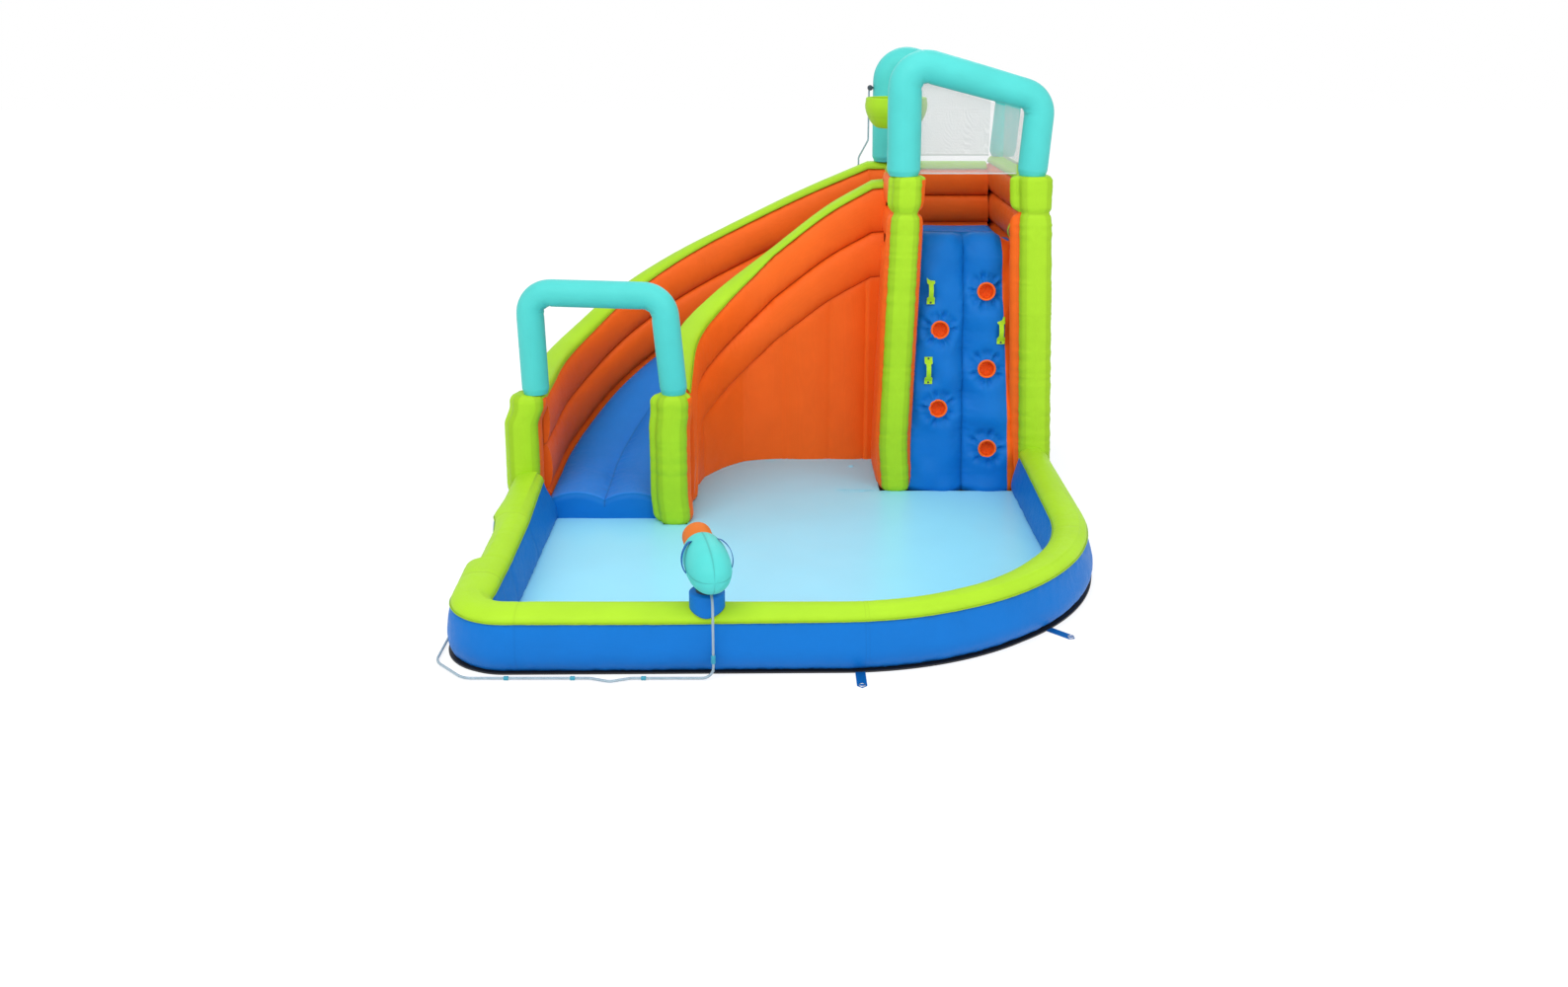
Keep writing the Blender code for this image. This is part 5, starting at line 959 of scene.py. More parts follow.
def netting(name, colour, cell=0.0026, cover=0.27):
    """Fine knitted net: threads in two directions with gaps that are seen through, and a hem."""
    material, tree, shader, place = new_material(name, 0.7)
    x, y, z = add_node(tree, "ShaderNodeSeparateXYZ", {"Vector": place}).outputs
    strands = []
    for value in (maths(tree, "ADD", x, y), z):
        step = maths(tree, "FRACT", maths(tree, "DIVIDE", value, cell))
        strands.append(maths(tree, "LESS_THAN", step, 1 - math.sqrt(1 - cover)))
    hem = maths(tree, "MULTIPLY", maths(tree, "LESS_THAN", attribute(tree, "seam"), NET_HEM), 0.8)
    inputs = {
        "Base Color": drift(tree, speckle(tree, place, 8.0, 3.0), colour, 0.95, 1.05),
        "Alpha": maths(tree, "MAXIMUM", maths(tree, "MAXIMUM", *strands), hem),
    }
    wire(tree, shader, inputs)
    return material


# Each finish: the frame's slot that it fills, how its material is made, its name, colour and roughness
FINISHES = {
    "lime": ("lime_fabric", fabric, "lime_fabric_cloth", "lime"),
    "orange": ("orange_fabric", fabric, "orange_fabric_cloth", "orange"),
    "teal": ("teal_fabric", fabric, "teal_fabric_cloth", "teal", 0.40),
    "blue": ("blue_fabric", fabric, "blue_fabric_cloth", "blue"),
    "bed": ("blue_fabric", fabric, "bed_fabric_cloth", "bed_blue", 0.42),
    "nozzle": ("nozzle_fabric", fabric, "nozzle_fabric_cloth", "nozzle"),
    "floor": ("floor_vinyl", vinyl, "floor_sheet", "floor"),
    "mat": ("mat_vinyl", vinyl, "mat_sheet", "mat", 0.5),
    "net": ("net_mesh", netting, "net_threads", "net"),
    "hose": ("clear_hose", clear_tube, "hose_wall"),
    "blower": ("orange_plastic", moulded, "blower_plastic", "blower", 0.36),
    "dark": ("dark_plastic", moulded, "dark_plastic_part", (0.03, 0.05, 0.07)),
    "teal_plastic": ("teal_plastic", moulded, "teal_plastic_part", (0.02, 0.30, 0.42)),
    "steel": ("metal", steel, "plain_steel"),
}
MATERIALS = {}


def look(finish):
    """The material of a finish, made when it is first asked for, and the slot that it fills."""
    slot, maker, name, *settings = FINISHES[finish]
    if finish not in MATERIALS:
        if settings and isinstance(settings[0], str):
            settings[0] = getattr(colours(), settings[0])
        MATERIALS[finish] = maker(name, *settings)
    return MATERIALS[finish], slot


def recolour(finish, *nodes):
    """Put a finish on frame nodes that keep their own shape."""
    for node in nodes:
        materials = NODES[node].data.materials
        materials.clear()
        materials.append(look(finish)[0])


# Pool and base


def footprint():
    """Outline of the park on the ground, with a margin, and tucked in where the pool wall's foot is."""
    tuck = np.interp(line_lengths(POOL_POINTS), *np.array(FOOT_TUCK).T)[:, None]
    reach = POOL_WALL_THICKNESS / 2 + MAT_MARGIN - MAT_TUCK * tuck
    pool = POOL_POINTS - plan_offsets(POOL_POINTS) * reach
    corner = np.array([(PARK_WIDTH / 2 + MAT_MARGIN, PARK_DEPTH / 2 + MAT_MARGIN)])
    bend = OUTER_POINTS[3 * FINE : -6 * FINE]
    bend = bend + plan_offsets(bend) * (FAR_FACE + MAT_MARGIN)
    return np.vstack((pool, corner, bend[::-1]))


def floor_outline():
    """Outline of the pool's floor, which goes a little under all that stands round it."""
    under = FLOOR_UNDER
    pool = POOL_POINTS + plan_offsets(POOL_POINTS) * (POOL_WALL_THICKNESS / 2 - POOL_BULGE - under)
    pool[0, 1] = EXIT_Y + under
    pool[-1, 1] = TOWER_FRONT_Y + under
    tower_x = left_wall_x(0.0, -1) + under
    wall = INNER_POINTS - plan_offsets(INNER_POINTS) * (FAR_FACE - sizes().seam_depth + 0.001)
    wall = wall[wall[:, 0] < tower_x][::-1]
    right = INNER_X + WALL_THICKNESS / 2 - under
    left = INNER_X - WALL_THICKNESS / 2 + under
    front = RIGHT_POST_FRONT_Y + under
    tail = [(tower_x, TOWER_FRONT_Y + under), (tower_x, wall[0, 1])]
    post = [(right, RIGHT_POST_FRONT_Y + POST_DEPTH), (right, front), (left, front), (left, EXIT_Y + under)]
    return np.vstack((pool, tail, wall, post))


def sheet_object(name, outline, low, thickness, wave, seed, cell):
    """A flat sheet cut to an outline, finely divided and slightly wavy on top."""
    bm = bmesh.new()
    bm.faces.new([bm.verts.new((x, y, 0.0)) for x, y in outline])
    bmesh.ops.triangulate(bm, faces=bm.faces)
    ends = zip(outline.min(axis=0), outline.max(axis=0))
    for axis, (start, end) in zip((Vector((1, 0, 0)), Vector((0, 1, 0))), ends):
        for value in np.arange(start + cell, end, cell):
            geometry = bm.verts[:] + bm.edges[:] + bm.faces[:]
            bmesh.ops.bisect_plane(bm, geom=geometry, plane_co=axis * value, plane_no=axis, dist=1e-6)
    bmesh.ops.remove_doubles(bm, verts=bm.verts, dist=1e-5)
    short = [edge for edge in bm.edges if not edge.is_boundary and edge.calc_length() < 0.002]
    bmesh.ops.dissolve_limit(bm, angle_limit=0.001, verts=[], edges=short)
    places = np.array([vertex.co[:2] for vertex in bm.verts])
    swell = noise(places, 0.32, seed) * 0.6 + noise(places, 0.11, seed + 1) * 0.4
    for vertex, rise in zip(bm.verts, swell):
        if not vertex.is_boundary:
            vertex.co.z += wave * (0.5 + 0.5 * rise)
    made = bmesh.ops.extrude_face_region(bm, geom=bm.faces[:])["geom"]
    for vertex in made:
        if isinstance(vertex, bmesh.types.BMVert):
            vertex.co.z = -thickness
    bmesh.ops.translate(bm, verts=bm.verts, vec=(0.0, 0.0, low + thickness))
    return mesh_object(name, mesh_of(bm, name))


def build_base_sheets():
    """Black base sheet and pale floor sheet."""
    for name, finish, node, outline, low, thickness, wave, seed, cell, under in (
        ("base_sheet", "mat", "base_mat", footprint(), 0.0, MAT_THICKNESS, 0.0, 3, 0.12, []),
        (
            "floor_sheet", "floor", "pool_floor", floor_outline(), BASE_Z, FLOOR_THICKNESS, 0.004, 5, 0.035,
            ["base_sheet"],
        ),
    ):
        sheet = dressed(sheet_object(name, outline, low, thickness, wave, seed, cell), finish, node)


def build_loops():
    """Blue webbing loops round the base, each with a pointed end and a metal eyelet."""
    root, neck, half = -LOOP_ROOT, LOOP_REACH - 0.018, LOOP_HALF
    outline = ((root, -half), (neck, -half), (LOOP_REACH, 0.0), (neck, half), (root, half))
    profile = ((0.0095, 0.0), (0.0098, 0.0014), (0.0120, 0.0024), (0.0155, 0.0012), (0.0158, 0.0))
    for number, (spot, (x, y)) in enumerate(LOOPS, 1):
        place = frame_at((*spot, 0.0), (x, y, 0.0), (-y, x, 0.0), (0.0, 0.0, 1.0))
        bm = bmesh.new()
        bm.faces.new([bm.verts.new((*corner, 0.0005)) for corner in outline])
        made = bmesh.ops.extrude_face_region(bm, geom=bm.faces[:])["geom"]
        moved = [item for item in made if isinstance(item, bmesh.types.BMVert)]
        bmesh.ops.translate(bm, verts=moved, vec=(0.0, 0.0, 0.0035))
        bm.transform(place)
        dressed(bevelled(mesh_object(f"anchor_loop_{number}", mesh_of(bm, "loop"), 30.0), 0.0008), "blue")
        eyelet = turned_grid(profile, place @ Matrix.Translation((LOOP_REACH - 0.0225, 0.0, 0.004)), 24)
        dressed(grid_object(f"loop_eyelet_{number}", eyelet, closed=True), "steel")


def slackened(parts, lengths):
    """The pool wall's section with its sides drawn in where it is slack, and its foot tucked under."""
    inside, outside, tuck = (
        np.interp(lengths, *np.array(knots).T)[:, None] for knots in (INSIDE_SLACK, OUTSIDE_SLACK, FOOT_TUCK)
    )
    changed = []
    for across, height, seam in parts:
        reach = 1.3 * across / (POOL_WALL_THICKNESS / 2)
        high = smoothstep((height - 0.03) / 0.2)
        foot = np.clip(1 - (height - BASE_Z) / 0.12, 0.0, 1.0) ** 2
        inner = inside * high * smoothstep(reach)
        outer = (outside * (0.3 + 0.7 * high) + tuck * foot) * smoothstep(-reach)
        changed.append((across - inner + outer, height, seam))
    return changed


def build_pool_wall():
    """The inflated wall round the pool and the lime band on its crown."""
    rows = len(POOL_POINTS)
    lengths = line_lengths(POOL_POINTS)
    half = POOL_WALL_THICKNESS / 2
    core = half - POOL_BULGE
    face = roll_part(half, POOL_BULGE, BASE_Z, POOL_TOP - BAND_DROP, rows, 22, power=2.0)
    wall = wall_parts([face], [face], core, core, POOL_TOP, rows, BAND_DROP, 24)
    band = band_parts(core, core, POOL_TOP, BAND_DROP, rows)
    for node, finish, parts, seed, depth, fill in (
        ("pool_wall", "blue", wall, 11, 1.0, 0.95),
        ("pool_band", "lime", band, 12, 0.45, 0.9),
    ):
        grid, seam, along = swept(POOL_POINTS, slackened(parts, lengths))
        for place in POOL_SEAMS:
            seam = np.minimum(seam, np.abs(along - place) + 0.002)
        add_cloth(node, finish, puckered(grid, seam, along, seed, depth), seam, along, fill)


# Slide


def build_slide_bed():
    """The slide's bed: two lengthwise rolls with a crease between them, rounded off at the lip."""
    lip = np.linspace(0.0, LIP_LENGTH, 8)[:-1]
    keep = BED_OUTER[:, 1] > EXIT_Y + LIP_LENGTH
    keep[LIP_ROWS:] = True
    outer, inner = (started(edge, lip, keep) for edge in (BED_OUTER, BED_INNER))
    heights = np.concatenate((np.full(len(lip), EXIT_HEIGHT), BED_HEIGHTS[keep]))
    bottom = np.maximum(BASE_Z, heights - BED_CROWN - BED_THICKNESS)
    drops = np.zeros(len(heights))
    drops[: len(lip)] = LIP_DROP * (1.0 - np.sqrt(1.0 - (1.0 - lip / LIP_LENGTH) ** 2))
    share = np.linspace(0.0, 1.0, 49)
    wave = np.abs(np.sin(2 * np.pi * share)) ** 0.75
    plan = outer[:, None] + (inner - outer)[:, None] * share[:, None]
    top = np.dstack((plan, (heights - drops)[:, None] - BED_CROWN * (1 - wave)))
    under = np.stack((np.column_stack((inner, bottom)), np.column_stack((outer, bottom))), axis=1)
    grid = lean_end(np.hstack((top, under)), 1)
    seam = slab_seams(crease_seams(share[None]) * np.linalg.norm(inner - outer, axis=1)[:, None])
    along = line_lengths((outer + inner) / 2)[:, None]
    moved = puckered(grid, seam, along, 21, 1.15, (SLAB_EDGES, 0))
    bed = add_cloth("slide_bed", "bed", moved, seam, along, 0.9)
    # The lip's front faces take the darker wall blue: painted shade on the front of the same bed fabric.
    trim(bed, "blue", lambda face: face.center.y < EXIT_Y + 0.6 * LIP_LENGTH)


def panel_channels(points):
    """How far the slack panel swells between its faint seams at each station, and how near a seam is."""
    lengths = line_lengths(points)
    seams = np.interp(PANEL_SEAMS, points[30:, 0], lengths[30:])
    number = np.clip(np.searchsorted(seams, lengths) - 1, 0, len(seams) - 2)
    width = seams[number + 1] - seams[number]
    share = np.clip((lengths - seams[number]) / width, 0.0, 1.0)
    return np.sin(np.pi * share) ** 0.7, np.minimum(share, 1 - share) * width


def pool_face_parts(crest, points):
    """Face of the inner wall toward the pool: two rolls that turn down beside the post, and a slack panel."""
    rows = len(points)
    lengths = line_lengths(points)
    depth = sizes().seam_depth
    back = FAR_FACE - depth
    top = crest - CREST_DROP
    rolls = np.minimum(ROLL_HEIGHT, (top - BASE_Z) / 2.6)
    first = BASE_Z + 0.004 + (top - rolls - BASE_Z) * smoothstep((lengths - 0.15) / 0.24)
    second = BASE_Z + 0.002 + (top - 2 * rolls - BASE_Z) * smoothstep((lengths - 0.30) / 0.30)
    tall = (second - BASE_Z)[:, None]
    share = crowded_shares(30)
    ends = np.clip((1 - share) * tall / 0.05, 0.0, 1.0) ** 0.5
    swell, channel_seam = panel_channels(points)
    near = np.minimum(np.minimum(share, 1 - share) * tall, channel_seam[:, None]) + 0.012
    panel = (back + 0.002 + PANEL_SWELL * swell[:, None] * ends, BASE_Z + tall * share, near)
    fade = np.clip((first - second)[:, None] / 0.12, 0.0, 1.0)
    across, height, seam = roll_part(FAR_FACE, depth, second, first, rows)
    lower = (back + (across - back) * fade, height, seam)
    return [panel, lower, roll_part(FAR_FACE, depth, first, top, rows)]


def build_inner_wall():
    """The wall between the slide and the pool with the lime band on its crest."""
    rows = len(INNER_POINTS)
    crest, edge = crests(INNER_SIDE_HEIGHTS)
    faces = pool_face_parts(crest, INNER_POINTS), inner_parts(CHANNEL_FACE, edge, crest, rows)
    grid, seam, along = swept(INNER_POINTS, wall_parts(*faces, FAR_CORE, CHANNEL_CORE, crest, rows))
    grid = lean_end(puckered(grid, seam, along, 31))
    grid[-1, :, 0] += 0.02
    add_cloth("inner_wall", "orange", grid, seam, along, 0.95)
    grid, seam, along = swept(INNER_POINTS, band_parts(FAR_CORE, CHANNEL_CORE, crest, CREST_DROP, rows))
    grid = lean_end(puckered(grid, seam, along, 32, 0.35))
    add_cloth("inner_wall_band", "lime", grid, seam, along, 0.9)


def build_outer_wall():
    """The wall on the slide's yard side, and its lime band that goes on along the tower's back."""
    rows = len(OUTER_POINTS)
    crest, edge = crests(OUTER_SIDE_HEIGHTS)
    faces = inner_parts(CHANNEL_FACE, edge, crest, rows), yard_parts(FAR_FACE, crest, rows)
    grid, seam, along = swept(OUTER_POINTS, wall_parts(*faces, CHANNEL_CORE, FAR_CORE, crest, rows))
    add_cloth("outer_wall", "orange", puckered(grid, seam, along, 41), seam, along, 0.95)

    grid, seam, along = swept(OUTER_POINTS, band_parts(CHANNEL_CORE, FAR_CORE, crest, CREST_DROP, rows))
    back_rows = 50
    shares = np.linspace(0.0, 1.0, back_rows + 1)[1:]
    back = joined(band_parts(CHANNEL_CORE, FAR_CORE, BACK_WALL_HEIGHT, CREST_DROP, 1))
    across, height, _ = (layer[0] for layer in back)
    last = np.stack((right_wall_x(height, -1) - BAND_THICKNESS, OUTER_Y + across, height), axis=1)
    grid = np.vstack((grid, grid[-1] + (last - grid[-1]) * shares[:, None, None]))
    seam = np.vstack((seam, np.repeat(seam[-1:], back_rows, axis=0)))
    along = np.vstack((along, along[-1] + shares[:, None] * (last[:, 0].mean() - WALL_END_X)))
    add_cloth("outer_wall_band", "lime", puckered(grid, seam, along, 42, 0.35), seam, along, 0.9)


def skin_line(crest, face):
    """Across, height and seam distance of the skin's outer side, from its top edge to the ground."""
    top = crest - CREST_DROP
    seam = top - min(ROLL_HEIGHT, (top - BASE_Z) / 2)
    tall = roll_part(face, GROOVE_DEPTH, BASE_Z, seam, 1, 34)
    short = roll_part(face, GROOVE_DEPTH, seam, top, 1, 18)
    return [layer[0] for layer in downward([tall, short])]


def build_outer_skin():
    """The blue skin that goes round the slide's yard side, the tower's back and its right side."""
    rows, seams = [], []
    end_x = OUTER_POINTS[-1, 0]
    half = RIGHT_WALL_WIDTH / 2
    front = TOWER_FRONT_Y + TOWER_POST_DEPTH + GAP
    back = OUTER_Y + FAR_FACE - SKIN_BEND

    def add_row(crest, plan, face=FAR_FACE):
        """Add a ring: down the skin's outer side and up its inner one."""
        across, height, near = skin_line(crest, face)
        outer, inner = (
            np.stack(np.broadcast_arrays(*plan(across + gap, height), height), axis=1)
            for gap in (SKIN_GAP + SKIN_THICKNESS, SKIN_GAP)
        )
        rows.append(np.vstack((outer, inner[::-1])))
        seams.append(np.concatenate((near, np.full(len(near), NO_SEAM))))

    crest, _ = crests(OUTER_SIDE_HEIGHTS)
    for point, offset, height in zip(OUTER_POINTS, plan_offsets(OUTER_POINTS), crest):
        add_row(height, lambda a, z: (point[0] + offset[0] * a, point[1] + offset[1] * a))
    for share in np.arange(1, 61) / 60:
        add_row(
            BACK_WALL_HEIGHT,
            lambda a, z: (end_x + (right_wall_x(z, -1) + SKIN_GAP - end_x) * share, OUTER_Y + a),
        )
    for share in np.arange(1, 9) / 8:
        add_row(
            BACK_WALL_HEIGHT + (TOWER_HEIGHT - BACK_WALL_HEIGHT) * share,
            lambda a, z: (right_wall_x(z, -1) + half * share, OUTER_Y + a),
        )
    for angle in math.pi / 2 * np.arange(1, 9) / 8:
        add_row(
            TOWER_HEIGHT,
            lambda a, z: (
                right_wall_x(z, 0) + (a - FAR_FACE + half) - SKIN_BEND + SKIN_BEND * math.sin(angle),
                OUTER_Y + a - SKIN_BEND + SKIN_BEND * math.cos(angle),
            ),
        )
    for share in np.arange(1, 73) / 72:
        add_row(TOWER_HEIGHT, lambda a, z: (right_wall_x(z, 0) + a, back + (front - back) * share), half)
    grid = np.stack(rows)
    seam = np.stack(seams)
    along = line_lengths(grid[:, 40, :2])[:, None]
    add_cloth("outer_skin", "blue", puckered(grid, seam, along, 51, 0.8), seam, along, 0.9)


# Posts


def post_grid(centre_at, size, block, high, rounding, bulges):
    """An inflated post: rounded rings that draw in at seams and ends, with sides fuller than the front."""
    heights = np.linspace(BASE_Z, high, int((high - BASE_Z) / 0.010) + 1)
    near = np.full(len(heights), 1.0)
    if block:
        near = np.minimum(near, np.abs(heights - block))
    pinch = 0.016 * np.exp(-((near / POST_PINCH_REACH) ** 1.2))
    for end, draw, reach in ((BASE_Z, POST_DRAW, 0.06), (high, *rounding)):
        gone = np.clip(1 - np.abs(heights - end) / reach, 0.0, 1.0)
        pinch = np.maximum(pinch, draw * (1 - np.sqrt(1 - gone**2)))
    share = np.concatenate((np.zeros(7), np.arange(1, 14) / 14))
    angle = np.concatenate((np.linspace(0.0, 90.0, 7), np.full(13, 90.0))) + 90.0 * np.arange(4)[:, None]
    angle = np.radians(angle)
    outward = np.stack((np.cos(angle), np.sin(angle)), axis=2)
    quarters = np.array(((1, 1), (-1, 1), (-1, -1), (1, -1)))
    middles = quarters * (np.array(size) / 2 - pinch[:, None, None] - POST_CORNER)
    step = np.roll(middles, -1, axis=1) - middles
    full = np.array((0.0, bulges[0], 0.0, bulges[1])) * np.maximum(0.2, 1 - pinch / POST_DRAW)[:, None]
    full[:, ::2] = 0.005
    swell = full[..., None] * np.sin(np.pi * share) ** 0.8
    rings = middles[:, :, None] + step[:, :, None] * share[:, None]
    rings = rings + outward * (POST_CORNER + swell)[..., None]
    rings = rings.reshape(len(heights), -1, 2) + np.array([centre_at(height) for height in heights])[:, None]
    tall = heights[:, None]
    seam = np.minimum(near[:, None], np.tile(np.minimum(share, 1 - share) * 0.1, 4) + 0.004)
    return np.dstack((rings, tall + 0.0 * seam)), seam, tall


def add_post(name, centre_at, size, high, rounding, bulges, seed, orange_sides, block=None):
    """A lime post whose named sides, -1 left and 1 right, are orange below its block."""
    grid, seam, along = post_grid(centre_at, size, block, high, rounding, bulges)
    post = add_cloth(name, "lime", puckered(grid, seam, along, seed, 0.9, (ENDS,)), seam, along, 0.95)
    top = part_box(name)[1].z - 0.025
    count = (len(grid) - 1) * POST_COLUMNS

    def is_orange(face):
        """Whether a face is on one of the sides and low enough."""
        place = face.index % POST_COLUMNS / POST_COLUMNS
        side = -1 if 0.29 < place < 0.50 else 1 if place > 0.82 or place < 0.04 else 0
        limit = block if block and side < 0 else top
        return face.index < count and side in orange_sides and face.center.z < limit

    trim(post, "orange", is_orange)


def build_slide_posts():
    """The two posts at the slide's exit and the turquoise arch that stands on them."""
    for name, x, front, top, seed, slack, bulges in (
        ("slide_post_left", OUTER_X, EXIT_Y, LEFT_POST_HEIGHT, 61, 0.045, (0.024, 0.012)),
        ("slide_post_right", INNER_X, RIGHT_POST_FRONT_Y, RIGHT_POST_HEIGHT, 62, 0.014, (0.040, 0.016)),
    ):

        def centre_at(z):
            """Middle of the post, which is drawn to the left above its foot."""
            lean = slack * smoothstep((z - 0.04) / 0.16) * (1 - 0.8 * smoothstep((z - 0.56) / 0.12))
            return np.array((x - lean, front + POST_DEPTH / 2))

        add_post(name, centre_at, (WALL_THICKNESS, POST_DEPTH), top, (0.022, 0.05), bulges, seed, (1,))
    left_y, right_y = EXIT_Y + POST_DEPTH / 2, RIGHT_POST_FRONT_Y + POST_DEPTH / 2
    feet = (
        (OUTER_X + SLIDE_ARCH_SHIFT, left_y, LEFT_POST_HEIGHT + GAP),
        (INNER_X, right_y, RIGHT_POST_HEIGHT + GAP),
    )
    shoulders = (
        (SLIDE_ARCH_LEFT_SHOULDER_X, left_y, SLIDE_ARCH_BAR_HEIGHT),
        (SLIDE_ARCH_RIGHT_SHOULDER_X, right_y, SLIDE_ARCH_BAR_HEIGHT),
    )
    add_arch("slide_arch", feet, shoulders, SLIDE_ARCH_RADIUS, SLIDE_ARCH_RADIUS, 65)


def arch_route(feet, shoulders, steps=12):
    """Middle line of an arch: level feet, two legs, two bends and the bar between them."""
    left, right = (Vector(foot) for foot in feet)
    rise = Vector((0.0, 0.0, ARCH_FOOT_RISE))
    corners = [left + rise, *(Vector(shoulder) for shoulder in shoulders), right + rise]
    route = [left, corners[0]]
    for before, corner, after in zip(corners, corners[1:], corners[2:]):
        back = (before - corner).normalized()
        ahead = (after - corner).normalized()
        half = back.angle(ahead) / 2
        centre = corner + (back + ahead).normalized() * ARCH_BEND / math.sin(half)
        cut = ARCH_BEND / math.tan(half)
        first, last = ((corner + way * cut - centre).normalized() for way in (back, ahead))
        route += [centre + first.slerp(last, step / steps) * ARCH_BEND for step in range(steps + 1)]
    return np.array([tuple(point) for point in [*route, corners[-1], right]])


def add_arch(name, feet, shoulders, radius, thin_radius, seed):
    """An inflated arch with gathered folds on the inside of its bends."""
    route = arch_route(feet, shoulders)
    reached = line_lengths(route)
    lengths = np.linspace(0.0, reached[-1], int(round(reached[-1] / 0.008)) + 1)
    points = np.stack([np.interp(lengths, reached, values) for values in route.T], axis=1)
    for _ in range(6):
        points[1:-1] = 0.25 * points[:-2] + 0.5 * points[1:-1] + 0.25 * points[2:]
    ahead = unit(np.gradient(points, axis=0))
    turn = np.gradient(ahead, axis=0)
    turning = np.linalg.norm(turn, axis=1)
    bending = smoothstep(turning / turning[3:-3].max() * 1.6)
    shift = (points[:, 0] - points[0, 0]) / (points[-1, 0] - points[0, 0])
    radii = radius + (thin_radius - radius) * np.clip(shift, 0.0, 1.0)
    end_gap = np.minimum(lengths, lengths[-1] - lengths)
    radii = radii * (1 - (1 - ARCH_FOOT_SHARE) * np.clip(1 - end_gap / ARCH_FOOT_RISE, 0.0, 1.0))
    grid = tube_grid(points, radii, ARCH_SIDES)
    inward = turn / np.maximum(turning[:, None], 1e-9)
    normals = (grid - points[:, None]) / radii[:, None, None]
    inside = np.clip((normals * inward[:, None]).sum(axis=2), 0.0, 1.0)
    around = circle_angles(ARCH_SIDES)[None] * radius + 0.0 * inside
    fold = np.abs(noise(np.stack((lengths[:, None] + 0.0 * around, around * 0.3), axis=2), 0.016, seed))
    grid -= normals * (0.006 * fold * inside**1.5 * bending[:, None])[..., None]
    # The feet sit near a seam distance of zero, so the fabric paints shade where the arch meets its posts.
    seam = end_gap[:, None] + 0.004
    add_cloth(name, "teal", puckered(grid, seam, around, seed, 0.4, (ENDS,)), seam, around, 1.0)


# Tower


def build_side_wall(label, wall_x, width, back, seed):
    """A side wall of the tower, whose outline leans with its height, and its lime band."""
    rows = TOWER_ROWS
    face = width / 2
    core = face - GROOVE_DEPTH
    front = TOWER_FRONT_Y + TOWER_POST_DEPTH + GAP
    inside = inner_parts(face, PLATFORM_HEIGHT, TOWER_HEIGHT, rows, *PLATFORM_JOIN)
    outside = yard_parts(face, TOWER_HEIGHT, rows) if label == "right" else inside

    def laid_out(parts):
        """The grid of a section from the wall's front to its back."""
        across, height, seam = joined(parts)
        y = np.linspace(front, back, rows)[:, None] + 0.0 * height
        return np.stack((wall_x(height, 0) + across, y, height), axis=2), seam, y - front

    grid, seam, along = laid_out(wall_parts(inside, outside, core, core, TOWER_HEIGHT, rows))
    if label == "left":
        depth = INNER_Y - FAR_FACE - front
        reach = (grid[..., 1] - front) / depth
        low = np.clip((grid[..., 2] - BASE_Z) / 0.08, 0.0, 1.0)
        outward = grid[..., 0] < wall_x(grid[..., 2], 0) - 0.5 * face
        tall = outward & (grid[..., 2] < PLATFORM_HEIGHT)
        grid[..., 0] -= np.where(tall, 0.022 * swelling(reach) * low - 0.010, 0.0)
        seam = np.where(tall, np.minimum(reach, np.abs(1 - reach)) * depth, seam)
    moved = puckered(grid, seam, along, seed, held=(np.s_[[0, -1], :, 1],))
    moved[..., 2] = np.maximum(moved[..., 2], BASE_Z)
    if label == "right":
        outward = smoothstep((moved[..., 0] - wall_x(moved[..., 2], 0)) / face)
        near_back = smoothstep(1 - (back - moved[..., 1]) / 0.12)
        near_front = smoothstep(1 - (moved[..., 1] - front) / 0.08)
        moved[..., 0] -= outward * (0.035 * near_back + 0.028 * near_front)
        moved[..., 1] -= 0.012 * near_back
    wall = add_cloth(f"tower_wall_{label}", "orange", moved, seam, along, 0.95)
    high = TOWER_HEIGHT - CREST_DROP - 0.02
    trim(wall, "lime", lambda end: end.center.y > back - 0.03 and end.center.z > high)
    band = laid_out(band_parts(core, core, TOWER_HEIGHT, CREST_DROP, rows))
    add_cloth(f"tower_band_{label}", "lime", *band, 0.9)


def build_tower_walls():
    """Left, right and back walls of the tower with the lime bands on the side walls."""
    build_side_wall("left", left_wall_x, LEFT_WALL_WIDTH, INNER_Y + CHANNEL_FACE, 71)
    build_side_wall("right", right_wall_x, RIGHT_WALL_WIDTH, TOWER_BACK_Y, 73)
    rows, crest = TOWER_ROWS, BACK_WALL_HEIGHT
    inside = inner_parts(CHANNEL_FACE, PLATFORM_HEIGHT, crest, rows, *PLATFORM_JOIN)
    faces = inside, yard_parts(FAR_FACE, crest, rows)
    across, height, seam = joined(wall_parts(*faces, CHANNEL_CORE, FAR_CORE, crest, rows))
    start = WALL_END_X + GAP
    x = start + (right_wall_x(height, -1) - GAP - start) * np.linspace(0.0, 1.0, rows)[:, None]
    grid = np.stack((x, OUTER_Y + across, height), axis=2)
    along = x - WALL_END_X
    add_cloth("tower_wall_back", "orange", puckered(grid, seam, along, 75, held=(ENDS,)), seam, along, 0.95)


def build_tower_posts():
    """The tall posts on the tower's front, each with a separate block of roll at its top."""
    y = TOWER_FRONT_Y + TOWER_POST_DEPTH / 2
    for name, wall_x, width, seed, bulges, orange_sides, foot in (
        ("tower_post_left", left_wall_x, LEFT_WALL_WIDTH, 81, (0.020, 0.024), (-1, 1), 0.028),
        ("tower_post_right", right_wall_x, RIGHT_WALL_WIDTH, 82, (0.046, 0.004), (-1,), 0.0),
    ):
        size = (width, TOWER_POST_DEPTH)
        add_post(
            name, lambda z: np.array((wall_x(z, 0) + foot * (1 - smoothstep(z / 0.35)), y)), size,
            TOWER_HEIGHT, (0.012, 0.03), bulges, seed, orange_sides, TOWER_BLOCK_HEIGHT,
        )


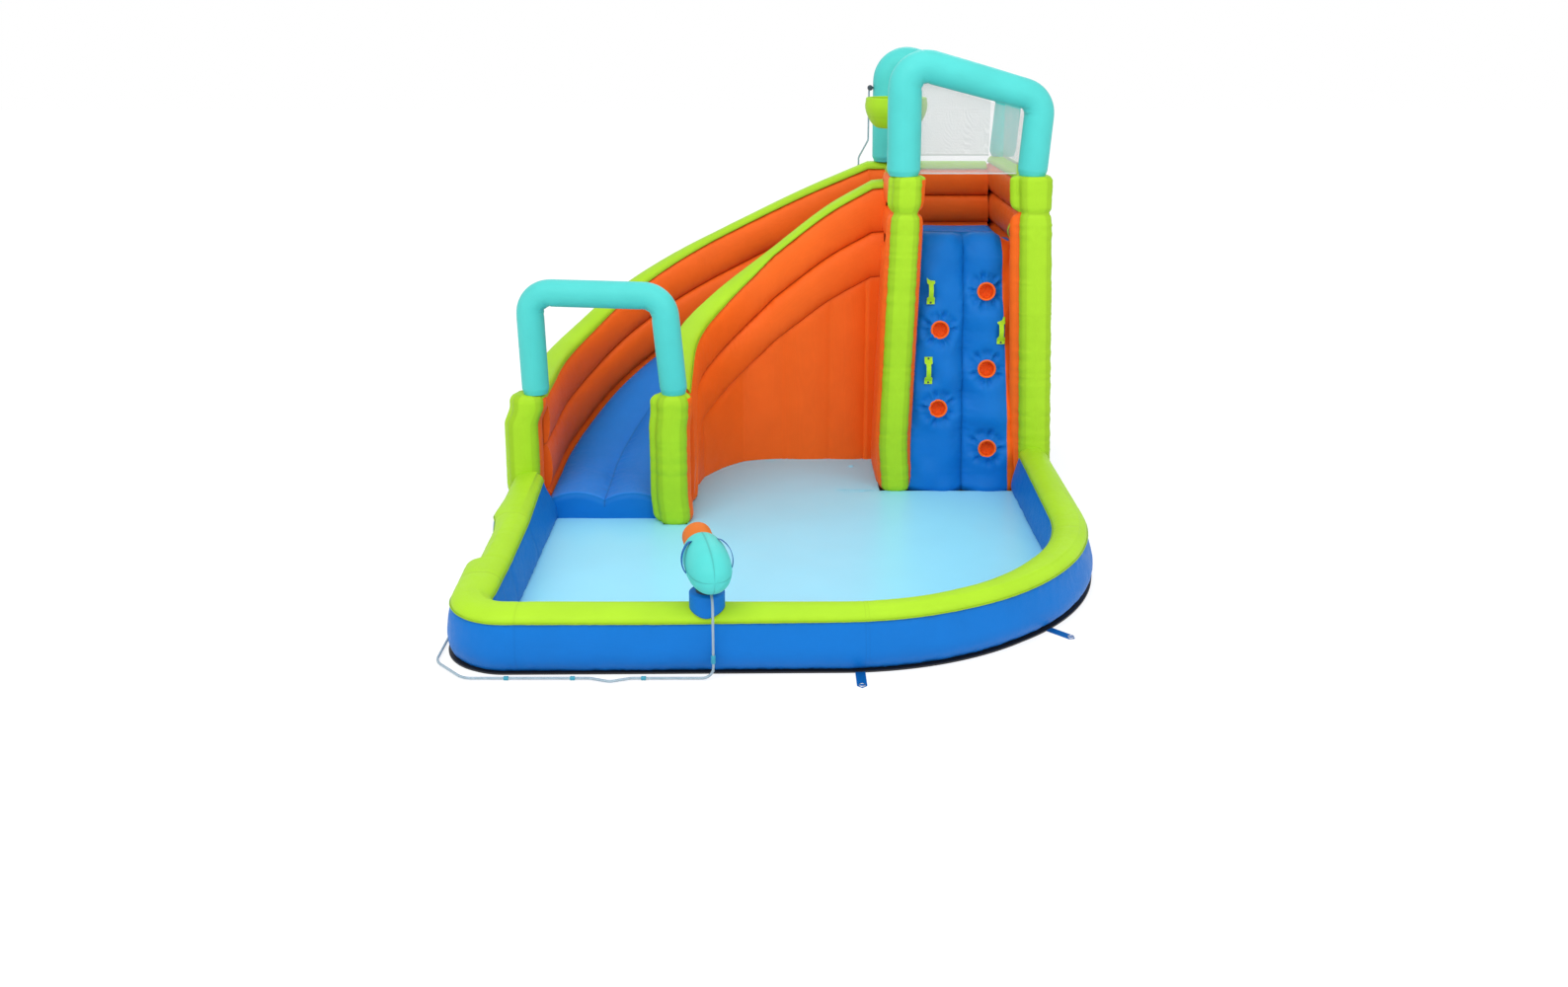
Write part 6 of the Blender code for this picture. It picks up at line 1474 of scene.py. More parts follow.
def climb_x(share, height):
    """A point across the climbing wall, between the tower's side walls."""
    left = left_wall_x(height, 1) + GAP
    right = right_wall_x(height, -1) - GAP
    return left + (right - left) * share


def climb_front_y(share, height):
    """Front of the climbing wall: two upright rolls with a crease between them, leaning back."""
    wave = np.abs(np.sin(2 * np.pi * share)) ** 0.6
    return CLIMB_FOOT_Y + CLIMB_LEAN * height / PLATFORM_HEIGHT - CLIMB_CROWN * wave


def climb_frame(share, height, clearance=0.0):
    """A frame on the climbing wall's face: Y up along it and Z out of it."""
    lean = math.atan2(CLIMB_LEAN, PLATFORM_HEIGHT)
    outward = Vector((0.0, -math.cos(lean), math.sin(lean)))
    up = Vector((0.0, math.sin(lean), math.cos(lean)))
    spot = Vector((climb_x(share, height), climb_front_y(share, height), height))
    return frame_at(spot + outward * clearance, up.cross(outward), up, outward)


def build_climbing_wall():
    """The blue wall that is climbed, with a pocket for each foothold, and an orange edge on each side."""
    share = np.linspace(0.0, 1.0, 73)[None]
    height = np.linspace(BASE_Z, CLIMB_TOP, 141)[:, None]
    hump = 0.020 * np.exp(-(((share - 0.5) / 0.07) ** 2)) + 0.055 * smoothstep((share - 0.80) / 0.2)
    hump = hump + 0.012 * smoothstep((0.12 - share) / 0.12)
    height = BASE_Z + (height - BASE_Z) * (1 - hump / CLIMB_TOP)
    gone = np.clip((height - (CLIMB_TOP - hump - 0.15)) / 0.15, 0.0, 1.0)
    foot = np.clip(1 - (height - BASE_Z) / 0.04, 0.0, 1.0) ** 2
    x = climb_x(share, height)
    z = height + 0.0 * x
    y = climb_front_y(share, height) + 0.095 * (1.0 - np.sqrt(1.0 - gone**2)) + 0.02 * foot
    edge = np.clip(np.minimum(share, 1 - share) / 0.06, 0.0, 1.0)
    y += 0.021 * noise(np.stack((x, z), axis=2), 0.12, 92) * edge
    for spot, rise in FOOTHOLDS:
        across, up = x - climb_x(spot, rise), z - rise
        turn = np.arctan2(up, across)
        folds = 1 + 0.4 * np.sin(9 * turn + rise * 9) + 0.3 * np.sin(14 * turn + 2)
        y += 0.019 * folds * np.exp(-(((np.hypot(across, up) - 0.084) / 0.028) ** 2))
    height = height[:, (-1, 0)]
    back_y = CLIMB_FOOT_Y + CLIMB_LEAN * np.minimum(height / PLATFORM_HEIGHT, 1.0) + CLIMB_THICKNESS
    corners = np.stack((climb_x(np.array((1.0, 0.0)), height), back_y, height), axis=2)
    grid = np.hstack((np.stack((x, y, z), axis=2), corners))
    seam = slab_seams(crease_seams(share) * (x[:, -1:] - x[:, :1]))
    along = grid[..., 2].copy()
    grid = puckered(grid, seam, along, 91, 1.5, (SLAB_EDGES, 0))
    wall = grid_object("climbing_wall_cloth", grid, seam, along)
    bm = bmesh.new()
    deep = FOOTHOLD_DEPTH + 0.004
    wide = FOOTHOLD_RADIUS + 0.0006
    for spot, rise in FOOTHOLDS:
        place = climb_frame(spot, rise) @ Matrix.Translation((0.0, 0.0, 0.5 * (0.1 - deep)))
        bmesh.ops.create_cone(
            bm, cap_ends=True, segments=40, radius1=wide, radius2=wide, depth=0.1 + deep, matrix=place
        )
    cut_with(wall, bm)
    dressed(wall, "blue", "climbing_wall", 0.9)

    def is_edge(face):
        """Whether a face is in one of the orange edges."""
        across, _, z = face.center
        return across < climb_x(0.0, z) + 0.020 or across > climb_x(1.0, z) - 0.064

    trim(wall, "orange", is_edge)


def cut_with(item, bm):
    """Cut one object with a bmesh, and keep the result as its mesh."""
    cutter = linked("cutter", mesh_of(bm, "cutter"))
    modifier = item.modifiers.new("cut", "BOOLEAN")
    modifier.operation = "DIFFERENCE"
    modifier.object = cutter
    modifier.solver = "EXACT"
    evaluated = item.evaluated_get(bpy.context.evaluated_depsgraph_get())
    result = bpy.data.meshes.new_from_object(evaluated)
    item.modifiers.remove(modifier)
    item.data = result
    bpy.data.objects.remove(cutter, do_unlink=True)
    result.shade_smooth()
    result.set_sharp_from_angle(angle=math.radians(50.0))


def arc(radius, height, reach, rise, step):
    """Half an ellipse over a rim, as points of (radius, height)."""
    angles = np.radians(np.arange(0, 181, step))
    return [(radius + reach * math.cos(a), height + rise * math.sin(a)) for a in angles]


def build_footholds():
    """Orange cups in the climbing wall, with a soft rolled rim and a gathered inside."""
    inner = FOOTHOLD_RADIUS - 0.006
    floor = -FOOTHOLD_DEPTH + 0.012
    profile = [(0.0004, floor), *((inner * t, floor + 0.004 * t**2) for t in (0.2, 0.4, 0.6, 0.8, 0.93))]
    profile += [(inner, floor + 0.010), (inner + 0.001, -0.04), (inner + 0.001, -0.02), (inner, -0.004)]
    profile += arc(inner + 0.006, 0.003, -0.006, 0.006, 20)
    profile += [(FOOTHOLD_RADIUS + 0.005, 0.001), (FOOTHOLD_RADIUS, -0.002)]
    profile += [(FOOTHOLD_RADIUS, -FOOTHOLD_DEPTH), (0.0004, -FOOTHOLD_DEPTH)]
    rows = np.arange(len(profile))[:, None]
    for number, (share, height) in enumerate(FOOTHOLDS, 1):
        grid = turned_grid(profile, Matrix.Identity(4), 60)
        angle = np.arctan2(grid[..., 1], grid[..., 0])
        folds = np.sin(9 * angle + number) + 0.6 * np.sin(14 * angle + 2.1 * number)
        radius = np.hypot(grid[..., 0], grid[..., 1])
        grid[..., 2] += 0.0028 * folds * (rows < 9) * np.clip(radius / inner, 0, 1)
        grid[..., :2] *= (1 + 0.018 * folds * ((rows >= 6) & (rows < 9)))[..., None]
        grid = placed(grid, climb_frame(share, height))
        cup = grid_object(f"foothold_cup_{number}", grid, NO_SEAM, NO_SEAM)
        dressed(cup, "orange", f"foothold_{number}", 0.5)


def handle_grid(place):
    """A webbing handle: wide flat ends and a narrow middle that stands off the wall."""
    shares = np.linspace(0.0, 1.0, 41)[:, None]
    cross = np.linspace(-1.0, 1.0, 9)
    bow = 0.030 * np.sin(np.pi * np.clip((shares - 0.12) / 0.76, 0.0, 1.0)) ** 0.9
    half = 0.014 + 0.010 * smoothstep((np.abs(shares - 0.5) - 0.22) / 0.05)
    x = half * np.concatenate((cross, cross[::-1]))
    rise = np.concatenate((0.0038 - 0.0008 * cross**2, 0.0006 * cross[::-1] ** 2))
    return placed(np.stack((x, (shares - 0.5) * HANDLE_LENGTH + 0.0 * x, bow + rise), axis=2), place)


def build_handles():
    """Lime webbing handles with dark rivets: three on the climbing wall and one each side of the way in."""
    places = [(f"climb_handle_{number}", climb_frame(*spot, 0.002)) for number, spot in enumerate(HANDLES, 1)]
    for label, wall_x, side in (("left", left_wall_x, 1.0), ("right", right_wall_x, -1.0)):
        slope = (wall_x(TOWER_HEIGHT, side) - wall_x(0.0, side)) / TOWER_HEIGHT
        outward = Vector((side, 0.0, -side * slope)).normalized()
        up = Vector((slope, 0.0, 1.0)).normalized()
        spot = Vector((wall_x(GATE_HANDLE_Z, side), GATE_HANDLE_Y, GATE_HANDLE_Z)) + outward * 0.002
        places.append((f"gate_handle_{label}", frame_at(spot, up.cross(outward), up, outward)))
    profile = ((0.0003, 0.0028), (0.004, 0.0026), (0.0062, 0.0016), (0.0068, 0.0))
    for node, place in places:
        dressed(grid_object(f"{node}_strap", handle_grid(place), NO_SEAM, NO_SEAM), "lime", node)
        for end, label in ((-1, "low"), (1, "high")):
            spot = place @ Matrix.Translation((0.0, end * 0.44 * HANDLE_LENGTH, 0.0036))
            dressed(grid_object(f"{node}_rivet_{label}", turned_grid(profile, spot, 20)), "dark")


def build_platform():
    """The slab between the climbing wall and the slide, three crosswise rolls on top."""
    low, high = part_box("platform")
    front = CLIMB_FOOT_Y + CLIMB_LEAN + CLIMB_THICKNESS + 2 * GAP
    back = OUTER_Y - CHANNEL_FACE - GAP
    share_y = np.linspace(0.0, 1.0, 61)[:, None]
    share_x = np.linspace(0.0, 1.0, 41)[None]
    wave = np.abs(np.sin(3 * np.pi * share_y)) ** 0.6
    round_off = np.clip(np.minimum(share_x, 1 - share_x) / 0.05, 0.0, 1.0) ** 0.5
    z = high.z - 0.022 * (1 - wave * round_off)
    y = front + (back - front) * share_y
    top = np.stack((climb_x(share_x, PLATFORM_HEIGHT) + 0.0 * z, y + 0.0 * z, z), axis=2)
    edges = climb_x(np.array((1.0, 0.0)), low.z) + 0.0 * y
    grid = np.hstack((top, np.stack((edges, y + 0.0 * edges, low.z + 0.0 * edges), axis=2)))
    share = (share_y * 3) % 1.0
    seam = slab_seams(np.minimum(share, 1 - share) * (back - front) / 3 + 0.0 * share_x)
    along = grid[..., 0] - grid[0, 0, 0]
    add_cloth("platform", "bed", puckered(grid, seam, along, 95, held=(SLAB_EDGES, ENDS)), seam, along, 0.9)


def build_arches():
    """The front arch on the two posts and the back arch on the back and right walls."""
    foot = TOWER_HEIGHT + GAP
    low, high = (height + 2 * SKIN_GAP + BAND_THICKNESS for height in (BACK_WALL_HEIGHT, TOWER_HEIGHT))
    for name, y, left_x, right_x, left_z, right_z, seed in (
        ("arch_front", FRONT_ARCH_Y, FRONT_ARCH_LEFT_X, FRONT_ARCH_RIGHT_X, foot, foot, 101),
        ("arch_back", OUTER_Y, BACK_ARCH_LEFT_X, BACK_ARCH_RIGHT_X, low, high, 103),
    ):
        feet = ((left_x, y, left_z), (right_x, y, right_z))
        shoulders = ((left_x - 0.005, y, ARCH_HIGH_Z), (right_x + 0.03, y, ARCH_LOW_Z))
        add_arch(name, feet, shoulders, ARCH_LEG_RADIUS, ARCH_THIN_RADIUS, seed)


def build_nets():
    """Fine nets with a taped edge in the front arch, in the back arch and between the two right legs."""
    u = np.linspace(0.0, 1.0, 49)[:, None]
    v = np.linspace(0.0, 1.0, 33)[None]
    for node, flat_axis, reach, rise, tape in (
        ("net_front", 1, 0.044, 0.035, 0.007),
        ("net_back", 1, 0.044, 0.035, 0.007),
        ("net_right", 0, 0.004, 0.010, 0.003),
    ):
        co = np.array([vertex.co[:] for vertex in NODES[node].data.vertices])
        run, heights = co[:, 1 - flat_axis], co[:, 2]
        first, last = (heights[np.abs(run - end) < reach].max() for end in (run.min(), run.max()))
        low, width = run.min() - 0.010, run.max() - run.min() + 0.020
        bottom = heights.min() - 0.004
        tall = first + (last - first) * u + rise - bottom
        sheet = np.zeros((49, 33, 3))
        sheet[..., 1 - flat_axis] = low + width * u
        sheet[..., flat_axis] = co[:, flat_axis].mean() + 0.010 * np.sin(np.pi * u) * np.sin(np.pi * v)
        sheet[..., flat_axis] += 0.0025 * np.sin(9 * np.pi * u) * (1 - v)
        sheet[..., 2] = bottom + tall * v
        hem = v * tall + tape
        thick = np.eye(3)[flat_axis] * 0.0006
        ring = np.hstack((sheet + thick, sheet[:, ::-1] - thick))
        net = dressed(grid_object(f"{node}_mesh", ring, np.hstack((hem, hem[:, ::-1]))), "net", node)


# Bucket


def build_bucket():
    """The tipping bucket with its rolled rim, its axle and the strap that is pulled."""
    rim = 0.25 * BUCKET_HEIGHT
    low = rim - BUCKET_HEIGHT
    outer = BUCKET_RADIUS
    outside = [(0.50 * outer, low)]
    for a in np.linspace(0.0, np.pi / 2, 18)[1:]:
        flat = 0.50 * (1 - math.sin(a)) ** 0.9
        radius = outer * (flat + math.sin(a) ** 0.62 * (1 - flat))
        outside.append((min(radius, outer), low * math.cos(a) ** 1.1))
    inside = [(radius - BUCKET_WALL, height + 0.35 * BUCKET_WALL) for radius, height in outside[:0:-1]]
    profile = [(0.0005, low), *outside, (0.975 * outer, 0.7 * rim)]
    profile += arc(0.972 * outer - 0.006, rim - 0.006, 0.006, 0.006, 30)
    profile += [*inside, (0.0005, low + 0.8 * BUCKET_WALL)]
    grid = turned_grid(profile, Matrix.Translation((BUCKET_X, BUCKET_Y, AXLE_Z)), 72)
    seam = np.abs(grid[..., 2] - AXLE_Z - 0.5 * low) + 0.004
    bucket = grid_object("bucket_bowl", grid, seam, circle_angles(72) * outer)
    dressed(bucket, "lime", "bucket", 0.8, "tipping_bucket")
    recolour("lime", "bucket_strap")
    recolour("steel", "bucket_axle")


# Water cannon


def smooth_profile(knots, count):
    """Points on a smooth curve through knots of (radius, height)."""
    knots = np.array(knots, float)
    t = line_lengths(knots)
    slopes = np.gradient(knots, t, axis=0)
    wanted = np.linspace(0.0, t[-1], count)
    i = np.minimum(np.searchsorted(t, wanted, side="right") - 1, len(t) - 2)
    h = (t[i + 1] - t[i])[:, None]
    s = (wanted - t[i])[:, None] / h
    first = (2 * s**3 - 3 * s**2 + 1) * knots[i] + (s**3 - 2 * s**2 + s) * h * slopes[i]
    return first + (-2 * s**3 + 3 * s**2) * knots[i + 1] + (s**3 - s**2) * h * slopes[i + 1]


def box_bmesh(place, middle_z, *size):
    """A bmesh with a box on a frame's Z axis."""
    bm = bmesh.new()
    place = place @ Matrix.Translation((0.0, 0.0, middle_z)) @ Matrix.Diagonal((*size, 1.0))
    bmesh.ops.create_cube(bm, size=1.0, matrix=place)
    return bm


def build_cannon():
    """The pod on its keel, its nozzle and its two grips."""
    turn = Matrix.Rotation(CANNON_YAW, 4, "Z") @ Matrix.Rotation(CANNON_PITCH, 4, "X")
    place = Matrix.Translation((CANNON_X, CANNON_Y, PIVOT_HEIGHT)) @ turn
    aim = place @ Matrix.Translation((0.0, 0.0, POD_RADIUS)) @ Matrix.Rotation(-math.pi / 2, 4, "X")
    shares = ((1.0, 0.72), (0.92, 0.80), (0.65, 0.915), (0.33, 0.98), (0.0, 1.0))
    knots = [(POD_RADIUS * share, POD_NOSE * along) for along, share in shares]
    shares = ((0.30, 0.985), (0.58, 0.90), (0.80, 0.72), (0.94, 0.44))
    knots += [(POD_RADIUS * share, -POD_TAIL * along) for along, share in shares]
    knots.append((0.001, -POD_TAIL))
    profile = [(0.0005, POD_NOSE), (0.3 * POD_RADIUS, POD_NOSE), *smooth_profile(knots, 44)]
    grid = turned_grid(profile, aim, 72)
    gores = np.abs(((circle_angles(72) / (2 * np.pi) * 4) % 1.0) - 0.5) * 2
    seam = (1 - gores)[None] * POD_RADIUS * np.pi / 4
    along = line_lengths(grid)
    pod = grid_object("cannon_pod_cloth", puckered(grid, seam, along, 111, 0.25, (np.s_[:2],)), seam, along)
    width, depth = 2 * (KEEL_HALF_WIDTH + 0.006 + 0.015), 2 * (KEEL_HALF_DEPTH + 0.017)
    cut_with(pod, box_bmesh(place, (0.04 - POD_RADIUS) / 2, width, depth, POD_RADIUS + 0.04))
    dressed(pod, "teal", "cannon_body", 0.95, "cannon_pod")
    bm = box_bmesh(place, 0.021, 2 * KEEL_HALF_WIDTH, 2 * KEEL_HALF_DEPTH, 0.062)
    dressed(bevelled(mesh_object("cannon_keel", mesh_of(bm, "keel"), 30.0), 0.002), "dark", body="cannon_pod")

    start = POD_NOSE + GAP
    tip = start + NOZZLE_LENGTH
    profile = [(0.0005, start), (NOZZLE_RADIUS - 0.008, start), (NOZZLE_RADIUS, start + 0.012)]
    profile += [(NOZZLE_RADIUS, tip - 0.016), *arc(NOZZLE_RADIUS - 0.009, tip - 0.012, 0.009, 0.012, 30)]
    profile += [(NOZZLE_BORE, start + 0.03), (0.0005, start + 0.022)]
    nozzle = grid_object("cannon_nozzle_cloth", turned_grid(profile, aim, 60))
    dressed(nozzle, "nozzle", "cannon_nozzle", 0.9, "cannon_pod")
    shares = np.linspace(0.0, 1.0, 33)
    edges = np.linspace(-1.0, 1.0, 7)[:, None]
    for label, side in (("left", -1), ("right", 1)):
        angle = np.radians(38.0 + 62.0 * shares)
        reach = POD_RADIUS * 0.985 + 0.016 * np.sin(np.pi * shares) ** 0.7
        outward = np.stack((side * np.sin(angle), -np.cos(angle), 0.0 * angle), axis=1)
        route = outward * reach[:, None] + np.outer(0.062 - 0.105 * shares, (0.0, 0.0, 1.0))
        across = np.cross(np.gradient(route, axis=0), outward)
        across *= GRIP_HALF_WIDTH / np.linalg.norm(across, axis=1, keepdims=True)
        top = route[:, None] + across[:, None] * edges + outward[:, None] * 0.0028
        ring = np.hstack((top, route[:, None] + across[:, None] * edges[::-1]))
        grip = grid_object(f"cannon_grip_{label}_strap", placed(ring, aim))
        dressed(grip, "blue", f"cannon_grip_{label}", body="cannon_pod")
    recolour("dark", "cannon_turntable")
    recolour("steel", "cannon_pin")


def build_pedestal():
    """The short blue column that carries the cannon on the front wall's crown."""
    low = POOL_TOP - BAND_DROP
    heights = np.linspace(low, PEDESTAL_TOP, 26)
    radii = PEDESTAL_RADIUS - 0.007 * np.clip(1 - (PEDESTAL_TOP - heights) / 0.012, 0.0, 1.0) ** 2
    grid = turned_grid(np.column_stack((radii, heights)), Matrix.Translation((CANNON_X, CANNON_Y, 0.0)), 72)
    offset = SKIN_GAP + BAND_THICKNESS + 0.0015
    half = POOL_WALL_THICKNESS / 2 - POOL_BULGE + offset
    across = np.clip(np.abs(grid[..., 1] - POOL_LINE_Y) / half, 0.0, 0.999)
    crown = low + (BAND_DROP + offset) * (1 - across**CROWN_POWER) ** (1 / CROWN_POWER)
    grid[..., 2] = crown + (PEDESTAL_TOP - crown) * ((heights - low) / (PEDESTAL_TOP - low))[:, None]
    along = circle_angles(72) * PEDESTAL_RADIUS
    # The seam distance is the height over the crown, so the fabric paints shade at the pedestal's foot.
    add_cloth("cannon_pedestal", "blue", grid, grid[..., 2] - crown, along, 0.9)


# Hoses and small parts


def hose_knots(corners, radii):
    """Places and directions along a hose that turns each of its corners at a radius."""
    corners = [Vector(corner) for corner in corners]
    knots = [(corners[0], (corners[1] - corners[0]).normalized())]
    for before, corner, after, radius in zip(corners, corners[1:], corners[2:], radii):
        back = (corner - before).normalized()
        ahead = (after - corner).normalized()
        cut = radius * math.tan(back.angle(ahead) / 2)
        if cut > 0.002:
            knots += [(corner - back * cut, back), (corner + ahead * cut, ahead)]
        else:
            knots.append((corner, (back + ahead).normalized()))
    return knots + [(corners[-1], (corners[-1] - corners[-2]).normalized())]


def add_hose(node, corners, radii, clips, fittings):
    """A clear hose on one smooth curve with its clips."""
    radius = sizes().hose_radius
    curve = bpy.data.curves.new(node, "CURVE")
    curve.dimensions = "3D"
    curve.bevel_depth = radius
    curve.bevel_resolution = 5
    curve.resolution_u = 10
    curve.use_fill_caps = True
    knots = hose_knots(corners, radii)
    points = curve.splines.new("BEZIER").bezier_points
    points.add(len(knots) - 1)
    for point, (place, ahead) in zip(points, knots):
        point.handle_left_type = point.handle_right_type = "FREE"
        point.co = place
        point.handle_left = place - ahead * 0.01
        point.handle_right = place + ahead * 0.01
    length_found = 0.0
    for first, second, (start, leaving), (end, arriving) in zip(points, points[1:], knots, knots[1:]):
        turn = max(leaving.angle(arriving), 0.001)
        reach = (end - start).length * 2 / 3 * math.tan(turn / 4) / math.sin(turn / 2)
        first.handle_right = start + leaving * reach
        second.handle_left = end - arriving * reach
        steps = interpolate_bezier(start, first.handle_right, second.handle_left, end, 11)
        length_found += sum((b - a).length for a, b in zip(steps, steps[1:]))
    hose = dressed(linked(f"{node}_tube", curve), "hose", node)
    parts = list(fittings)
    steps = np.array((-1.0, -0.85, -0.5, 0.0, 0.5, 0.85, 1.0))[:, None]
    shares = np.array((0.2, 0.8, 1.0, 0.7, 1.0, 0.8, 0.2))
    for number, (place, ahead, reach, thick) in enumerate(clips, 1):
        grid = tube_grid(np.array(place) + steps * np.array(ahead) * reach, radius + thick * shares, 24)
        parts.append(dressed(grid_object(f"{node}_clip_{number}", grid), "teal_plastic"))
    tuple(corners[0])


def build_fittings():
    """The two hoses with their clips, their coupling and nozzle, and the drain plug."""
    recolour("teal_plastic", "hose_coupling")
    recolour("dark", "spray_nozzle")
    recolour("floor", "drain_plug")
    ground = HOSE_GROUND
    clip, tall_clip = (0.011, 0.0035), (0.020, 0.0045)
    cut = 0.5 * (POOL_CORNER_RADIUS + POOL_WALL_THICKNESS / 2)
    exit_z = PEDESTAL_TOP + sizes().hose_radius + HOSE_CLEARANCE
    down_x = CANNON_X + 0.03
    sag_x = CANNON_X - 0.42
    mouth = (CANNON_X + 0.02, CANNON_Y - TURNTABLE_RADIUS - HOSE_CLEARANCE, exit_z)
    corners = [
        mouth,
        (down_x, mouth[1] - HOSE_LEAD, exit_z),
        (down_x, FRONT_Y - HOSE_CLEARANCE, 0.75 * POOL_TOP),
        (down_x, FRONT_Y, POOL_TOP / 2),
        *((x, FRONT_Y, ground) for x in (down_x, sag_x + 0.09)),
        (sag_x, FRONT_Y - 0.030, ground),
        *((x, FRONT_Y, ground) for x in (sag_x - 0.09, SIDE_X + cut)),
        *((SIDE_X, y, ground) for y in (FRONT_Y + cut, COUPLING_Y - 0.14)),
        (COUPLING_X, COUPLING_Y - 0.08, COUPLING_Z),
        (COUPLING_X, COUPLING_Y - COUPLING_LENGTH / 2 - GAP, COUPLING_Z),
    ]
    radii = [HOSE_BEND] * 7 + [2 * HOSE_BEND] * 2 + [HOSE_BEND] * 2
    clips = [((x, FRONT_Y, ground), (1, 0, 0), *clip) for x in (-1.27, -0.98, -0.67)]
    clips += [((SIDE_X, y, ground), (0, 1, 0), *clip) for y in (-1.25, -0.80)]
    clips.append(((down_x, FRONT_Y, 0.10), (0, 0, 1), *tall_clip))
    add_hose("cannon_hose", corners, radii, clips, ["hose_coupling"])
    bend = slice(3 * FINE, len(OUTER_POINTS) - 6 * FINE, FINE)
    outer = OUTER_POINTS[bend] + plan_offsets(OUTER_POINTS)[bend] * (FAR_FACE + HOSE_OFFSET)
    leave_x = NOZZLE_HOLD_X - 0.06
    corners = [
        (COUPLING_X, COUPLING_Y + COUPLING_LENGTH / 2 + GAP, COUPLING_Z),
        (COUPLING_X, COUPLING_Y + 0.08, COUPLING_Z),
        (SIDE_X, COUPLING_Y + 0.14, ground),
        *((*point, ground) for point in outer),
        (leave_x, BACK_Y, ground),
        (leave_x, BACK_Y, BACK_WALL_HEIGHT + 0.02),
        (NOZZLE_HOLD_X, SPRAY_BACK_Y + HOSE_LEAD, BACK_WALL_HEIGHT + 0.14),
        (NOZZLE_HOLD_X, SPRAY_BACK_Y + HOSE_LEAD, SPRAY_Z),
        (NOZZLE_HOLD_X, SPRAY_BACK_Y + GAP, SPRAY_Z),
    ]
    radii = [HOSE_BEND] * 2 + [0.0] * len(outer) + [HOSE_BEND] * 4
    clips = [((leave_x, BACK_Y, z), (0, 0, 1), *clip) for z in (0.45, 1.10, 1.70)]
    add_hose("spray_hose", corners, radii, clips, ["spray_nozzle"])


# Blower


def build_blower():
    """The blower's finishes, its grille and its screws."""
    parts = ("housing_front", "housing_rear", "outlet", "base", "handle")
    recolour("blower", *(f"blower_{part}" for part in parts))
    recolour("dark", "impeller", "motor")
    middle = Matrix.Translation((BLOWER_X - HOUSING_HALF_WIDTH, BLOWER_Y, SHAFT_HEIGHT))
    place = middle @ Matrix.Rotation(-math.pi / 2, 4, "Y")
    turns = np.linspace(0.0, 2 * np.pi * 5, 241)
    reach = 0.010 + (INTAKE_RADIUS - 0.012) * turns / turns[-1]
    spiral = np.column_stack((reach * np.cos(turns), reach * np.sin(turns), np.full(241, 0.0012)))
    dressed(grid_object("blower_grille", tube_grid(placed(spiral, place), np.full(241, 0.0019), 8)), "blower")
    profile = ((0.072, -0.001), (0.073, 0.004), (0.077, 0.0055), (0.081, 0.004), (0.083, -0.001))
    dressed(grid_object("blower_grille_ring", turned_grid(profile, place, 72), closed=True), "blower")
    boss = ((0.0115, -0.001), (0.0108, 0.004), (0.0075, 0.0048), (0.0068, 0.0020), (0.0003, 0.0020))
    screw = ((0.0052, 0.0018), (0.0052, 0.0038), (0.0040, 0.0046))
    screw += ((0.0018, 0.0046), (0.0015, 0.0030), (0.0003, 0.0030))
    for number in range(8):
        angle = math.radians(45.0 * number + 12.0)
        spot = place @ Matrix.Translation((SCREW_RING * math.cos(angle), SCREW_RING * math.sin(angle), 0.0))
        for name, profile, steps, finish in (("boss", boss, 28, "blower"), ("screw", screw, 24, "steel")):
            dressed(grid_object(f"blower_{name}_{number + 1}", turned_grid(profile, spot, steps)), finish)


def build_sleeve():
    """The cloth sleeve from the tower's back to the blower's mouth, gathered there under a strap."""
    low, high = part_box("inflation_sleeve")
    middle = (low + high) / 2
    place = Matrix.Translation((middle.x, low.y, middle.z)) @ Matrix.Rotation(-math.pi / 2, 4, "X")
    length_found = high.y - low.y
    tie = length_found - 0.028
    steps = np.linspace(0.0, length_found, 90)
    grid = turned_grid([(SLEEVE_RADIUS, step) for step in steps], Matrix.Identity(4), 96)
    angle = circle_angles(96)[None]
    near = np.abs(steps - tie)[:, None]
    folds = np.abs(np.sin(7 * angle + 0.6 * np.sin(9 * steps)[:, None]))
    folds = folds + 0.5 * np.abs(np.sin(12 * angle + 1.1))
    lump = noise(grid * np.array((1.0, 1.0, 1.6)), 0.07, 131)
    shift = -0.0030 * np.exp(-((near / 0.010) ** 2)) - 0.0022 * (1 - folds / 1.5) * np.exp(-near / 0.07)
    shift = shift + 0.0012 * lump * np.clip(near / 0.03, 0.0, 1.0)
    grid[..., :2] *= (1 + shift / SLEEVE_RADIUS)[..., None]
    inside = grid[::-1].copy()
    inside[..., :2] *= 1 - 0.0011 / SLEEVE_RADIUS
    seam = np.concatenate((steps, np.full(90, NO_SEAM)))[:, None]
    grid = placed(np.vstack((grid, inside)), place)
    sleeve = grid_object("inflation_sleeve_cloth", grid, seam, 0.06 * angle, closed=True)
    dressed(sleeve, "blue", "inflation_sleeve")
    profile = [(0.0550, -0.010), (0.0572, -0.010), (0.0576, 0.0), (0.0572, 0.010), (0.0550, 0.010)]
    profile = [(radius, tie + step) for radius, step in profile]
    dressed(grid_object("sleeve_strap", turned_grid(profile, place, 72), closed=True), "dark")


# Stage


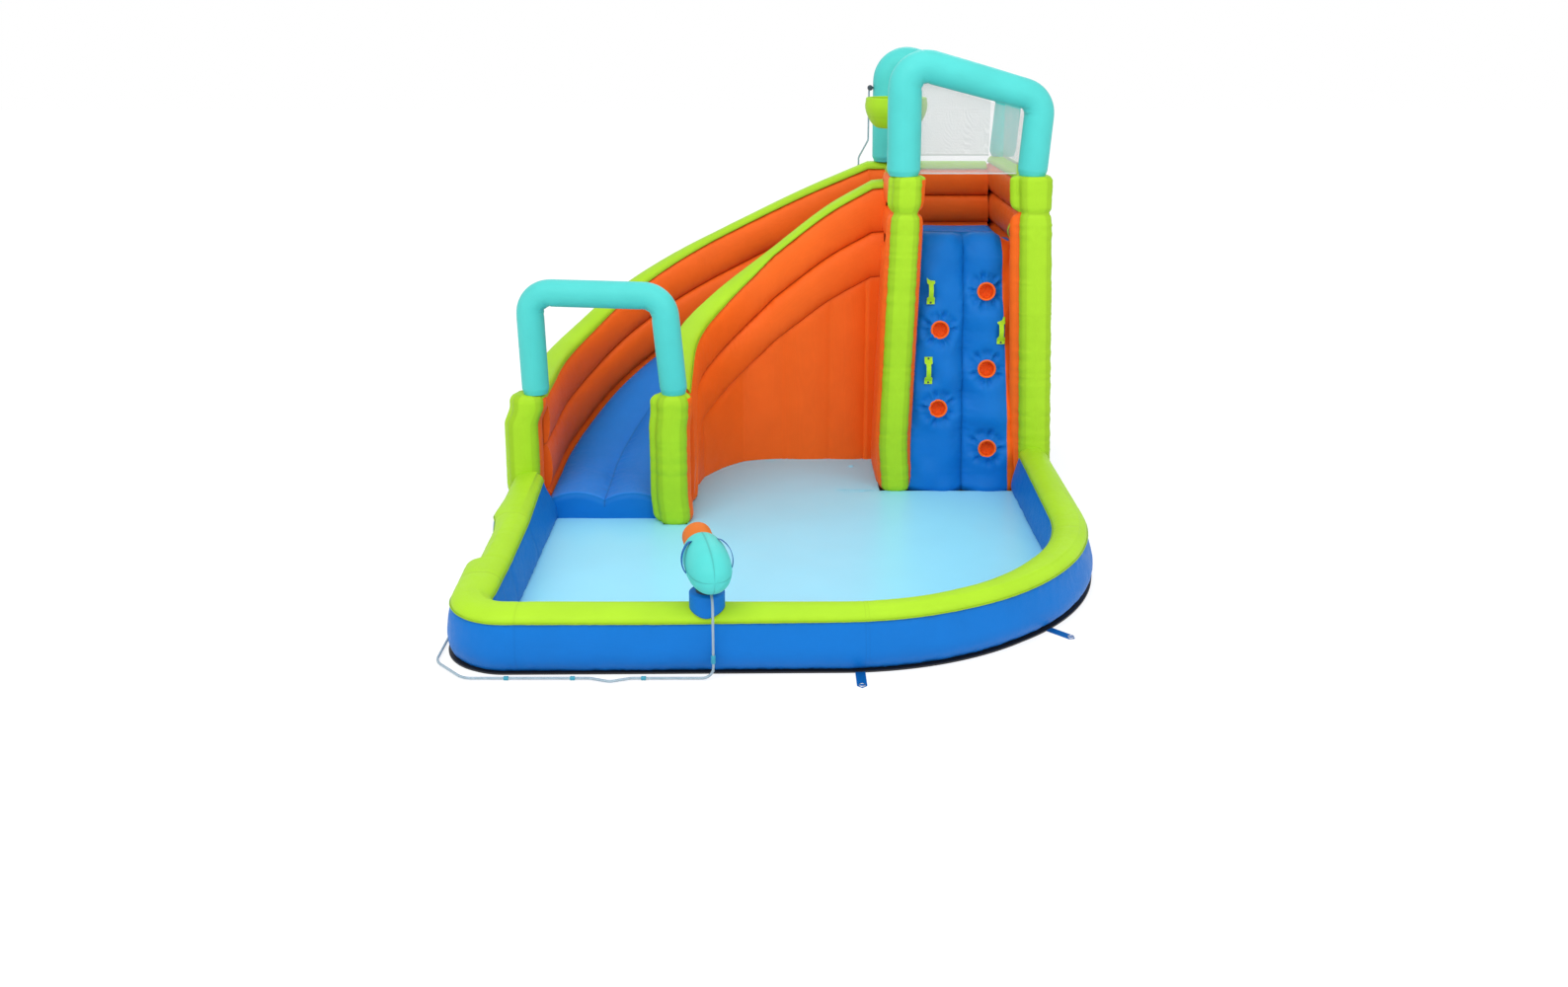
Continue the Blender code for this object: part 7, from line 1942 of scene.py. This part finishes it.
def build_stage():
    """Camera, pale floor and soft lights."""
    scene = bpy.context.scene
    camera = bpy.data.cameras.new("camera")
    camera.sensor_width = SENSOR
    camera.lens = SENSOR * FOCAL_PIXELS / FRAME_WIDTH
    camera.shift_x = (FRAME_WIDTH / 2 - AXIS_PIXEL[0]) / FRAME_WIDTH
    camera.shift_y = (AXIS_PIXEL[1] - FRAME_HEIGHT / 2) / FRAME_WIDTH
    scene.camera = linked("camera", camera)
    scene.camera.location = CAMERA_PLACE
    scene.camera.rotation_euler = (math.radians(90.0 - CAMERA_PITCH), 0.0, 0.0)
    scene.view_settings.view_transform = "Standard"

    scene.world = bpy.data.worlds.new("studio")
    scene.world.use_nodes = True
    tree = scene.world.node_tree
    path = add_node(tree, "ShaderNodeLightPath").outputs
    seen = maths(tree, "MAXIMUM", path["Is Camera Ray"], path["Is Transmission Ray"])
    level = in_range(tree, seen, 0.84, 1.0)
    wire(tree, tree.nodes["Background"], {"Color": (1.0, 1.0, 1.0, 1.0), "Strength": level})

    for name, place, target, size, power in LIGHTS:
        light = bpy.data.lights.new(name, "AREA")
        light.size = size
        light.energy = power
        lamp = linked(name, light)
        lamp.location = place
        lamp.rotation_euler = (Vector(target) - Vector(place)).to_track_quat("-Z", "Y").to_euler()

    bm = bmesh.new()
    bmesh.ops.create_grid(bm, x_segments=8, y_segments=8, size=40.0)
    floor = linked("studio_floor", mesh_of(bm, "floor"))
    floor.location.z = -0.0005
    material = bpy.data.materials.new("studio_floor")
    material.use_nodes = True
    tree = material.node_tree
    tree.nodes.clear()
    path = add_node(tree, "ShaderNodeLightPath").outputs
    seen = maths(tree, "MAXIMUM", path["Is Camera Ray"], path["Is Glossy Ray"])
    share = maths(tree, "MULTIPLY", seen, 0.62)
    diffuse = add_node(tree, "ShaderNodeBsdfDiffuse", {"Color": (0.88, 0.88, 0.88, 1.0)}).outputs[0]
    glow = add_node(tree, "ShaderNodeEmission", {"Color": (1.0, 1.0, 1.0, 1.0), "Strength": 1.2}).outputs[0]
    mix = add_node(tree, "ShaderNodeMixShader", {0: share, 1: diffuse, 2: glow}).outputs[0]
    add_node(tree, "ShaderNodeOutputMaterial", {"Surface": mix})
    floor.data.materials.append(material)


# Operators: each builds one group of pieces


class WATERPARK_OT_stage(bpy.types.Operator):
    """Make the camera, the floor and the lights"""

    bl_idname = "waterpark.stage"
    bl_label = "Stage"

    def execute(self, context):
        build_stage()
        return {"FINISHED"}


class WATERPARK_OT_base(bpy.types.Operator):
    """Make the base sheet, the floor sheet and the anchor loops"""

    bl_idname = "waterpark.base"
    bl_label = "Base and Floor"

    def execute(self, context):
        build_base_sheets()
        build_loops()
        return {"FINISHED"}


class WATERPARK_OT_pool(bpy.types.Operator):
    """Make the pool's wall and its band"""

    bl_idname = "waterpark.pool"
    bl_label = "Pool Wall"

    def execute(self, context):
        build_pool_wall()
        return {"FINISHED"}


class WATERPARK_OT_slide(bpy.types.Operator):
    """Make the slide's bed, walls, skin, posts and arch"""

    bl_idname = "waterpark.slide"
    bl_label = "Slide"

    def execute(self, context):
        build_slide_bed()
        build_inner_wall()
        build_outer_wall()
        build_outer_skin()
        build_slide_posts()
        return {"FINISHED"}


class WATERPARK_OT_tower(bpy.types.Operator):
    """Make the tower's walls, posts, climbing wall, platform, arches and nets"""

    bl_idname = "waterpark.tower"
    bl_label = "Tower"

    def execute(self, context):
        build_tower_walls()
        build_tower_posts()
        build_climbing_wall()
        build_footholds()
        build_handles()
        build_platform()
        build_arches()
        build_nets()
        return {"FINISHED"}


class WATERPARK_OT_water(bpy.types.Operator):
    """Make the bucket, the water cannon, the hoses and their fittings"""

    bl_idname = "waterpark.water"
    bl_label = "Water Fittings"

    def execute(self, context):
        build_bucket()
        build_cannon()
        build_pedestal()
        build_fittings()
        return {"FINISHED"}


class WATERPARK_OT_blower(bpy.types.Operator):
    """Finish the fan blower and its sleeve"""

    bl_idname = "waterpark.blower"
    bl_label = "Blower"

    def execute(self, context):
        build_blower()
        build_sleeve()
        return {"FINISHED"}


STEPS = (
    WATERPARK_OT_stage,
    WATERPARK_OT_base,
    WATERPARK_OT_pool,
    WATERPARK_OT_slide,
    WATERPARK_OT_tower,
    WATERPARK_OT_water,
    WATERPARK_OT_blower,
)


class WATERPARK_PT_panel(bpy.types.Panel):
    """Panel that lists the park's settings and groups of pieces"""

    bl_idname = "WATERPARK_PT_panel"
    bl_label = "Water Park"
    bl_space_type = "VIEW_3D"
    bl_region_type = "UI"
    bl_category = "Water Park"

    def draw(self, context):
        for group in (context.scene.park_sizes, context.scene.park_colours):
            for key in group.__annotations__:
                self.layout.prop(group, key)
        for step in STEPS:
            self.layout.operator(step.bl_idname)


CLASSES = (ParkColours, ParkSizes, *STEPS, WATERPARK_PT_panel)


def register():
    """Register the classes and hang the settings on the scene."""
    for item in CLASSES:
        bpy.utils.register_class(item)
    bpy.types.Scene.park_colours = PointerProperty(type=ParkColours)
    bpy.types.Scene.park_sizes = PointerProperty(type=ParkSizes)


def unregister():
    """Take the settings and the classes away."""
    del bpy.types.Scene.park_colours
    del bpy.types.Scene.park_sizes
    for item in reversed(CLASSES):
        bpy.utils.unregister_class(item)


def main():
    """Register everything and build the whole park."""
    register()
    for step in STEPS:
        group, action = step.bl_idname.split(".")
        getattr(getattr(bpy.ops, group), action)()
    bpy.context.view_layer.update()


if __name__ == "__main__":
    main()
